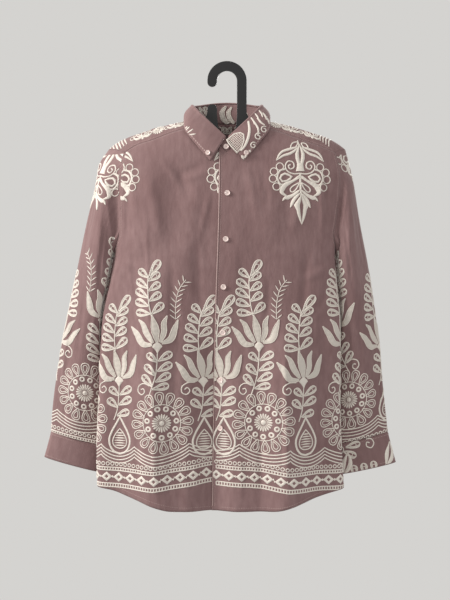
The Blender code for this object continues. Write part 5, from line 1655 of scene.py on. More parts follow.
            return chain(side_seam, form.armhole_plane(side, False), 14 / 20)

        def low(fraction: float) -> Array:
            """The hem."""
            left, right = (form.side_seam_s(side, form.hem_side_z, False) for side in (-1, 1))
            at = left + (right - left) * fraction
            return np.array((at, form.hem_z(at) - 3.0 * max(0.0, 1.0 - abs(at) / 160.0)))

        def high(fraction: float) -> Array:
            """The seam with the yoke."""
            x = form.yoke_back_x * (2.0 * fraction - 1.0)
            return np.array((form.s_at(x, form.yoke_back_z, False), form.yoke_back_z))

        grid = patch(low, high, edge(-1), edge(1), 150, self.rows)
        found = surface.sample(grid[..., 0], grid[..., 1])
        parts = MeshParts()
        parts.add_shell(found[..., :3], unit(found[..., 3:]), grid, WALL)
        item = parts.make("back_cloth", [self.finishes.cloth])
        for side, bounds in ((-1, surface.low_a), (1, surface.high_a)):
            hole = np.array([form.armhole_plane(side, False)(k / 30.0) for k in range(31)])
            seam = np.array([form.side_seam_s(side, float(v), False) for v in z])
            outer = np.where(z > form.underarm_z, np.interp(z, hole[:, 1], hole[:, 0]), seam)
            bounds[:] = outer - side * self.seam_gap
        surface.low_b = np.array([form.hem_z(float(v)) for v in s]) + self.hem_gap
        surface.high_b = np.full(len(s), form.yoke_back_z - self.seam_gap)
        return Panel("back", item, surface, (0.500, 0.640))

    def yoke_points(self, grid: Array) -> tuple[Array, Array]:
        """Outer points of the yoke at places x and q, and the height of its soft creases there."""
        form = self.form
        points = np.array([[form.over_shoulder(float(x), float(q)) for x, q in row] for row in grid])
        x, q = grid[..., 0], grid[..., 1]
        lift = crease_height(x, q, self.yoke_creases)
        return points, lift

    def build_yoke(self) -> Panel:
        """Build the yoke: a wing over each shoulder to the front seam, and the part behind.

        Returns:
            The panel.
        """
        form = self.form

        def crest(side: int, fraction: float) -> Array:
            """The shoulder ridge."""
            reach = form.shoulder_tip_x + (form.neck_half - form.shoulder_tip_x) * fraction
            return np.array((side * reach, 0.0))

        def neck_behind(fraction: float) -> Array:
            """The neck's edge behind."""
            x = -form.neck_half * math.cos(math.pi * fraction)
            depth, height = form.neck_edge(x, False)
            full = min(depth / form.flat_depth(x, height, False), 1.0)
            return np.array((x, form.back_fall * math.asin(full)))

        def upper(fraction: float) -> Array:
            """Ridge, neck and ridge from side to side."""
            place = fraction * 26.0
            if place <= 9.0:
                return crest(-1, place / 9.0)
            if place >= 17.0:
                return crest(1, (26.0 - place) / 9.0)
            return neck_behind((place - 9.0) / 8.0)

        def lower(fraction: float) -> Array:
            """The seam with the back."""
            x = form.yoke_back_x * (2.0 * fraction - 1.0)
            return np.array((x, form.q_at(x, form.yoke_back_z, False)))

        def arm_behind(side: int) -> Curve:
            """Armhole of one side behind the ridge."""

            def at(fraction: float) -> Array:
                """The point at a share of the armhole."""
                q = form.armhole_corner(side, False)[1] * fraction
                return np.array((form.yoke_armhole(side, q), q))

            return at

        parts = MeshParts()
        behind = patch(upper, lower, arm_behind(-1), arm_behind(1), 130, 25)
        self.add_yoke(parts, behind)
        for side in (-1, 1):
            line = form.yoke_seam_line(side)
            corner = form.armhole_corner(side, True)
            start_angle = math.radians(form.neck_seam_angle)

            def front_seam(fraction: float, line: Curve = line) -> Array:
                """The front seam."""
                x, z = line(1.0 - fraction)
                return np.array((x, form.q_at(x, z, True)))

            def arm_front(fraction: float, side: int = side, corner: Array = corner) -> Array:
                """The armhole in front of the ridge."""
                q = corner[1] * (1.0 - fraction)
                return np.array((form.yoke_armhole(side, q), q))

            def neck_front(fraction: float, side: int = side, start: float = start_angle) -> Array:
                """The neck's edge in front of the ridge."""
                x = side * form.neck_half * math.sin(start + (math.pi / 2.0 - start) * fraction)
                return np.array((x, form.q_at(x, form.neck_edge(x, True)[1], True)))

            def ridge_line(fraction: float, side: int = side) -> Array:
                """The shoulder ridge."""
                return crest(side, fraction)

            wing = patch(front_seam, ridge_line, arm_front, neck_front, 45, 20)
            self.add_yoke(parts, wing[:, ::-1] if side > 0 else wing)
        item = parts.make("yoke_cloth", [self.finishes.cloth])
        x = np.arange(-232.0, 233.0, 4.0)
        q = np.arange(-112.0, 168.0, 4.0)
        grid = np.stack(np.meshgrid(x, q), axis=-1)
        points, lift = self.yoke_points(grid)
        plain = Surface(x, q, points)
        surface = Surface(x, q, points + plain.values[..., 3:] * lift[..., None])
        surface.high_b = np.full(len(x), 150.0)
        surface.low_b = np.array([self.yoke_front_q(float(v)) for v in x])
        surface.low_a = np.array([form.yoke_armhole(-1, float(v)) for v in q]) + self.seam_gap
        surface.high_a = np.array([form.yoke_armhole(1, float(v)) for v in q]) - self.seam_gap
        return Panel("yoke", item, surface, (0.470, 0.240))

    def yoke_front_q(self, x: float) -> float:
        """Where what is sewn on the yoke ends at its front seam, at x."""
        form, side = self.form, -1 if x < 0 else 1
        line = np.array([form.yoke_seam_line(side)(k / 12.0) for k in range(13)])
        z = float(np.interp(abs(x), np.abs(line[:, 0]), line[:, 1]))
        return form.q_at(x, z, True) + self.seam_gap

    def add_yoke(self, parts: MeshParts, grid: Array) -> None:
        """Add one part of the yoke."""
        points, lift = self.yoke_points(grid)
        normals = grid_normals(points)
        if normals[points.shape[0] // 2, points.shape[1] // 3, 2] < 0.0:
            normals = -normals
        rows = np.arange(len(lift))
        fade = np.clip(np.minimum(rows, rows[::-1]) / 4.0, 0.0, 1.0)
        points = points + normals * (lift * fade[:, None])[..., None]
        parts.add_shell(points, normals, grid, WALL)


@dataclass(eq=False)
class Sleeve:
    """One sleeve with its placket strip and cuff."""

    form: BodyForm
    side: int
    rings: tuple[SleeveRing, ...]
    end: CuffEnd
    creases: tuple[Crease, ...]
    finishes: Finishes
    folds: tuple[SleeveFold, ...] = (
        SleeveFold(-82, 0.10, 1.05, 42, 8),
        SleeveFold(-140, 0.15, 0.95, 34, -5),
        SleeveFold(75, 0.15, 1.00, 45, 6),
    )
    blend: float = 0.15
    seam_gap: float = 0.3
    clearance: float = 3.5
    under_clearance: float = 3.0
    overlap_angle: float = 20.0
    open_angle: float = 70.0
    length: float = 598.0
    girth: float = 1.2
    groove: float = 5.0
    groove_end: float = 0.085
    fold_fade: float = 0.15
    low_z: float = -540.0
    low_fade: float = 100.0
    free_z: float = -305.0
    free_fade: float = 30.0
    opening: float = 260.0
    placket_angle: float = 97.0
    placket_half: float = 11.0
    placket_start: float = 0.79
    placket_share: float = 0.2
    placket_lift: float = 0.6
    cuff_half: float = 55.0
    cuff_length: float = 55.0
    cuff_girth: float = 0.7
    cuff_lap_angle: float = 290.0

    def __post_init__(self) -> None:
        """Keep the table's columns as arrays."""
        self.columns = {name: column(self.rings, name) for name in SleeveRing._fields}

    @property
    def word(self) -> str:
        """The side's name."""
        return Side(self.side).name.lower()

    @lru_cache(maxsize=None)
    def ring_row(self, t: float) -> tuple[Array, Array, float]:
        """Outer point, inner point and half depth of the plain sleeve at t."""
        row = {n: smooth(t, self.columns["t"], self.columns[n]) for n in SleeveRing._fields[1:]}
        outer = np.array((self.side * row["outer_x"], row["middle_y"], row["outer_z"]))
        inner = np.array((self.side * row["inner_x"], row["middle_y"], row["inner_z"]))
        return outer, inner, row["half_depth"]

    def ring(self, t: float, angle: float) -> Array:
        """Point of the plain sleeve."""
        outer, inner, depth = self.ring_row(t)
        turn = math.radians(angle)
        level = (outer + inner) / 2.0 + (outer - inner) / 2.0 * math.cos(turn)
        return level + np.array((0.0, depth * math.sin(turn), 0.0))

    def outward(self, t: float, angle: float) -> Array:
        """Direction out of the plain sleeve."""
        outer, inner, depth = self.ring_row(t)
        width = np.linalg.norm(outer - inner) / 2.0
        turn = math.radians(angle)
        across = unit(outer - inner) * math.cos(turn) / width
        return unit(across + np.array((0.0, math.sin(turn) / depth, 0.0)))

    def place(self, t: float, angle: float, lift: float = 0.0) -> Array:
        """Outer point of the sleeve, which starts on the armhole and stays clear of the body."""
        if abs(angle) > 180.0:
            angle = (angle + 180.0) % 360.0 - 180.0
        point = self.ring(t, angle)
        meet = 1.0 - float(smoothstep(t / self.blend))
        if meet > 0.0:
            points, angles = self.form.armhole_ring(self.side)
            start = np.array([np.interp(angle, angles, points[:, axis]) for axis in range(3)])
            point = point + (start - self.ring(0.0, angle)) * meet
        total = lift
        for fold in self.folds:
            away = abs((angle - fold.angle + 180.0) % 360.0 - 180.0) / fold.half_angle
            if away < 1.0:
                grown = smoothstep((t - fold.start) / self.fold_fade)
                grown = grown * smoothstep((fold.end - t) / self.fold_fade)
                total += fold.height * float(grown) * 0.5 * (1.0 + math.cos(math.pi * away))
        if t < self.groove_end and angle < 0.0:
            down = math.sin(math.pi * t / self.groove_end)
            total -= self.groove * down * math.sin(math.radians(-angle)) ** 2
        point = point + self.outward(t, angle) * total
        if t > 0.0:
            near = float(smoothstep((point[2] - self.low_z) / self.low_fade))
            clear = min(self.seam_gap + t * self.opening, self.clearance + self.under_clearance * near)
            depths = [point[1] + step * near for step in (-14.0, 0.0, 7.0, 14.0)]
            reach = max(self.form.limit(self.side, depth, point[2]) for depth in depths)
            short = reach + clear - abs(point[0])
            if reach and short > 0.0:
                point[0] += self.side * short * float(smoothstep((self.free_z - point[2]) / self.free_fade))
        return point

    def grid(self, rows: Array, angles: Array) -> Array:
        """Outer points with the sleeve's creases, rows by angles."""
        turned = angles[None, :] * self.girth
        along = rows[:, None] * self.length
        seam = smoothstep(rows / 0.05)[:, None] * smoothstep((1.0 - rows) / 0.04)[:, None]
        lift = crease_height(turned, along, self.creases)
        lift = lift + crease_height(turned + 360.0 * self.girth, along, self.creases)
        lift = (lift + ripple(turned, along, 0.25, 7.0 + self.side)) * seam
        return np.array([
            [self.place(float(t), float(angle), float(lift[i, j])) for j, angle in enumerate(angles)]
            for i, t in enumerate(rows)
        ])

    def build(self) -> Panel:
        """Build the sleeve as an open tube from the armhole to the cuff.

        Returns:
            The panel, with its surface by w and z.
        """
        angles = np.linspace(-180.0, 180.0, 97)[:-1]
        rows = np.concatenate((np.linspace(0.0, 0.06, 9)[:-1], np.linspace(0.06, 1.0, 118)))
        points = self.grid(rows, angles)
        wrapped = np.concatenate((points[:, -2:], points, points[:, :2]), axis=1)
        normals = grid_normals(wrapped)[:, 2:-2]
        if normals[60, 24, 1] > 0.0:
            normals = -normals
        places = np.stack(np.meshgrid(angles * self.girth, rows * self.length), axis=-1)
        parts = MeshParts()
        parts.add_shell(points, normals, places, WALL, ring=True)
        node = f"sleeve_{self.word}"
        item = parts.make(node + "_cloth", [self.finishes.cloth])
        closed = np.concatenate((points, points[:, :1]), axis=1)
        return Panel(node, item, self.unroll(closed), (0.400, 0.600))

    def unroll(self, points: Array) -> Surface:
        """Sample the sleeve by the run round it from its outer edge, and by height.

        Args:
            points: rows by angles from -180 to 180 by 3.

        Returns:
            The surface, bounded by the armhole, the underarm and the cuff.
        """
        levels = np.arange(-712.0, -160.0, 3.0)
        around = np.arange(-150.0, 151.0, 3.0)
        found = np.zeros((len(levels), len(around), 3))
        low, high = np.zeros(len(levels)), np.zeros(len(levels))
        middle = points.shape[1] // 2
        for i, z in enumerate(levels):
            line, inside = [], []
            for j in range(points.shape[1]):
                heights = -points[:, j, 2]
                line.append([np.interp(-z, heights, points[:, j, axis]) for axis in range(3)])
                inside.append(heights[0] <= -z <= heights[-1])
            line = np.array(line)
            steps = np.hypot(np.diff(line[:, 0]), np.diff(line[:, 1]))
            walked = np.concatenate(([0.0], np.cumsum(np.maximum(steps, 1e-4))))
            walked -= walked[middle]
            found[i] = np.stack([np.interp(around, walked, line[:, axis]) for axis in range(3)], axis=-1)
            good = walked[np.array(inside)] if any(inside) else np.zeros(1)
            low[i], high[i] = good.min() + 2.5, good.max() - 2.5
        surface = Surface(around, levels, found, flip=self.side < 0)
        surface.low_a, surface.high_a = low, high
        return surface

    def build_placket(self) -> Panel:
        """Build the strip beside the sleeve's slit.

        Returns:
            The panel.
        """
        rows, columns = 26, 8
        points = np.zeros((rows + 1, columns + 1, 3))
        places = np.zeros((rows + 1, columns + 1, 2))
        for i in range(rows + 1):
            v = i / rows
            half = self.placket_half * min(1.0, 0.35 + v / 0.12)
            for j in range(columns + 1):
                angle = self.placket_angle + half * (2.0 * j / columns - 1.0)
                t = self.placket_start + self.placket_share * v
                places[i, j] = (angle * self.girth, t * self.length)
                lift = float(crease_height(places[i, j, 0], places[i, j, 1], self.creases))
                points[i, j] = self.place(t, angle, self.form.layer_lift + self.placket_lift + lift)
        normals = grid_normals(points)
        if normals[rows // 2, columns // 2, 1] < 0.0:
            normals = -normals
        parts = MeshParts()
        parts.add_shell(points, normals, places, WALL)
        node = f"sleeve_placket_{self.word}"
        return Panel(node, parts.make(node + "_cloth", [self.finishes.cloth]), None, (0.026, 0.125))

    def cuff_place(self, v: float, angle: float, lift: float) -> Array:
        """Outer point of the cuff: v runs from the sleeve at 0 to the cuff's edge at 1."""
        turn = math.radians(angle)
        top = self.ring(1.0, angle)
        outer = np.array((self.side * self.end.outer_x, self.end.middle_y, self.end.outer_z))
        inner = np.array((self.side * self.end.inner_x, self.end.middle_y, self.end.inner_z))
        low = (outer + inner) / 2.0 + (outer - inner) / 2.0 * math.cos(turn)
        low = low + np.array((0.0, self.end.half_depth * math.sin(turn), 0.0))
        start = unit(low - top) * self.seam_gap
        point = top + start + (low - top - start) * v
        across = self.side * math.cos(turn) * self.end.half_depth
        across = np.array((across, math.sin(turn) * self.cuff_half, 0.0))
        point = point + unit(across) * lift
        reach = self.form.limit(self.side, point[1], point[2])
        if reach and abs(point[0]) < reach + self.clearance:
            point[0] = self.side * (reach + self.clearance)
        return point

    def build_cuff(self) -> Panel:
        """Build the cuff as a band whose ends overlap behind.

        Returns:
            The panel.
        """
        rows, columns = 16, 120
        points = np.zeros((rows + 1, columns + 1, 3))
        places = np.zeros((rows + 1, columns + 1, 2))
        for j in range(columns + 1):
            turned = (360.0 + self.overlap_angle) * j / columns
            lap = self.form.layer_lift * float(smoothstep((turned - self.cuff_lap_angle) / 60.0))
            for i in range(rows + 1):
                v = i / rows
                wave = float(ripple(np.array(turned * self.cuff_girth), np.array(v * 50.0), 0.18, 9.0))
                wave *= math.sin(math.pi * v)
                points[i, j] = self.cuff_place(v, self.open_angle + turned, lap + wave)
                places[i, j] = (turned * self.cuff_girth, v * self.cuff_length)
        normals = grid_normals(points)
        if normals[rows // 2, int(columns * 200 / 380), 1] > 0.0:
            normals = -normals
        parts = MeshParts()
        parts.add_shell(points, normals, places, WALL)
        node = f"cuff_{self.word}"
        item = parts.make(node + "_cloth", [self.finishes.cloth])
        steps = np.linalg.norm(np.diff(points, axis=1), axis=2)
        walked = np.concatenate((np.zeros((rows + 1, 1)), np.cumsum(steps, axis=1)), axis=1)
        turns = np.linspace(0.0, 360.0 + self.overlap_angle, columns + 1)
        edge = np.argmin(np.abs(turns - self.cuff_lap_angle))
        walked -= walked[:, edge : edge + 1]
        around = np.arange(-200.0, 60.0, 2.5)
        even = np.stack([
            np.stack([np.interp(around, walked[i], points[i, :, axis]) for axis in range(3)], axis=-1)
            for i in range(rows + 1)
        ])[::-1]
        levels = np.linspace(-self.cuff_length, 0.0, rows + 1)
        surface = Surface(around, levels, even, flip=self.side < 0)
        surface.low_a, surface.high_a = walked[::-1, 0] + 2.0, walked[::-1, -1] - 2.0
        surface.low_b[:], surface.high_b[:] = -53.5, -1.5
        return Panel(node, item, surface, (0.270, 0.062))


@dataclass
class Collar:
    """Collar band and turned-down collar."""

    form: BodyForm
    finishes: Finishes
    top_back_z: float = -54.0
    top_side_z: float = -68.0
    top_drop: float = 71.0
    top_half: float = 65.5
    top_front: float = 47.0
    top_back: float = 44.0
    overlap_angle: float = 10.7
    end_angle: float = 178.0
    arch_radius: float = 3.0
    arch_out: float = 0.9
    arch_up: float = 0.65
    gap: float = 4.2
    bulge: float = 5.0
    band_gap: float = 0.3
    lap_angle: float = 125.0
    lap_fade: float = 40.0
    edge: tuple[LeafPoint, ...] = (
        LeafPoint(0, 0, 57, -99),
        LeafPoint(35, 46, 51, -98.5),
        LeafPoint(62, 72, 30, -97),
        LeafPoint(90, 81, 3, -92),
        LeafPoint(112, 81.5, -25, -108),
        LeafPoint(128, 79, -40, -121),
        LeafPoint(150, 58, -52, -149),
        LeafPoint(178, 30.5, -56, -181),
    )

    def outward(self, angle: float) -> Array:
        """Level direction out of the neck."""
        turn = math.radians(angle)
        depth = self.form.neck_front if math.cos(turn) < 0.0 else self.form.neck_back
        return unit(np.array((math.sin(turn) / self.form.neck_half, math.cos(turn) / depth, 0.0)))

    def top(self, angle: float) -> Array:
        """Point of the collar band's upper edge."""
        turn = math.radians(angle)
        share = abs(math.sin(turn))
        if math.cos(turn) < 0.0:
            depth = -self.top_front
            z = self.top_side_z - self.top_drop * (1.0 - share) ** self.form.neck_curve
        else:
            depth = self.top_back
            z = self.top_back_z + (self.top_side_z - self.top_back_z) * share * share
        return np.array((self.top_half * math.sin(turn), depth * abs(math.cos(turn)), z))

    def stand_place(self, angle: float, v: float) -> Array:
        """Outer point of the collar band."""
        turn = math.radians(angle)
        x = self.form.neck_half * math.sin(turn)
        front = math.cos(turn) < 0.0
        depth, height = self.form.neck_edge(x, front)
        low = np.array((x, -depth if front else depth, height + self.band_gap))
        lap = self.form.layer_lift * float(smoothstep((angle - self.lap_angle) / self.lap_fade))
        return low + (self.top(angle) - low) * v + self.outward(angle) * lap

    def build_stand(self) -> Panel:
        """Build the collar band.

        Returns:
            The panel.
        """
        reach = 180.0 + self.overlap_angle
        angles = np.linspace(-reach, reach, 181)
        levels = np.linspace(0.0, 1.0, 11)
        points = np.array([[self.stand_place(float(a), float(v)) for a in angles] for v in levels])
        normals = grid_normals(points)
        if normals[5, 90, 1] < 0.0:
            normals = -normals
        places = np.stack(np.meshgrid(angles * 1.02, levels * 38.0), axis=-1)
        parts = MeshParts()
        parts.add_shell(points, normals, places, WALL)
        item = parts.make("collar_stand_cloth", [self.finishes.cloth])
        return Panel("collar_stand", item, None, (0.420, 0.045))

    def push_clear(self, point: Array) -> Array:
        """Move a point out of the shoulders and chest until it is clear of them."""
        x, y, z = point
        front = y < 0.0
        fall = self.form.fall(front)
        center = self.form.ridge_height(float(x), bool(front)) - fall
        depth = self.form.flat_depth(float(x), float(min(z, self.form.neck_side_z)), bool(front))
        rise = max(z - center, 0.0)
        far = math.hypot(y / (depth + self.gap), rise / (fall + self.gap))
        if far >= 1.0:
            return point
        return np.array((x, y / far, center + rise / far if rise else z))

    def profile(self, angle: float) -> list[Array]:
        """Outer points of the collar at one angle: an arch over the band, then the fall."""
        outward = self.outward(angle)
        center = self.top(angle) + outward * self.arch_out + np.array((0.0, 0.0, self.arch_up))
        points = []
        for turn in np.radians(np.linspace(180.0, 0.0, 10)):
            normal = outward * math.cos(turn) + np.array((0.0, 0.0, math.sin(turn)))
            points.append(center + normal * self.arch_radius)
        side = -1 if angle < 0 else 1
        places = column(self.edge, "angle")
        x, y, z = (smooth(abs(angle), places, column(self.edge, name)) for name in ("x", "y", "z"))
        end = self.push_clear(np.array((side * x, y, z)))
        start = points[-1]
        for share in np.linspace(0.0, 1.0, 15)[1:]:
            bow = outward * self.bulge * math.sin(math.pi * share)
            points.append(self.push_clear(start + (end - start) * share + bow))
        return points

    def build_leaf(self) -> Panel:
        """Build the turned-down collar.

        Returns:
            The panel, with a surface by x and z as seen from the front.
        """
        angles = np.linspace(-self.end_angle, self.end_angle, 145)
        lines = np.array([self.profile(float(a)) for a in angles]).transpose(1, 0, 2)
        normals = grid_normals(lines)
        if normals[-3, 72, 1] < 0.0:
            normals = -normals
        places = np.stack(np.meshgrid(angles * 1.2, np.arange(len(lines)) * 3.4), axis=-1)
        parts = MeshParts()
        parts.add_shell(lines, normals, places, WALL)
        item = parts.make("collar_leaf_cloth", [self.finishes.cloth])
        self.edge_surface = Surface(angles, np.arange(float(len(lines))), lines)
        if self.edge_surface.values[-3, 72, 4] < 0.0:
            self.edge_surface.values[..., 3:] *= -1.0
        return Panel("collar_leaf", item, front_view(item, (-84.0, 84.0), (-184.0, -70.0)), (0.480, 0.075))


def front_view(
    item: bpy.types.Object, x_range: tuple[float, float], z_range: tuple[float, float], inside: bool = False
) -> Surface:
    """Sample a piece as seen from the front, by x and z.

    Args:
        item: the piece.
        x_range: lowest and highest x.
        z_range: lowest and highest z.
        inside: look at the far wall from within the neck.

    Returns:
        The surface, bounded in each row by where the piece is.
    """
    corners = [vertex.co for vertex in item.data.vertices]
    tree = BVHTree.FromPolygons(corners, [tuple(face.vertices) for face in item.data.polygons])
    x, z = np.arange(*x_range, 1.5), np.arange(*z_range, 1.5)
    depth = np.full((len(z), len(x)), np.nan)
    for i, height in enumerate(z):
        for j, across in enumerate(x):
            start = Vector((across * MM, 0.0 if inside else -1.0, height * MM))
            hit = tree.ray_cast(start, Vector((0.0, 1.0, 0.0)))
            if hit[0] is not None and (inside or hit[0].y < 0.0):
                depth[i, j] = hit[0].y / MM
    known = ~np.isnan(depth)
    for i in range(len(z)):
        if known[i].any():
            depth[i] = np.interp(x, x[known[i]], depth[i][known[i]])
    filled = known.any(axis=1)
    for j in range(len(x)):
        depth[:, j] = np.interp(z, z[filled], depth[filled, j])
    grid_x, grid_z = np.meshgrid(x, z)
    surface = Surface(x, z, np.stack((grid_x, depth, grid_z), axis=-1))
    for i in range(len(z)):
        if known[i].any():
            surface.low_a[i], surface.high_a[i] = x[known[i]][0] + 0.8, x[known[i]][-1] - 0.8
    surface.low_b[:], surface.high_b[:] = z[filled][0], z[filled][-1]
    return surface


class ButtonPlace(NamedTuple):
    """Where a front button sits."""

    node: str
    s: float
    z: float


@dataclass
class Buttons:
    """The buttons, each on the cloth that carries it."""

    form: BodyForm
    finishes: Finishes
    collar: Collar
    sleeves: tuple[Sleeve, Sleeve]
    radius: float = 5.2
    small_radius: float = 4.6
    thick: float = 2.4
    seat: float = 0.5
    rim: float = 1.3
    dish: float = 0.75
    hole: float = 0.46
    hole_reach: float = 0.95
    hole_depth: float = 0.72
    thread_half: float = 0.24
    thread_rise: float = 0.34
    around: int = 36
    places: tuple[ButtonPlace, ...] = (
        ButtonPlace("button_front_2", 0.5, -240),
        ButtonPlace("button_front_3", -2.3, -325),
        ButtonPlace("button_front_4", -6.6, -413),
        ButtonPlace("button_front_5", -7.5, -497),
        ButtonPlace("button_front_6", -12.0, -585),
        ButtonPlace("button_front_7", -12.0, -674),
    )
    neck_x: float = -1.8
    neck_z: float = -153.5

    def build(self, node: str, point: Array, normal: Array, radius: float) -> bpy.types.Object:
        """Build one button: a turned disc with a raised rim, four holes and its thread.

        Args:
            node: the CAD node it stands for.
            point: the cloth's outer point under it.
            normal: direction out of the cloth.
            radius: the button's radius.

        Returns:
            The button.
        """
        half = self.thick / 2.0
        rim = radius - self.rim
        table = np.array((
            (0.0, -half), (radius - 0.7, -half), (radius - 0.15, -half + 0.4), (radius, 0.0),
            (radius - 0.15, half - 0.5), (radius - 0.6, half - 0.05), (radius - 0.9, half),
            (rim, half - 0.25), (rim - 0.5, half - 0.65), (rim - 1.2, half - self.dish),
            (0.0, half - self.dish),
        ))
        turns = 2.0 * np.pi * np.arange(self.around) / self.around
        heights = np.repeat(table[:, 1:], self.around, axis=1)
        rings = np.stack((table[:, :1] * np.cos(turns), table[:, :1] * np.sin(turns), heights), axis=-1)
        parts = MeshParts()
        parts.add(rings, grid_faces(len(table), self.around, ring=True), rings[..., :2])
        reach, floor = self.hole_reach, half - self.hole_depth
        spots = [(reach * math.cos(t), reach * math.sin(t)) for t in np.radians((45, 135, 225, 315))]
        turns = turns[::3]
        index = np.arange(len(turns))
        center = np.full(len(turns), len(turns))
        for x, y in spots:
            edge = (x + self.hole * np.cos(turns), y + self.hole * np.sin(turns), np.full(len(turns), floor))
            fan = np.concatenate((np.stack(edge, axis=-1), [[x, y, floor]]))
            faces = np.stack((index, (index + 1) % len(turns), center, center), axis=-1)
            parts.add(fan, faces, fan[:, :2], slot=1)
        for a, b in ((0, 2), (1, 3)):
            line = np.linspace(0.0, 1.0, 7)[:, None]
            start, stop = np.array(spots[a]), np.array(spots[b])
            path = start + (stop - start) * line
            across = unit(np.array((-(stop - start)[1], (stop - start)[0])))
            height = floor + self.thread_rise * np.sin(np.pi * line)
            strip = np.stack([
                np.concatenate((path + across * off, height + up), axis=1)
                for off, up in ((-self.thread_half, -0.1), (0.0, 0.12), (self.thread_half, -0.1))
            ], axis=1)
            parts.add(strip, grid_faces(7, 3), strip[..., :2], slot=2)
        finishes = [self.finishes.button, self.finishes.hole, self.finishes.thread]
        item = parts.make(node + "_turned", finishes, turn=False)
        turn = Vector((0.0, 0.0, 1.0)).rotation_difference(Vector(normal.tolist()))
        place = turn.to_matrix().to_4x4()
        place.translation = Vector(((point + normal * (self.seat + half)) * MM).tolist())
        item.data.transform(place)
        item.data.set_sharp_from_angle(angle=math.radians(50.0))
        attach(item, "root")
        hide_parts(node)
        return item

    def build_all(self, over: Surface) -> None:
        """Build every button."""
        for spot in self.places:
            found = over.sample(np.array(spot.s), np.array(spot.z))
            self.build(spot.node, found[:3], unit(found[3:]), self.radius)
        angle = 180.0 - math.degrees(math.asin(self.neck_x / self.form.neck_half))
        low, high = self.collar.stand_place(angle, 0.0), self.collar.stand_place(angle, 1.0)
        around = self.collar.stand_place(angle + 3.0, 0.5) - self.collar.stand_place(angle - 3.0, 0.5)
        seat = low + (high - low) * (self.neck_z - low[2]) / (high[2] - low[2])
        self.build("button_front_1", seat, unit(np.cross(high - low, around)), self.radius)
        for side, node in ((-1, "button_collar_right"), (1, "button_collar_left")):
            box_low, box_high = (Vector(v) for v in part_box(node))
            middle = np.array((box_low + box_high) / 2.0) / MM
            line, before = self.collar.profile(side * 170.0), self.collar.profile(side * 160.0)
            normal = unit(np.cross((line[-3] - before[-3]) * side, line[-1] - line[-5]))
            point = middle - normal * (self.seat + self.thick / 2.0)
            self.build(node, point, normal, self.small_radius)
        for sleeve in self.sleeves:
            angle = sleeve.open_angle + sleeve.overlap_angle / 2.0
            lift = self.form.layer_lift
            seat = sleeve.cuff_place(0.5, angle, lift)
            around = sleeve.cuff_place(0.5, angle + 4.0, lift) - sleeve.cuff_place(0.5, angle - 4.0, lift)
            along = sleeve.cuff_place(1.0, angle, lift) - sleeve.cuff_place(0.0, angle, lift)
            normal = unit(np.cross(around, along)) * -sleeve.side
            self.build(f"button_cuff_{sleeve.word}", seat, normal, self.radius)


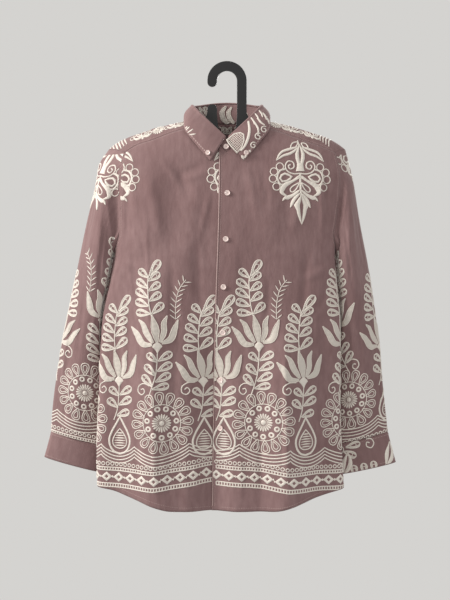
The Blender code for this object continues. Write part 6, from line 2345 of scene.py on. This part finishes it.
@dataclass
class Hanger:
    """Flat plastic hanger with a cut plate and two rounded arms."""

    form: BodyForm
    finishes: Finishes
    hook_inner: float = 19.0
    hook_outer: float = 37.5
    hook_tip_z: float = -30.3
    plate: float = 5.0
    post_top_z: float = -63.5
    post_foot_z: float = -78.0
    valley_top_z: float = -75.0
    valley_z: float = -140.0
    arm_thick: float = 12.0
    arm_start_x: float = 56.0
    arm_end_x: float = 212.0
    inset: float = 0.7
    low: tuple[tuple[float, float], ...] = (
        (0, -165), (38, -152), (70, -133), (120, -135), (170, -147), (212, -162),
    )

    def arm_top(self, x: float) -> float:
        """Top of the arm, just under the shoulder."""
        droop = float(smoothstep((abs(x) - 165.0) / 40.0))
        return self.form.ridge_height(max(abs(x), self.form.neck_half), True) - 1.8 - droop

    def arm_low(self, x: float) -> float:
        """Underside of the arm."""
        curve = curve_through(self.low)
        line = np.array([curve(float(place)) for place in np.linspace(0.0, 1.0, 60)])
        return float(np.interp(abs(x), line[:, 0], line[:, 1]))

    def outline(self) -> list[tuple[float, float]]:
        """Outline of the plate, seen from the front."""
        stations = [62, 70, 82, 95, 108, 120, 132, 145, 158, 170, 180, 190, 199, 206]
        flare = [(self.hook_outer, self.post_foot_z), (37.9, -81.5), (39.0, -84.5), (41.2, -87.8)]
        flare += [(44.2, -90.8), (48.5, -93.8), (54.0, -96.8)]
        top = flare + [(x, self.arm_top(x) - 3.0) for x in stations]
        low = [(x, self.arm_low(x) + 1.0) for x in reversed([10, 20, 29, 38, 46, 55] + stations)]
        radius = (self.hook_outer - self.hook_inner) / 2.0
        post = arc((-self.hook_inner - radius, self.post_top_z - radius), radius, 180.0, 0.0, 16)
        depth = self.valley_top_z - self.valley_z
        bowl = arc((0.0, 0.0), 1.0, 180.0, 360.0, 28)
        valley = [(x * self.hook_inner, self.valley_top_z + z * depth) for x, z in bowl]
        tip = arc((-self.hook_inner - radius, self.hook_tip_z + radius), radius, 180.0, 360.0, 16)
        center = (0.0, -self.hook_inner)
        line = arc(center, self.hook_outer, 180.0, 0.0, 60) + top + low + [(0.0, self.arm_low(0.0) + 1.0)]
        line += [(-x, z) for x, z in reversed(low)] + [(-x, z) for x, z in reversed(top)]
        return line + post + valley + arc(center, self.hook_inner, 0.0, 180.0, 44) + tip[::-1]

    def build(self) -> bpy.types.Object:
        """Build the plate with rounded edges, and the arms.

        Returns:
            The hanger.
        """
        curve = bpy.data.curves.new("hanger_outline", "CURVE")
        curve.dimensions = "2D"
        curve.fill_mode = "BOTH"
        spline = curve.splines.new("POLY")
        points = self.outline()
        spline.points.add(len(points) - 1)
        for spot, (x, z) in zip(spline.points, points):
            spot.co = (x * MM, z * MM, 0.0, 1.0)
        spline.use_cyclic_u = True
        curve.offset = -self.inset * MM
        curve.extrude = (self.plate / 2.0 - self.inset) * MM
        curve.bevel_depth = self.inset * MM
        curve.bevel_resolution = 3
        holder = bpy.data.objects.new("hanger_outline", curve)
        bpy.context.scene.collection.objects.link(holder)
        bpy.context.view_layer.update()
        graph = bpy.context.evaluated_depsgraph_get()
        mesh = bpy.data.meshes.new_from_object(holder.evaluated_get(graph))
        bpy.data.objects.remove(holder)
        corners = np.array([vertex.co for vertex in mesh.vertices]) / MM
        corners = corners[:, [0, 2, 1]]
        parts = MeshParts()
        for face in mesh.polygons:
            index = list(face.vertices)
            for k in range(1, len(index) - 1):
                parts.faces.append(np.array([[index[0], index[k], index[k + 1], index[k + 1]]]))
                parts.slots.append(np.zeros(1))
        parts.points.append(corners)
        parts.places.append(corners[:, [0, 2]])
        parts.count = len(corners)
        for side in (-1, 1):
            self.add_arm(parts, side)
        item = parts.make("hanger_moulded", [self.finishes.plastic])
        item.data.set_sharp_from_angle(angle=math.radians(40.0))
        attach(item, "root")
        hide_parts("hanger")
        return item

    def add_arm(self, parts: MeshParts, side: int) -> None:
        """Add the rounded bar of one arm."""
        stations, around = 30, 24
        rings = np.zeros((stations + 3, around, 3))
        for k in range(stations + 1):
            share = k / stations
            x = self.arm_start_x + (self.arm_end_x - self.arm_start_x) * share
            high, low = self.arm_top(x), self.arm_low(x)
            ended = max(0.0, (share - 0.9) / 0.1)
            closed = math.sqrt(1.0 - 0.75 * ended * ended)
            for j in range(around):
                turn = 2.0 * math.pi * j / around
                across = math.copysign(abs(math.sin(turn)) ** 0.6, math.sin(turn))
                y = self.arm_thick / 2.0 * closed * across
                rise = math.copysign(abs(math.cos(turn)) ** 0.8, math.cos(turn))
                rings[k + 1, j] = (side * x, y, (high + low) / 2.0 + (high - low) / 2.0 * closed * rise)
        rings[0] = rings[1].mean(axis=0)
        rings[-1] = rings[-2].mean(axis=0)
        parts.add(rings, grid_faces(stations + 3, around, ring=True), rings[..., [0, 2]])


def arc(
    center: tuple[float, float], radius: float, first: float, last: float, steps: int
) -> list[tuple[float, float]]:
    """Points of an arc in the plane of the hanger, as x and z."""
    turns = [math.radians(first + (last - first) * k / steps) for k in range(steps + 1)]
    return [(center[0] + radius * math.cos(turn), center[1] + radius * math.sin(turn)) for turn in turns]


class Light(NamedTuple):
    """Soft light: its place in metres, power in watts, width in metres and colour."""

    name: str
    place: tuple[float, float, float]
    power: float
    size: float
    tint: tuple[float, float, float]


@dataclass(frozen=True)
class Studio:
    """Camera, light and floor."""

    eye: tuple[float, float, float] = (-0.0038, -1.65, -0.4369)
    lens: float = 51.9
    film: float = 36.0
    middle: tuple[float, float, float] = (0.0, 0.0, -0.42)
    lights: tuple[Light, ...] = (
        Light("key", (-2.4, -0.85, 0.75), 78.0, 0.8, (1.0, 0.97, 0.93)),
        Light("fill", (1.6, -1.7, 0.1), 5.0, 1.5, (0.93, 0.96, 1.0)),
        Light("rim", (0.5, 1.7, 0.7), 34.0, 1.2, (1.0, 0.98, 0.96)),
    )
    room: tuple[float, float, float, float] = (0.66, 0.65, 0.63, 1.0)
    floor_z: float = -2.2
    floor_half: float = 3.0
    floor_finish: PlainFinish = PlainFinish("pale_floor", (0.45, 0.455, 0.46), 0.8)

    def build(self) -> None:
        """Set the studio up."""
        scene = bpy.context.scene
        camera = bpy.data.cameras.new("camera")
        camera.sensor_fit = "VERTICAL"
        camera.sensor_height = self.film
        camera.lens = self.lens
        eye = bpy.data.objects.new("camera", camera)
        eye.location = self.eye
        eye.rotation_euler = (math.pi / 2.0, 0.0, 0.0)
        scene.collection.objects.link(eye)
        scene.camera = eye
        scene.view_settings.view_transform = "Standard"
        for light in self.lights:
            self.add_light(light)
        world = bpy.data.worlds.new("room")
        world.use_nodes = True
        shade = world.node_tree.nodes["Background"]
        shade.inputs["Color"].default_value = self.room
        shade.inputs["Strength"].default_value = 1.0
        scene.world = world
        mesh = bpy.data.meshes.new("floor")
        corners = ((-1, -1), (1, -1), (1, 1), (-1, 1))
        points = [(x * self.floor_half, y * self.floor_half, self.floor_z) for x, y in corners]
        mesh.from_pydata(points, [], [(0, 1, 2, 3)])
        floor = bpy.data.objects.new("floor", mesh)
        scene.collection.objects.link(floor)
        mesh.materials.append(self.floor_finish.make())
        floor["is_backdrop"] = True

    def add_light(self, light: Light) -> None:
        """Add a soft light that faces the shirt."""
        data = bpy.data.lights.new(light.name, "AREA")
        data.energy = light.power
        data.size = light.size
        data.color = light.tint
        item = bpy.data.objects.new(light.name, data)
        item.location = light.place
        aim = Vector(self.middle) - Vector(light.place)
        item.rotation_euler = aim.to_track_quat("-Z", "Y").to_euler()
        bpy.context.scene.collection.objects.link(item)


class Rows(NamedTuple):
    """Heights of the rows of motifs on a front or the back."""

    tall: float
    rosette: float
    short: float
    drop: float
    medallion: float


@dataclass
class Embroidery:
    """All that is embroidered and stitched on the garment."""

    form: BodyForm
    finishes: Finishes
    front_rows: Rows = Rows(-523.0, -662.0, -588.0, -686.0, -141.5)
    back_rows: Rows = Rows(-525.5, -666.0, -596.0, -686.0, -205.0)
    sleeve_lean: tuple[float, float] = (0.184, -0.165)
    sleeve_border_z: tuple[float, float] = (-653.0, -661.0)
    sleeve_girdle: tuple[float, float] = (0.235, 0.27)
    sleeve_peak: tuple[float, float] = (-160.0, -168.0)
    sleeve_reach: float = 140.0
    stitch_step: float = 6.0
    hem_stitch: float = 7.0
    hole_stitch: float = 4.0
    yoke_stitch: float = 5.0
    border_z: float = -742.0
    rise: tuple[tuple[tuple[float, float], ...], ...] = (
        ((-260, 2), (-200, 0), (-135, -3), (-100, 2), (-30, 12), (20, 14)),
        ((-30, 6.5), (40, 4), (70, 1), (113, -5.5), (160, -5), (235, -4.5)),
    )
    repeat: float = 153.0
    lattice: tuple[tuple[float, float], ...] = (
        (-0.7, -141.7), (13.3, -129.5), (24.5, -127.5), (30.7, -131),
        (31.4, -142.6), (26.5, -157.5), (18.3, -166.6), (3.6, -149),
    )

    def add(self, panel: Panel, work: Needlework) -> None:
        """Make one panel's thread and keep it with the panel."""
        item = work.make("embroidery_" + panel.node, self.finishes)
        log.info("%s: %d faces", item.name, len(item.data.polygons))
        panel.extras.append(item)

    def spot(
        self, surface: Surface, x: float, z: float, bounds: tuple[float, float], past: float = 0.0
    ) -> Spot:
        """Spot at a place that is seen from the front, or a step past it round the cloth."""
        return Spot(surface.a_at(x, z, *bounds) + past, z)

    def front(self, panel: Panel, over: bool) -> None:
        """Embroider one front."""
        surface, rows = panel.surface, self.front_rows
        work = Motifs(surface)
        bounds = (-30.0, 280.0) if over else (-280.0, 30.0)
        low, high = (-20.0, 246.0) if over else (-250.0, 20.0)
        tall = ((58.0, 0.0), (209.0, -14.0)) if over else ((-128.2, 0.0),)
        short = (-13.0, 138.0) if over else (-49.2, -206.0)
        for x, past in tall:
            work.at(self.spot(surface, x, rows.tall, bounds, past)).sprig()
            work.at(self.spot(surface, x, rows.rosette, bounds, past + 8.5)).rosette()
        if not over:
            work.at(self.spot(surface, -241.0, rows.rosette, bounds, -36.0)).rosette()
        for x in short:
            work.at(self.spot(surface, x + (2.0 if over else 4.5), rows.short, bounds)).sprig(short=True)
            work.at(self.spot(surface, x + 7.0, rows.drop, bounds)).striped_drop()
        for x in (135.5,) if over else (21.0, -218.0):
            work.at(self.spot(surface, x, rows.medallion, bounds)).medallion()
        peaks = (-68, 23, 114, 184, 300) if over else (-330, -237, -171, -69, 23, 120)
        work.at(Spot(0.0, self.border_z)).border(low, high, peaks, self.rise[over])
        self.stitch_front(work, over)
        self.add(panel, work)

    def stitch_front(self, work: Motifs, over: bool) -> None:
        """Stitch the front's closing, hem and armhole; the cord along the closing's edge is lighter as a
        painted highlight.
        """
        form, side = self.form, 1 if over else -1
        work.at(Spot(0.0, 0.0))
        if over:
            heights = np.arange(-818.0, -160.0, self.stitch_step)
            edge = np.array([(form.closing_x(float(z)), z) for z in heights])
            # A raised rolled edge along the closing, in the lighter seam thread colour: its relief is real,
            # its lighter colour is a painted highlight of the lit edge.
            work.cord(edge - (form.under_edge - 1.6, 0.0), 1.5, 0.9, slot=1)
            work.dashes(edge - (9.5, 0.0))
        across = np.arange(-10.0, 240.0, self.stitch_step) * side
        work.dashes(np.array([(s, form.hem_z(float(s)) + self.hem_stitch) for s in across]))
        hole = form.armhole_plane(side, True)
        inside = (side * self.hole_stitch, 0.0)
        work.dashes(np.array([hole(t) - inside for t in np.linspace(0.05, 0.98, 40)]))

    def back(self, panel: Panel) -> None:
        """Embroider the back."""
        work, rows = Motifs(panel.surface), self.back_rows
        for k in range(-3, 4):
            s = k * self.repeat / 2.0
            if k % 2:
                work.at(Spot(s, rows.short)).sprig(short=True)
                work.at(Spot(s + 4.0, rows.drop)).striped_drop()
            else:
                work.at(Spot(s, rows.tall)).sprig()
                work.at(Spot(s + 7.0, rows.rosette)).rosette()
        for s in (-176.0, 0.0, 176.0):
            work.at(Spot(s, rows.medallion)).medallion()
        peaks = [k * self.repeat + off for k in (-2, -1, 0, 1, 2) for off in (-42.0, 56.0)]
        work.at(Spot(0.0, self.border_z)).border(-252.0, 252.0, peaks, ((-260, -2), (260, -2)))
        work.at(Spot(0.0, 0.0))
        across = np.arange(-240.0, 241.0, self.stitch_step)
        work.dashes(np.array([(s, self.form.hem_z(float(s)) + self.hem_stitch) for s in across]))
        across = np.arange(-205.0, 206.0, self.stitch_step)
        work.dashes(np.array([(s, self.form.yoke_back_z - self.yoke_stitch) for s in across]))
        self.add(panel, work)

    def yoke(self, panel: Panel) -> None:
        """Embroider the yoke: a full strip on each shoulder and a row behind."""
        work, form = Motifs(panel.surface, paced=True), self.form

        def middle(x: float) -> float:
            """The run q half way down the front strip at x."""
            return form.q_at(x, float(np.interp(abs(x), (88.0, 171.0), (-119.0, -148.0))), True) * 0.55

        for x, turn in ((-196.0, 16.0), (-208.0, 18.0), (190.0, -14.0)):
            work.at(Spot(x, middle(x), turn=turn))
            for k in range(4):
                stripe = [(-13 + 6 * k, -15), (-15 + 6 * k, 0), (-12 + 6 * k, 15)]
                work.band(stripe, (0.7, 1.5, 1.5, 0.7), 0.8)
        for x, size in ((-158.0, 1.0), (-96.0, 0.9), (120.0, 1.0), (160.0, 0.9)):
            work.at(Spot(x, middle(x), size))
            for side in (-1, 1):
                work.band([(0, -6), (side * 9, 2), (side * 15, 12)], (0.8, 3.4, 3.6, 0.6), slit=0.28)
                work.band([(0, -6), (side * 12, -7), (side * 19, -2)], (0.8, 3.0, 2.8, 0.6))
            work.loop(Blade(0, -4, 0, 14, 4.2), Shape.DROP, 1.0, 2.2)
            work.dot(0, -9, 3.0)
        for x in (-129.0, -72.0, 92.0):
            work.at(Spot(x, middle(x)))
            work.daisy(12.5, 15)
            work.ring(-16, -2, 4.2, 2.2)
            work.ring(16, -2, 4.2, 2.2)
        for x in (-177.0, 140.0):
            work.at(Spot(x, middle(x) - 3.0)).curl(0, 0, 7.5, 30.0)
        for x in (-150.0, -75.0, 0.0, 75.0, 150.0):
            work.at(Spot(x, 118.0)).daisy(13.0, 16)
            work.ring(0, 0, 16.0, 1.6)
            for side in (-1, 1):
                work.satin(Blade(side * 19, 0, side * 35, 10, 5.0, -side * 0.12), Shape.LANCE, 1.0, slit=0.25)
                work.satin(Blade(side * 19, -2, side * 34, -12, 4.0, side * 0.12), Shape.LANCE, 1.0)
        work.at(Spot(0.0, 0.0))
        work.pace = (1.0, 1.0)
        for side in (-1, 1):
            line = form.yoke_seam_line(side)
            places = [line(t) for t in np.linspace(0.05, 0.97, 24)]
            work.dashes(np.array([(x, form.q_at(x, z, True) + self.yoke_stitch) for x, z in places]))
        self.add(panel, work)

    def sleeve(self, panel: Panel, side: int) -> None:
        """Embroider one sleeve, all round."""
        surface, index = panel.surface, 0 if side < 0 else 1
        work = Motifs(surface, self.sleeve_lean[index], side)
        bounds = (-140.0, 0.0)
        if side < 0:
            inner = self.spot(surface, -243.0, -477.0, bounds, -10.0)._replace(mirror=True)
            outer, rose = Spot(3.0, -518.5, mirror=True), (-268.7, -612.8)
            work.at(Spot(-26.0, -143.0)).medallion(tail=False)
        else:
            inner = self.spot(surface, 213.5, -492.0, bounds)._replace(turn=8.0, mirror=True)
            outer, rose = Spot(-4.0, -527.0), (231.0, -626.0)
            work.at(Spot(4.0, -632.0)).striped_drop()
            work.at(Spot(18.0, -96.0)).medallion(tail=False)
        work.at(inner).sprig()
        work.at(outer).sprig(short=True, curled=side < 0)
        work.at(self.spot(surface, *rose, bounds)).rosette()
        work.at(Spot(86.0, -500.0)).sprig()
        work.at(Spot(92.0, -616.0)).rosette()
        work.at(Spot(84.0, -200.0)).medallion()
        work.at(Spot(0.0, self.sleeve_border_z[index]), self.sleeve_girdle[index])
        peaks = np.cumsum([self.sleeve_peak[index]] + [54.0, 92.0] * 3)
        level = np.array(((-200.0, 200.0), (0.0, 0.0)))
        reach = self.sleeve_reach
        work.swags(-reach, reach, peaks, 11.0, level, 12.0)
        work.beads(-reach, reach, -24.0, level)
        work.ladder(-reach, reach, -33.0, level, 2.4)
        self.add(panel, work)

    def cuff(self, panel: Panel, side: int) -> None:
        """Embroider one cuff."""
        work = Motifs(panel.surface)
        curl = [(-50, -2), (-40, -4), (-37, -12), (-44, -19), (-52, -14), (-50, -8), (-45, -10)]
        for shift in (-85.0, 0.0, 100.0):
            if side < 0 and shift == 0.0:
                continue
            work.at(Spot(shift, 0.0))
            work.curve(curl, 2.3, 1.6)
            work.leaf(Blade(-91, -9, -63, -7, 5.6))
            work.leaf(Blade(-97, -15, -76, -28, 5.8))
            work.curve([(-102, -4), (-96, -9), (-99, -17)], 2.0)
            for place in (-87.0, -68.0, -49.0):
                work.leaf(Blade(place, -63, place + 2, -43, 6.2))
            if side > 0:
                work.satin(Blade(-25, -55, -5, -17, 10.5, -0.1), Shape.LEAF, 1.0, slit=0.2)
        work.at(Spot(0.0, 0.0))
        for b in (-5.0, -50.0):
            work.dashes(np.array([(w * side, b) for w in np.arange(-190.0, 60.0, self.stitch_step)]))
        self.add(panel, work)

    def collar(self, panel: Panel, edge: Surface) -> None:
        """Embroider the collar and stitch its edge."""
        work = Motifs(panel.surface)
        for x, y, tip_x, tip_y in (
            (-78, -118, -73, -114), (-77, -122, -69, -115), (-74, -127, -62, -120), (-71, -131, -57, -130),
        ):
            work.satin(Blade(x, y, tip_x, tip_y, 1.5), Shape.CRESCENT, 0.7)
        work.at(Spot(0.0, 0.0))
        panel_edge = np.array(self.lattice, dtype=float)
        work.cord(panel_edge, 2.4, closed=True)
        self.net(work, panel_edge)
        frame = [(39.7, -104.8), (41.4, -122.9), (38, -141), (29.8, -157.4), (24.8, -162.5)]
        work.band(frame, (2.0, 2.6, 2.6, 1.6), 0.9)
        work.band([(49.7, -104.8), (57.8, -121.2), (57, -134)], (1.8, 2.0, 1.0), 0.9)
        work.band([(57, -98), (64, -108), (70, -112)], (1.8, 2.0, 1.0), 0.9)
        for x, y in ((44.5, -97.0), (52.5, -88.5), (60.0, -81.0), (67.0, -86.0), (72.0, -94.0)):
            work.band([(x, y), (x + 4.5, y - 7.0), (x + 6.5, y - 15.0)], (1.0, 1.8, 1.6, 0.6), 0.8)
        for x, y, radius in ((69, -121, 7.0), (57.8, -135.2, 7.2), (48.8, -152.0, 6.4)):
            work.curl(x, y, radius, 60.0, 1.2, 2.4)
        for place in ((27, -170, 31, -178, 3.0), (36, -168, 33, -178, 2.8), (40, -160, 45, -166, 2.4)):
            work.satin(Blade(*place), Shape.LEAF, 0.8)
        item = work.make("embroidery_collar_leaf", self.finishes)
        panel.extras.append(item)
        seam = Motifs(edge)
        path = [(a, 21.6) for a in np.linspace(-172.0, 172.0, 150)]
        seam.dashes(np.array(path))
        panel.extras.append(seam.make("stitching_collar_leaf", self.finishes))

    def net(self, work: Motifs, edge: Array, pitch: float = 3.4) -> None:
        """Sew fine slanting lines both ways inside an outline."""
        for way in (np.array((1.0, 1.0)), np.array((1.0, -1.0))):
            way = way / math.sqrt(2.0)
            across = np.array((-way[1], way[0]))
            reach = edge @ across
            for level in np.arange(reach.min() + pitch / 2.0, reach.max(), pitch):
                ends = []
                for one, two in zip(edge, np.roll(edge, -1, axis=0)):
                    low, high = one @ across - level, two @ across - level
                    if low * high < 0.0:
                        ends.append(one + (two - one) * low / (low - high))
                if len(ends) >= 2:
                    first, last = min(ends, key=lambda p: p @ way), max(ends, key=lambda p: p @ way)
                    work.cord(first + (last - first) * np.linspace(0.0, 1.0, 6)[:, None], 1.0, 0.5)

    def inside_neck(self, stand: Panel, yoke: Panel) -> None:
        """Embroider the inner side of the collar band and of the yoke under it."""
        work = Motifs(front_view(stand.item, (-58.0, 58.0), (-92.5, -56.0), inside=True))
        work.band([(-2, -58), (-9, -69), (-7, -82), (3, -92)], (1.6, 4.6, 5.2, 3.0), 0.9, edged=True)
        work.band([(9, -60), (3, -70), (6, -82), (14, -91)], (1.2, 4.0, 4.4, 2.4), 0.9, edged=True)
        for place in ((-54, -64, -41, -80, 4.6), (-47, -60, -37, -70, 3.8), (26, -64, 38, -80, 4.6)):
            work.leaf(Blade(*place))
        stand.extras.append(work.make("embroidery_collar_stand", self.finishes))
        work = Motifs(front_view(yoke.item, (-44.0, 44.0), (-124.0, -96.0), inside=True))
        work.ring(-15, -103, 5.0, 1.8)
        for place in ((-8, -98, 0, -110, 5.2), (9, -98, 1, -110, 5.2), (16, -99, 24, -110, 4.6)):
            work.leaf(Blade(*place))
        yoke.extras.append(work.make("embroidery_yoke_inside", self.finishes))


LEFT_RINGS = (
    SleeveRing(0.00, 226.0, -151, 197, -352, 0, 40),
    SleeveRing(0.07, 234.0, -182, 199, -374, 1, 42),
    SleeveRing(0.15, 241.0, -214, 200, -402, 3, 42),
    SleeveRing(0.30, 254.0, -290, 201, -454, 6, 38),
    SleeveRing(0.45, 269.0, -364, 201, -510, 8, 32),
    SleeveRing(0.60, 281.0, -440, 201, -564, 9, 26),
    SleeveRing(0.75, 292.0, -520, 200, -622, 10, 21),
    SleeveRing(0.90, 301.0, -622, 199, -682, 10, 16),
    SleeveRing(1.00, 308.0, -688, 199, -714, 9, 14),
)
RIGHT_RINGS = (
    SleeveRing(0.00, 226.0, -151, 204, -352, 0, 40),
    SleeveRing(0.07, 243.0, -177, 206, -374, 1, 42),
    SleeveRing(0.15, 249.0, -212, 208, -402, 3, 42),
    SleeveRing(0.30, 268.0, -290, 211, -454, 6, 38),
    SleeveRing(0.45, 287.0, -378, 214, -510, 8, 32),
    SleeveRing(0.60, 304.0, -458, 217, -564, 9, 26),
    SleeveRing(0.75, 319.0, -532, 220, -622, 10, 21),
    SleeveRing(0.90, 332.5, -625, 223, -682, 10, 16),
    SleeveRing(1.00, 337.0, -688, 226, -717, 9, 14),
)
LEFT_CUFF = CuffEnd(323.5, -747, 212.0, -771, 8, 13)
RIGHT_CUFF = CuffEnd(350.0, -737, 239.0, -767, 8, 13)
RIGHT_CREASES = (
    Crease(-60, 60, -70, 260, 13, 2.4),
    Crease(-105, 70, -118, 240, 11, -2.4),
    Crease(-30, 90, -44, 230, 10, -1.8),
    Crease(-80, 240, -86, 460, 10, -2.0),
    Crease(-125, 200, -110, 420, 12, 2.2),
    Crease(-40, 330, -52, 540, 10, 2.0),
    Crease(-96, 420, -100, 580, 8, 1.8),
    Crease(-66, 470, -70, 588, 7, -1.8),
    Crease(60, 80, 74, 300, 14, 2.2),
    Crease(110, 120, 96, 360, 12, -2.2),
    Crease(40, 300, 52, 520, 12, -2.0),
    Crease(90, 380, 84, 580, 10, 2.0),
    Crease(130, 300, 126, 540, 12, 2.0),
)
LEFT_CREASES = (
    Crease(-70, 70, -78, 250, 12, 2.2),
    Crease(-112, 60, -104, 260, 10, -2.2),
    Crease(-36, 110, -48, 280, 11, -2.0),
    Crease(-92, 260, -98, 470, 11, -2.0),
    Crease(-60, 300, -66, 500, 10, 2.0),
    Crease(-120, 300, -112, 520, 10, 2.2),
    Crease(-36, 430, -40, 580, 8, -1.6),
    Crease(-84, 480, -88, 588, 7, 1.8),
    Crease(64, 90, 70, 320, 13, 2.2),
    Crease(104, 140, 100, 340, 12, -2.0),
    Crease(44, 320, 50, 540, 11, -2.0),
    Crease(88, 400, 92, 580, 9, 2.0),
)


def declare(panel: Panel) -> None:
    """Hang a panel and what is sewn on it from the root, hide the CAD node it stands for and log its faces
    and area.

    Its area is kept between what a sheet of that flat size may have at least and at most.

    Args:
        panel: the panel.
    """
    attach(panel.item, "root")
    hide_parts(panel.node)
    for extra in panel.extras:
        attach(extra, "root")
    width, length = panel.flat
    area = half_area(panel.item)
    log.info("%s: %d faces, %.4f square metres", panel.node, len(panel.item.data.polygons), area)
    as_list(panel.extras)


def main() -> None:
    """Build the dressed shirt and its studio."""
    logging.basicConfig(level=logging.INFO, format="%(message)s")
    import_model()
    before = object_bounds()
    form = BodyForm()
    finishes = Finishes.make()
    body = BodyPanels(form, finishes)
    right, left = body.build_front(False), body.build_front(True)
    back, yoke = body.build_back(), body.build_yoke()
    log.info("body done")
    sleeve_right = Sleeve(form, -1, RIGHT_RINGS, RIGHT_CUFF, RIGHT_CREASES, finishes)
    sleeve_left = Sleeve(form, 1, LEFT_RINGS, LEFT_CUFF, LEFT_CREASES, finishes)
    arms = (sleeve_right, sleeve_left)
    sleeves = [arm.build() for arm in arms]
    trims = [part for arm in arms for part in (arm.build_placket(), arm.build_cuff())]
    log.info("sleeves done")
    collar = Collar(form, finishes)
    stand, leaf = collar.build_stand(), collar.build_leaf()
    Buttons(form, finishes, collar, arms).build_all(left.surface)
    Hanger(form, finishes).build()
    log.info("hard parts done")
    thread = Embroidery(form, finishes)
    thread.front(right, False)
    thread.front(left, True)
    thread.back(back)
    thread.yoke(yoke)
    for side, sleeve, cuff in ((-1, sleeves[0], trims[1]), (1, sleeves[1], trims[3])):
        thread.sleeve(sleeve, side)
        thread.cuff(cuff, side)
    thread.collar(leaf, collar.edge_surface)
    thread.inside_neck(stand, yoke)
    for panel in (right, left, back, yoke, *sleeves, *trims, stand, leaf):
        declare(panel)
    Studio().build()
    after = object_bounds()
    {"cad": plain(before), "scene": plain(after)}


def plain(value: Iterable[Iterable[float]]) -> list[list[float]]:
    """Bounds as plain lists."""
    return [[float(v) for v in row] for row in value]


if __name__ == "__main__":
    main()
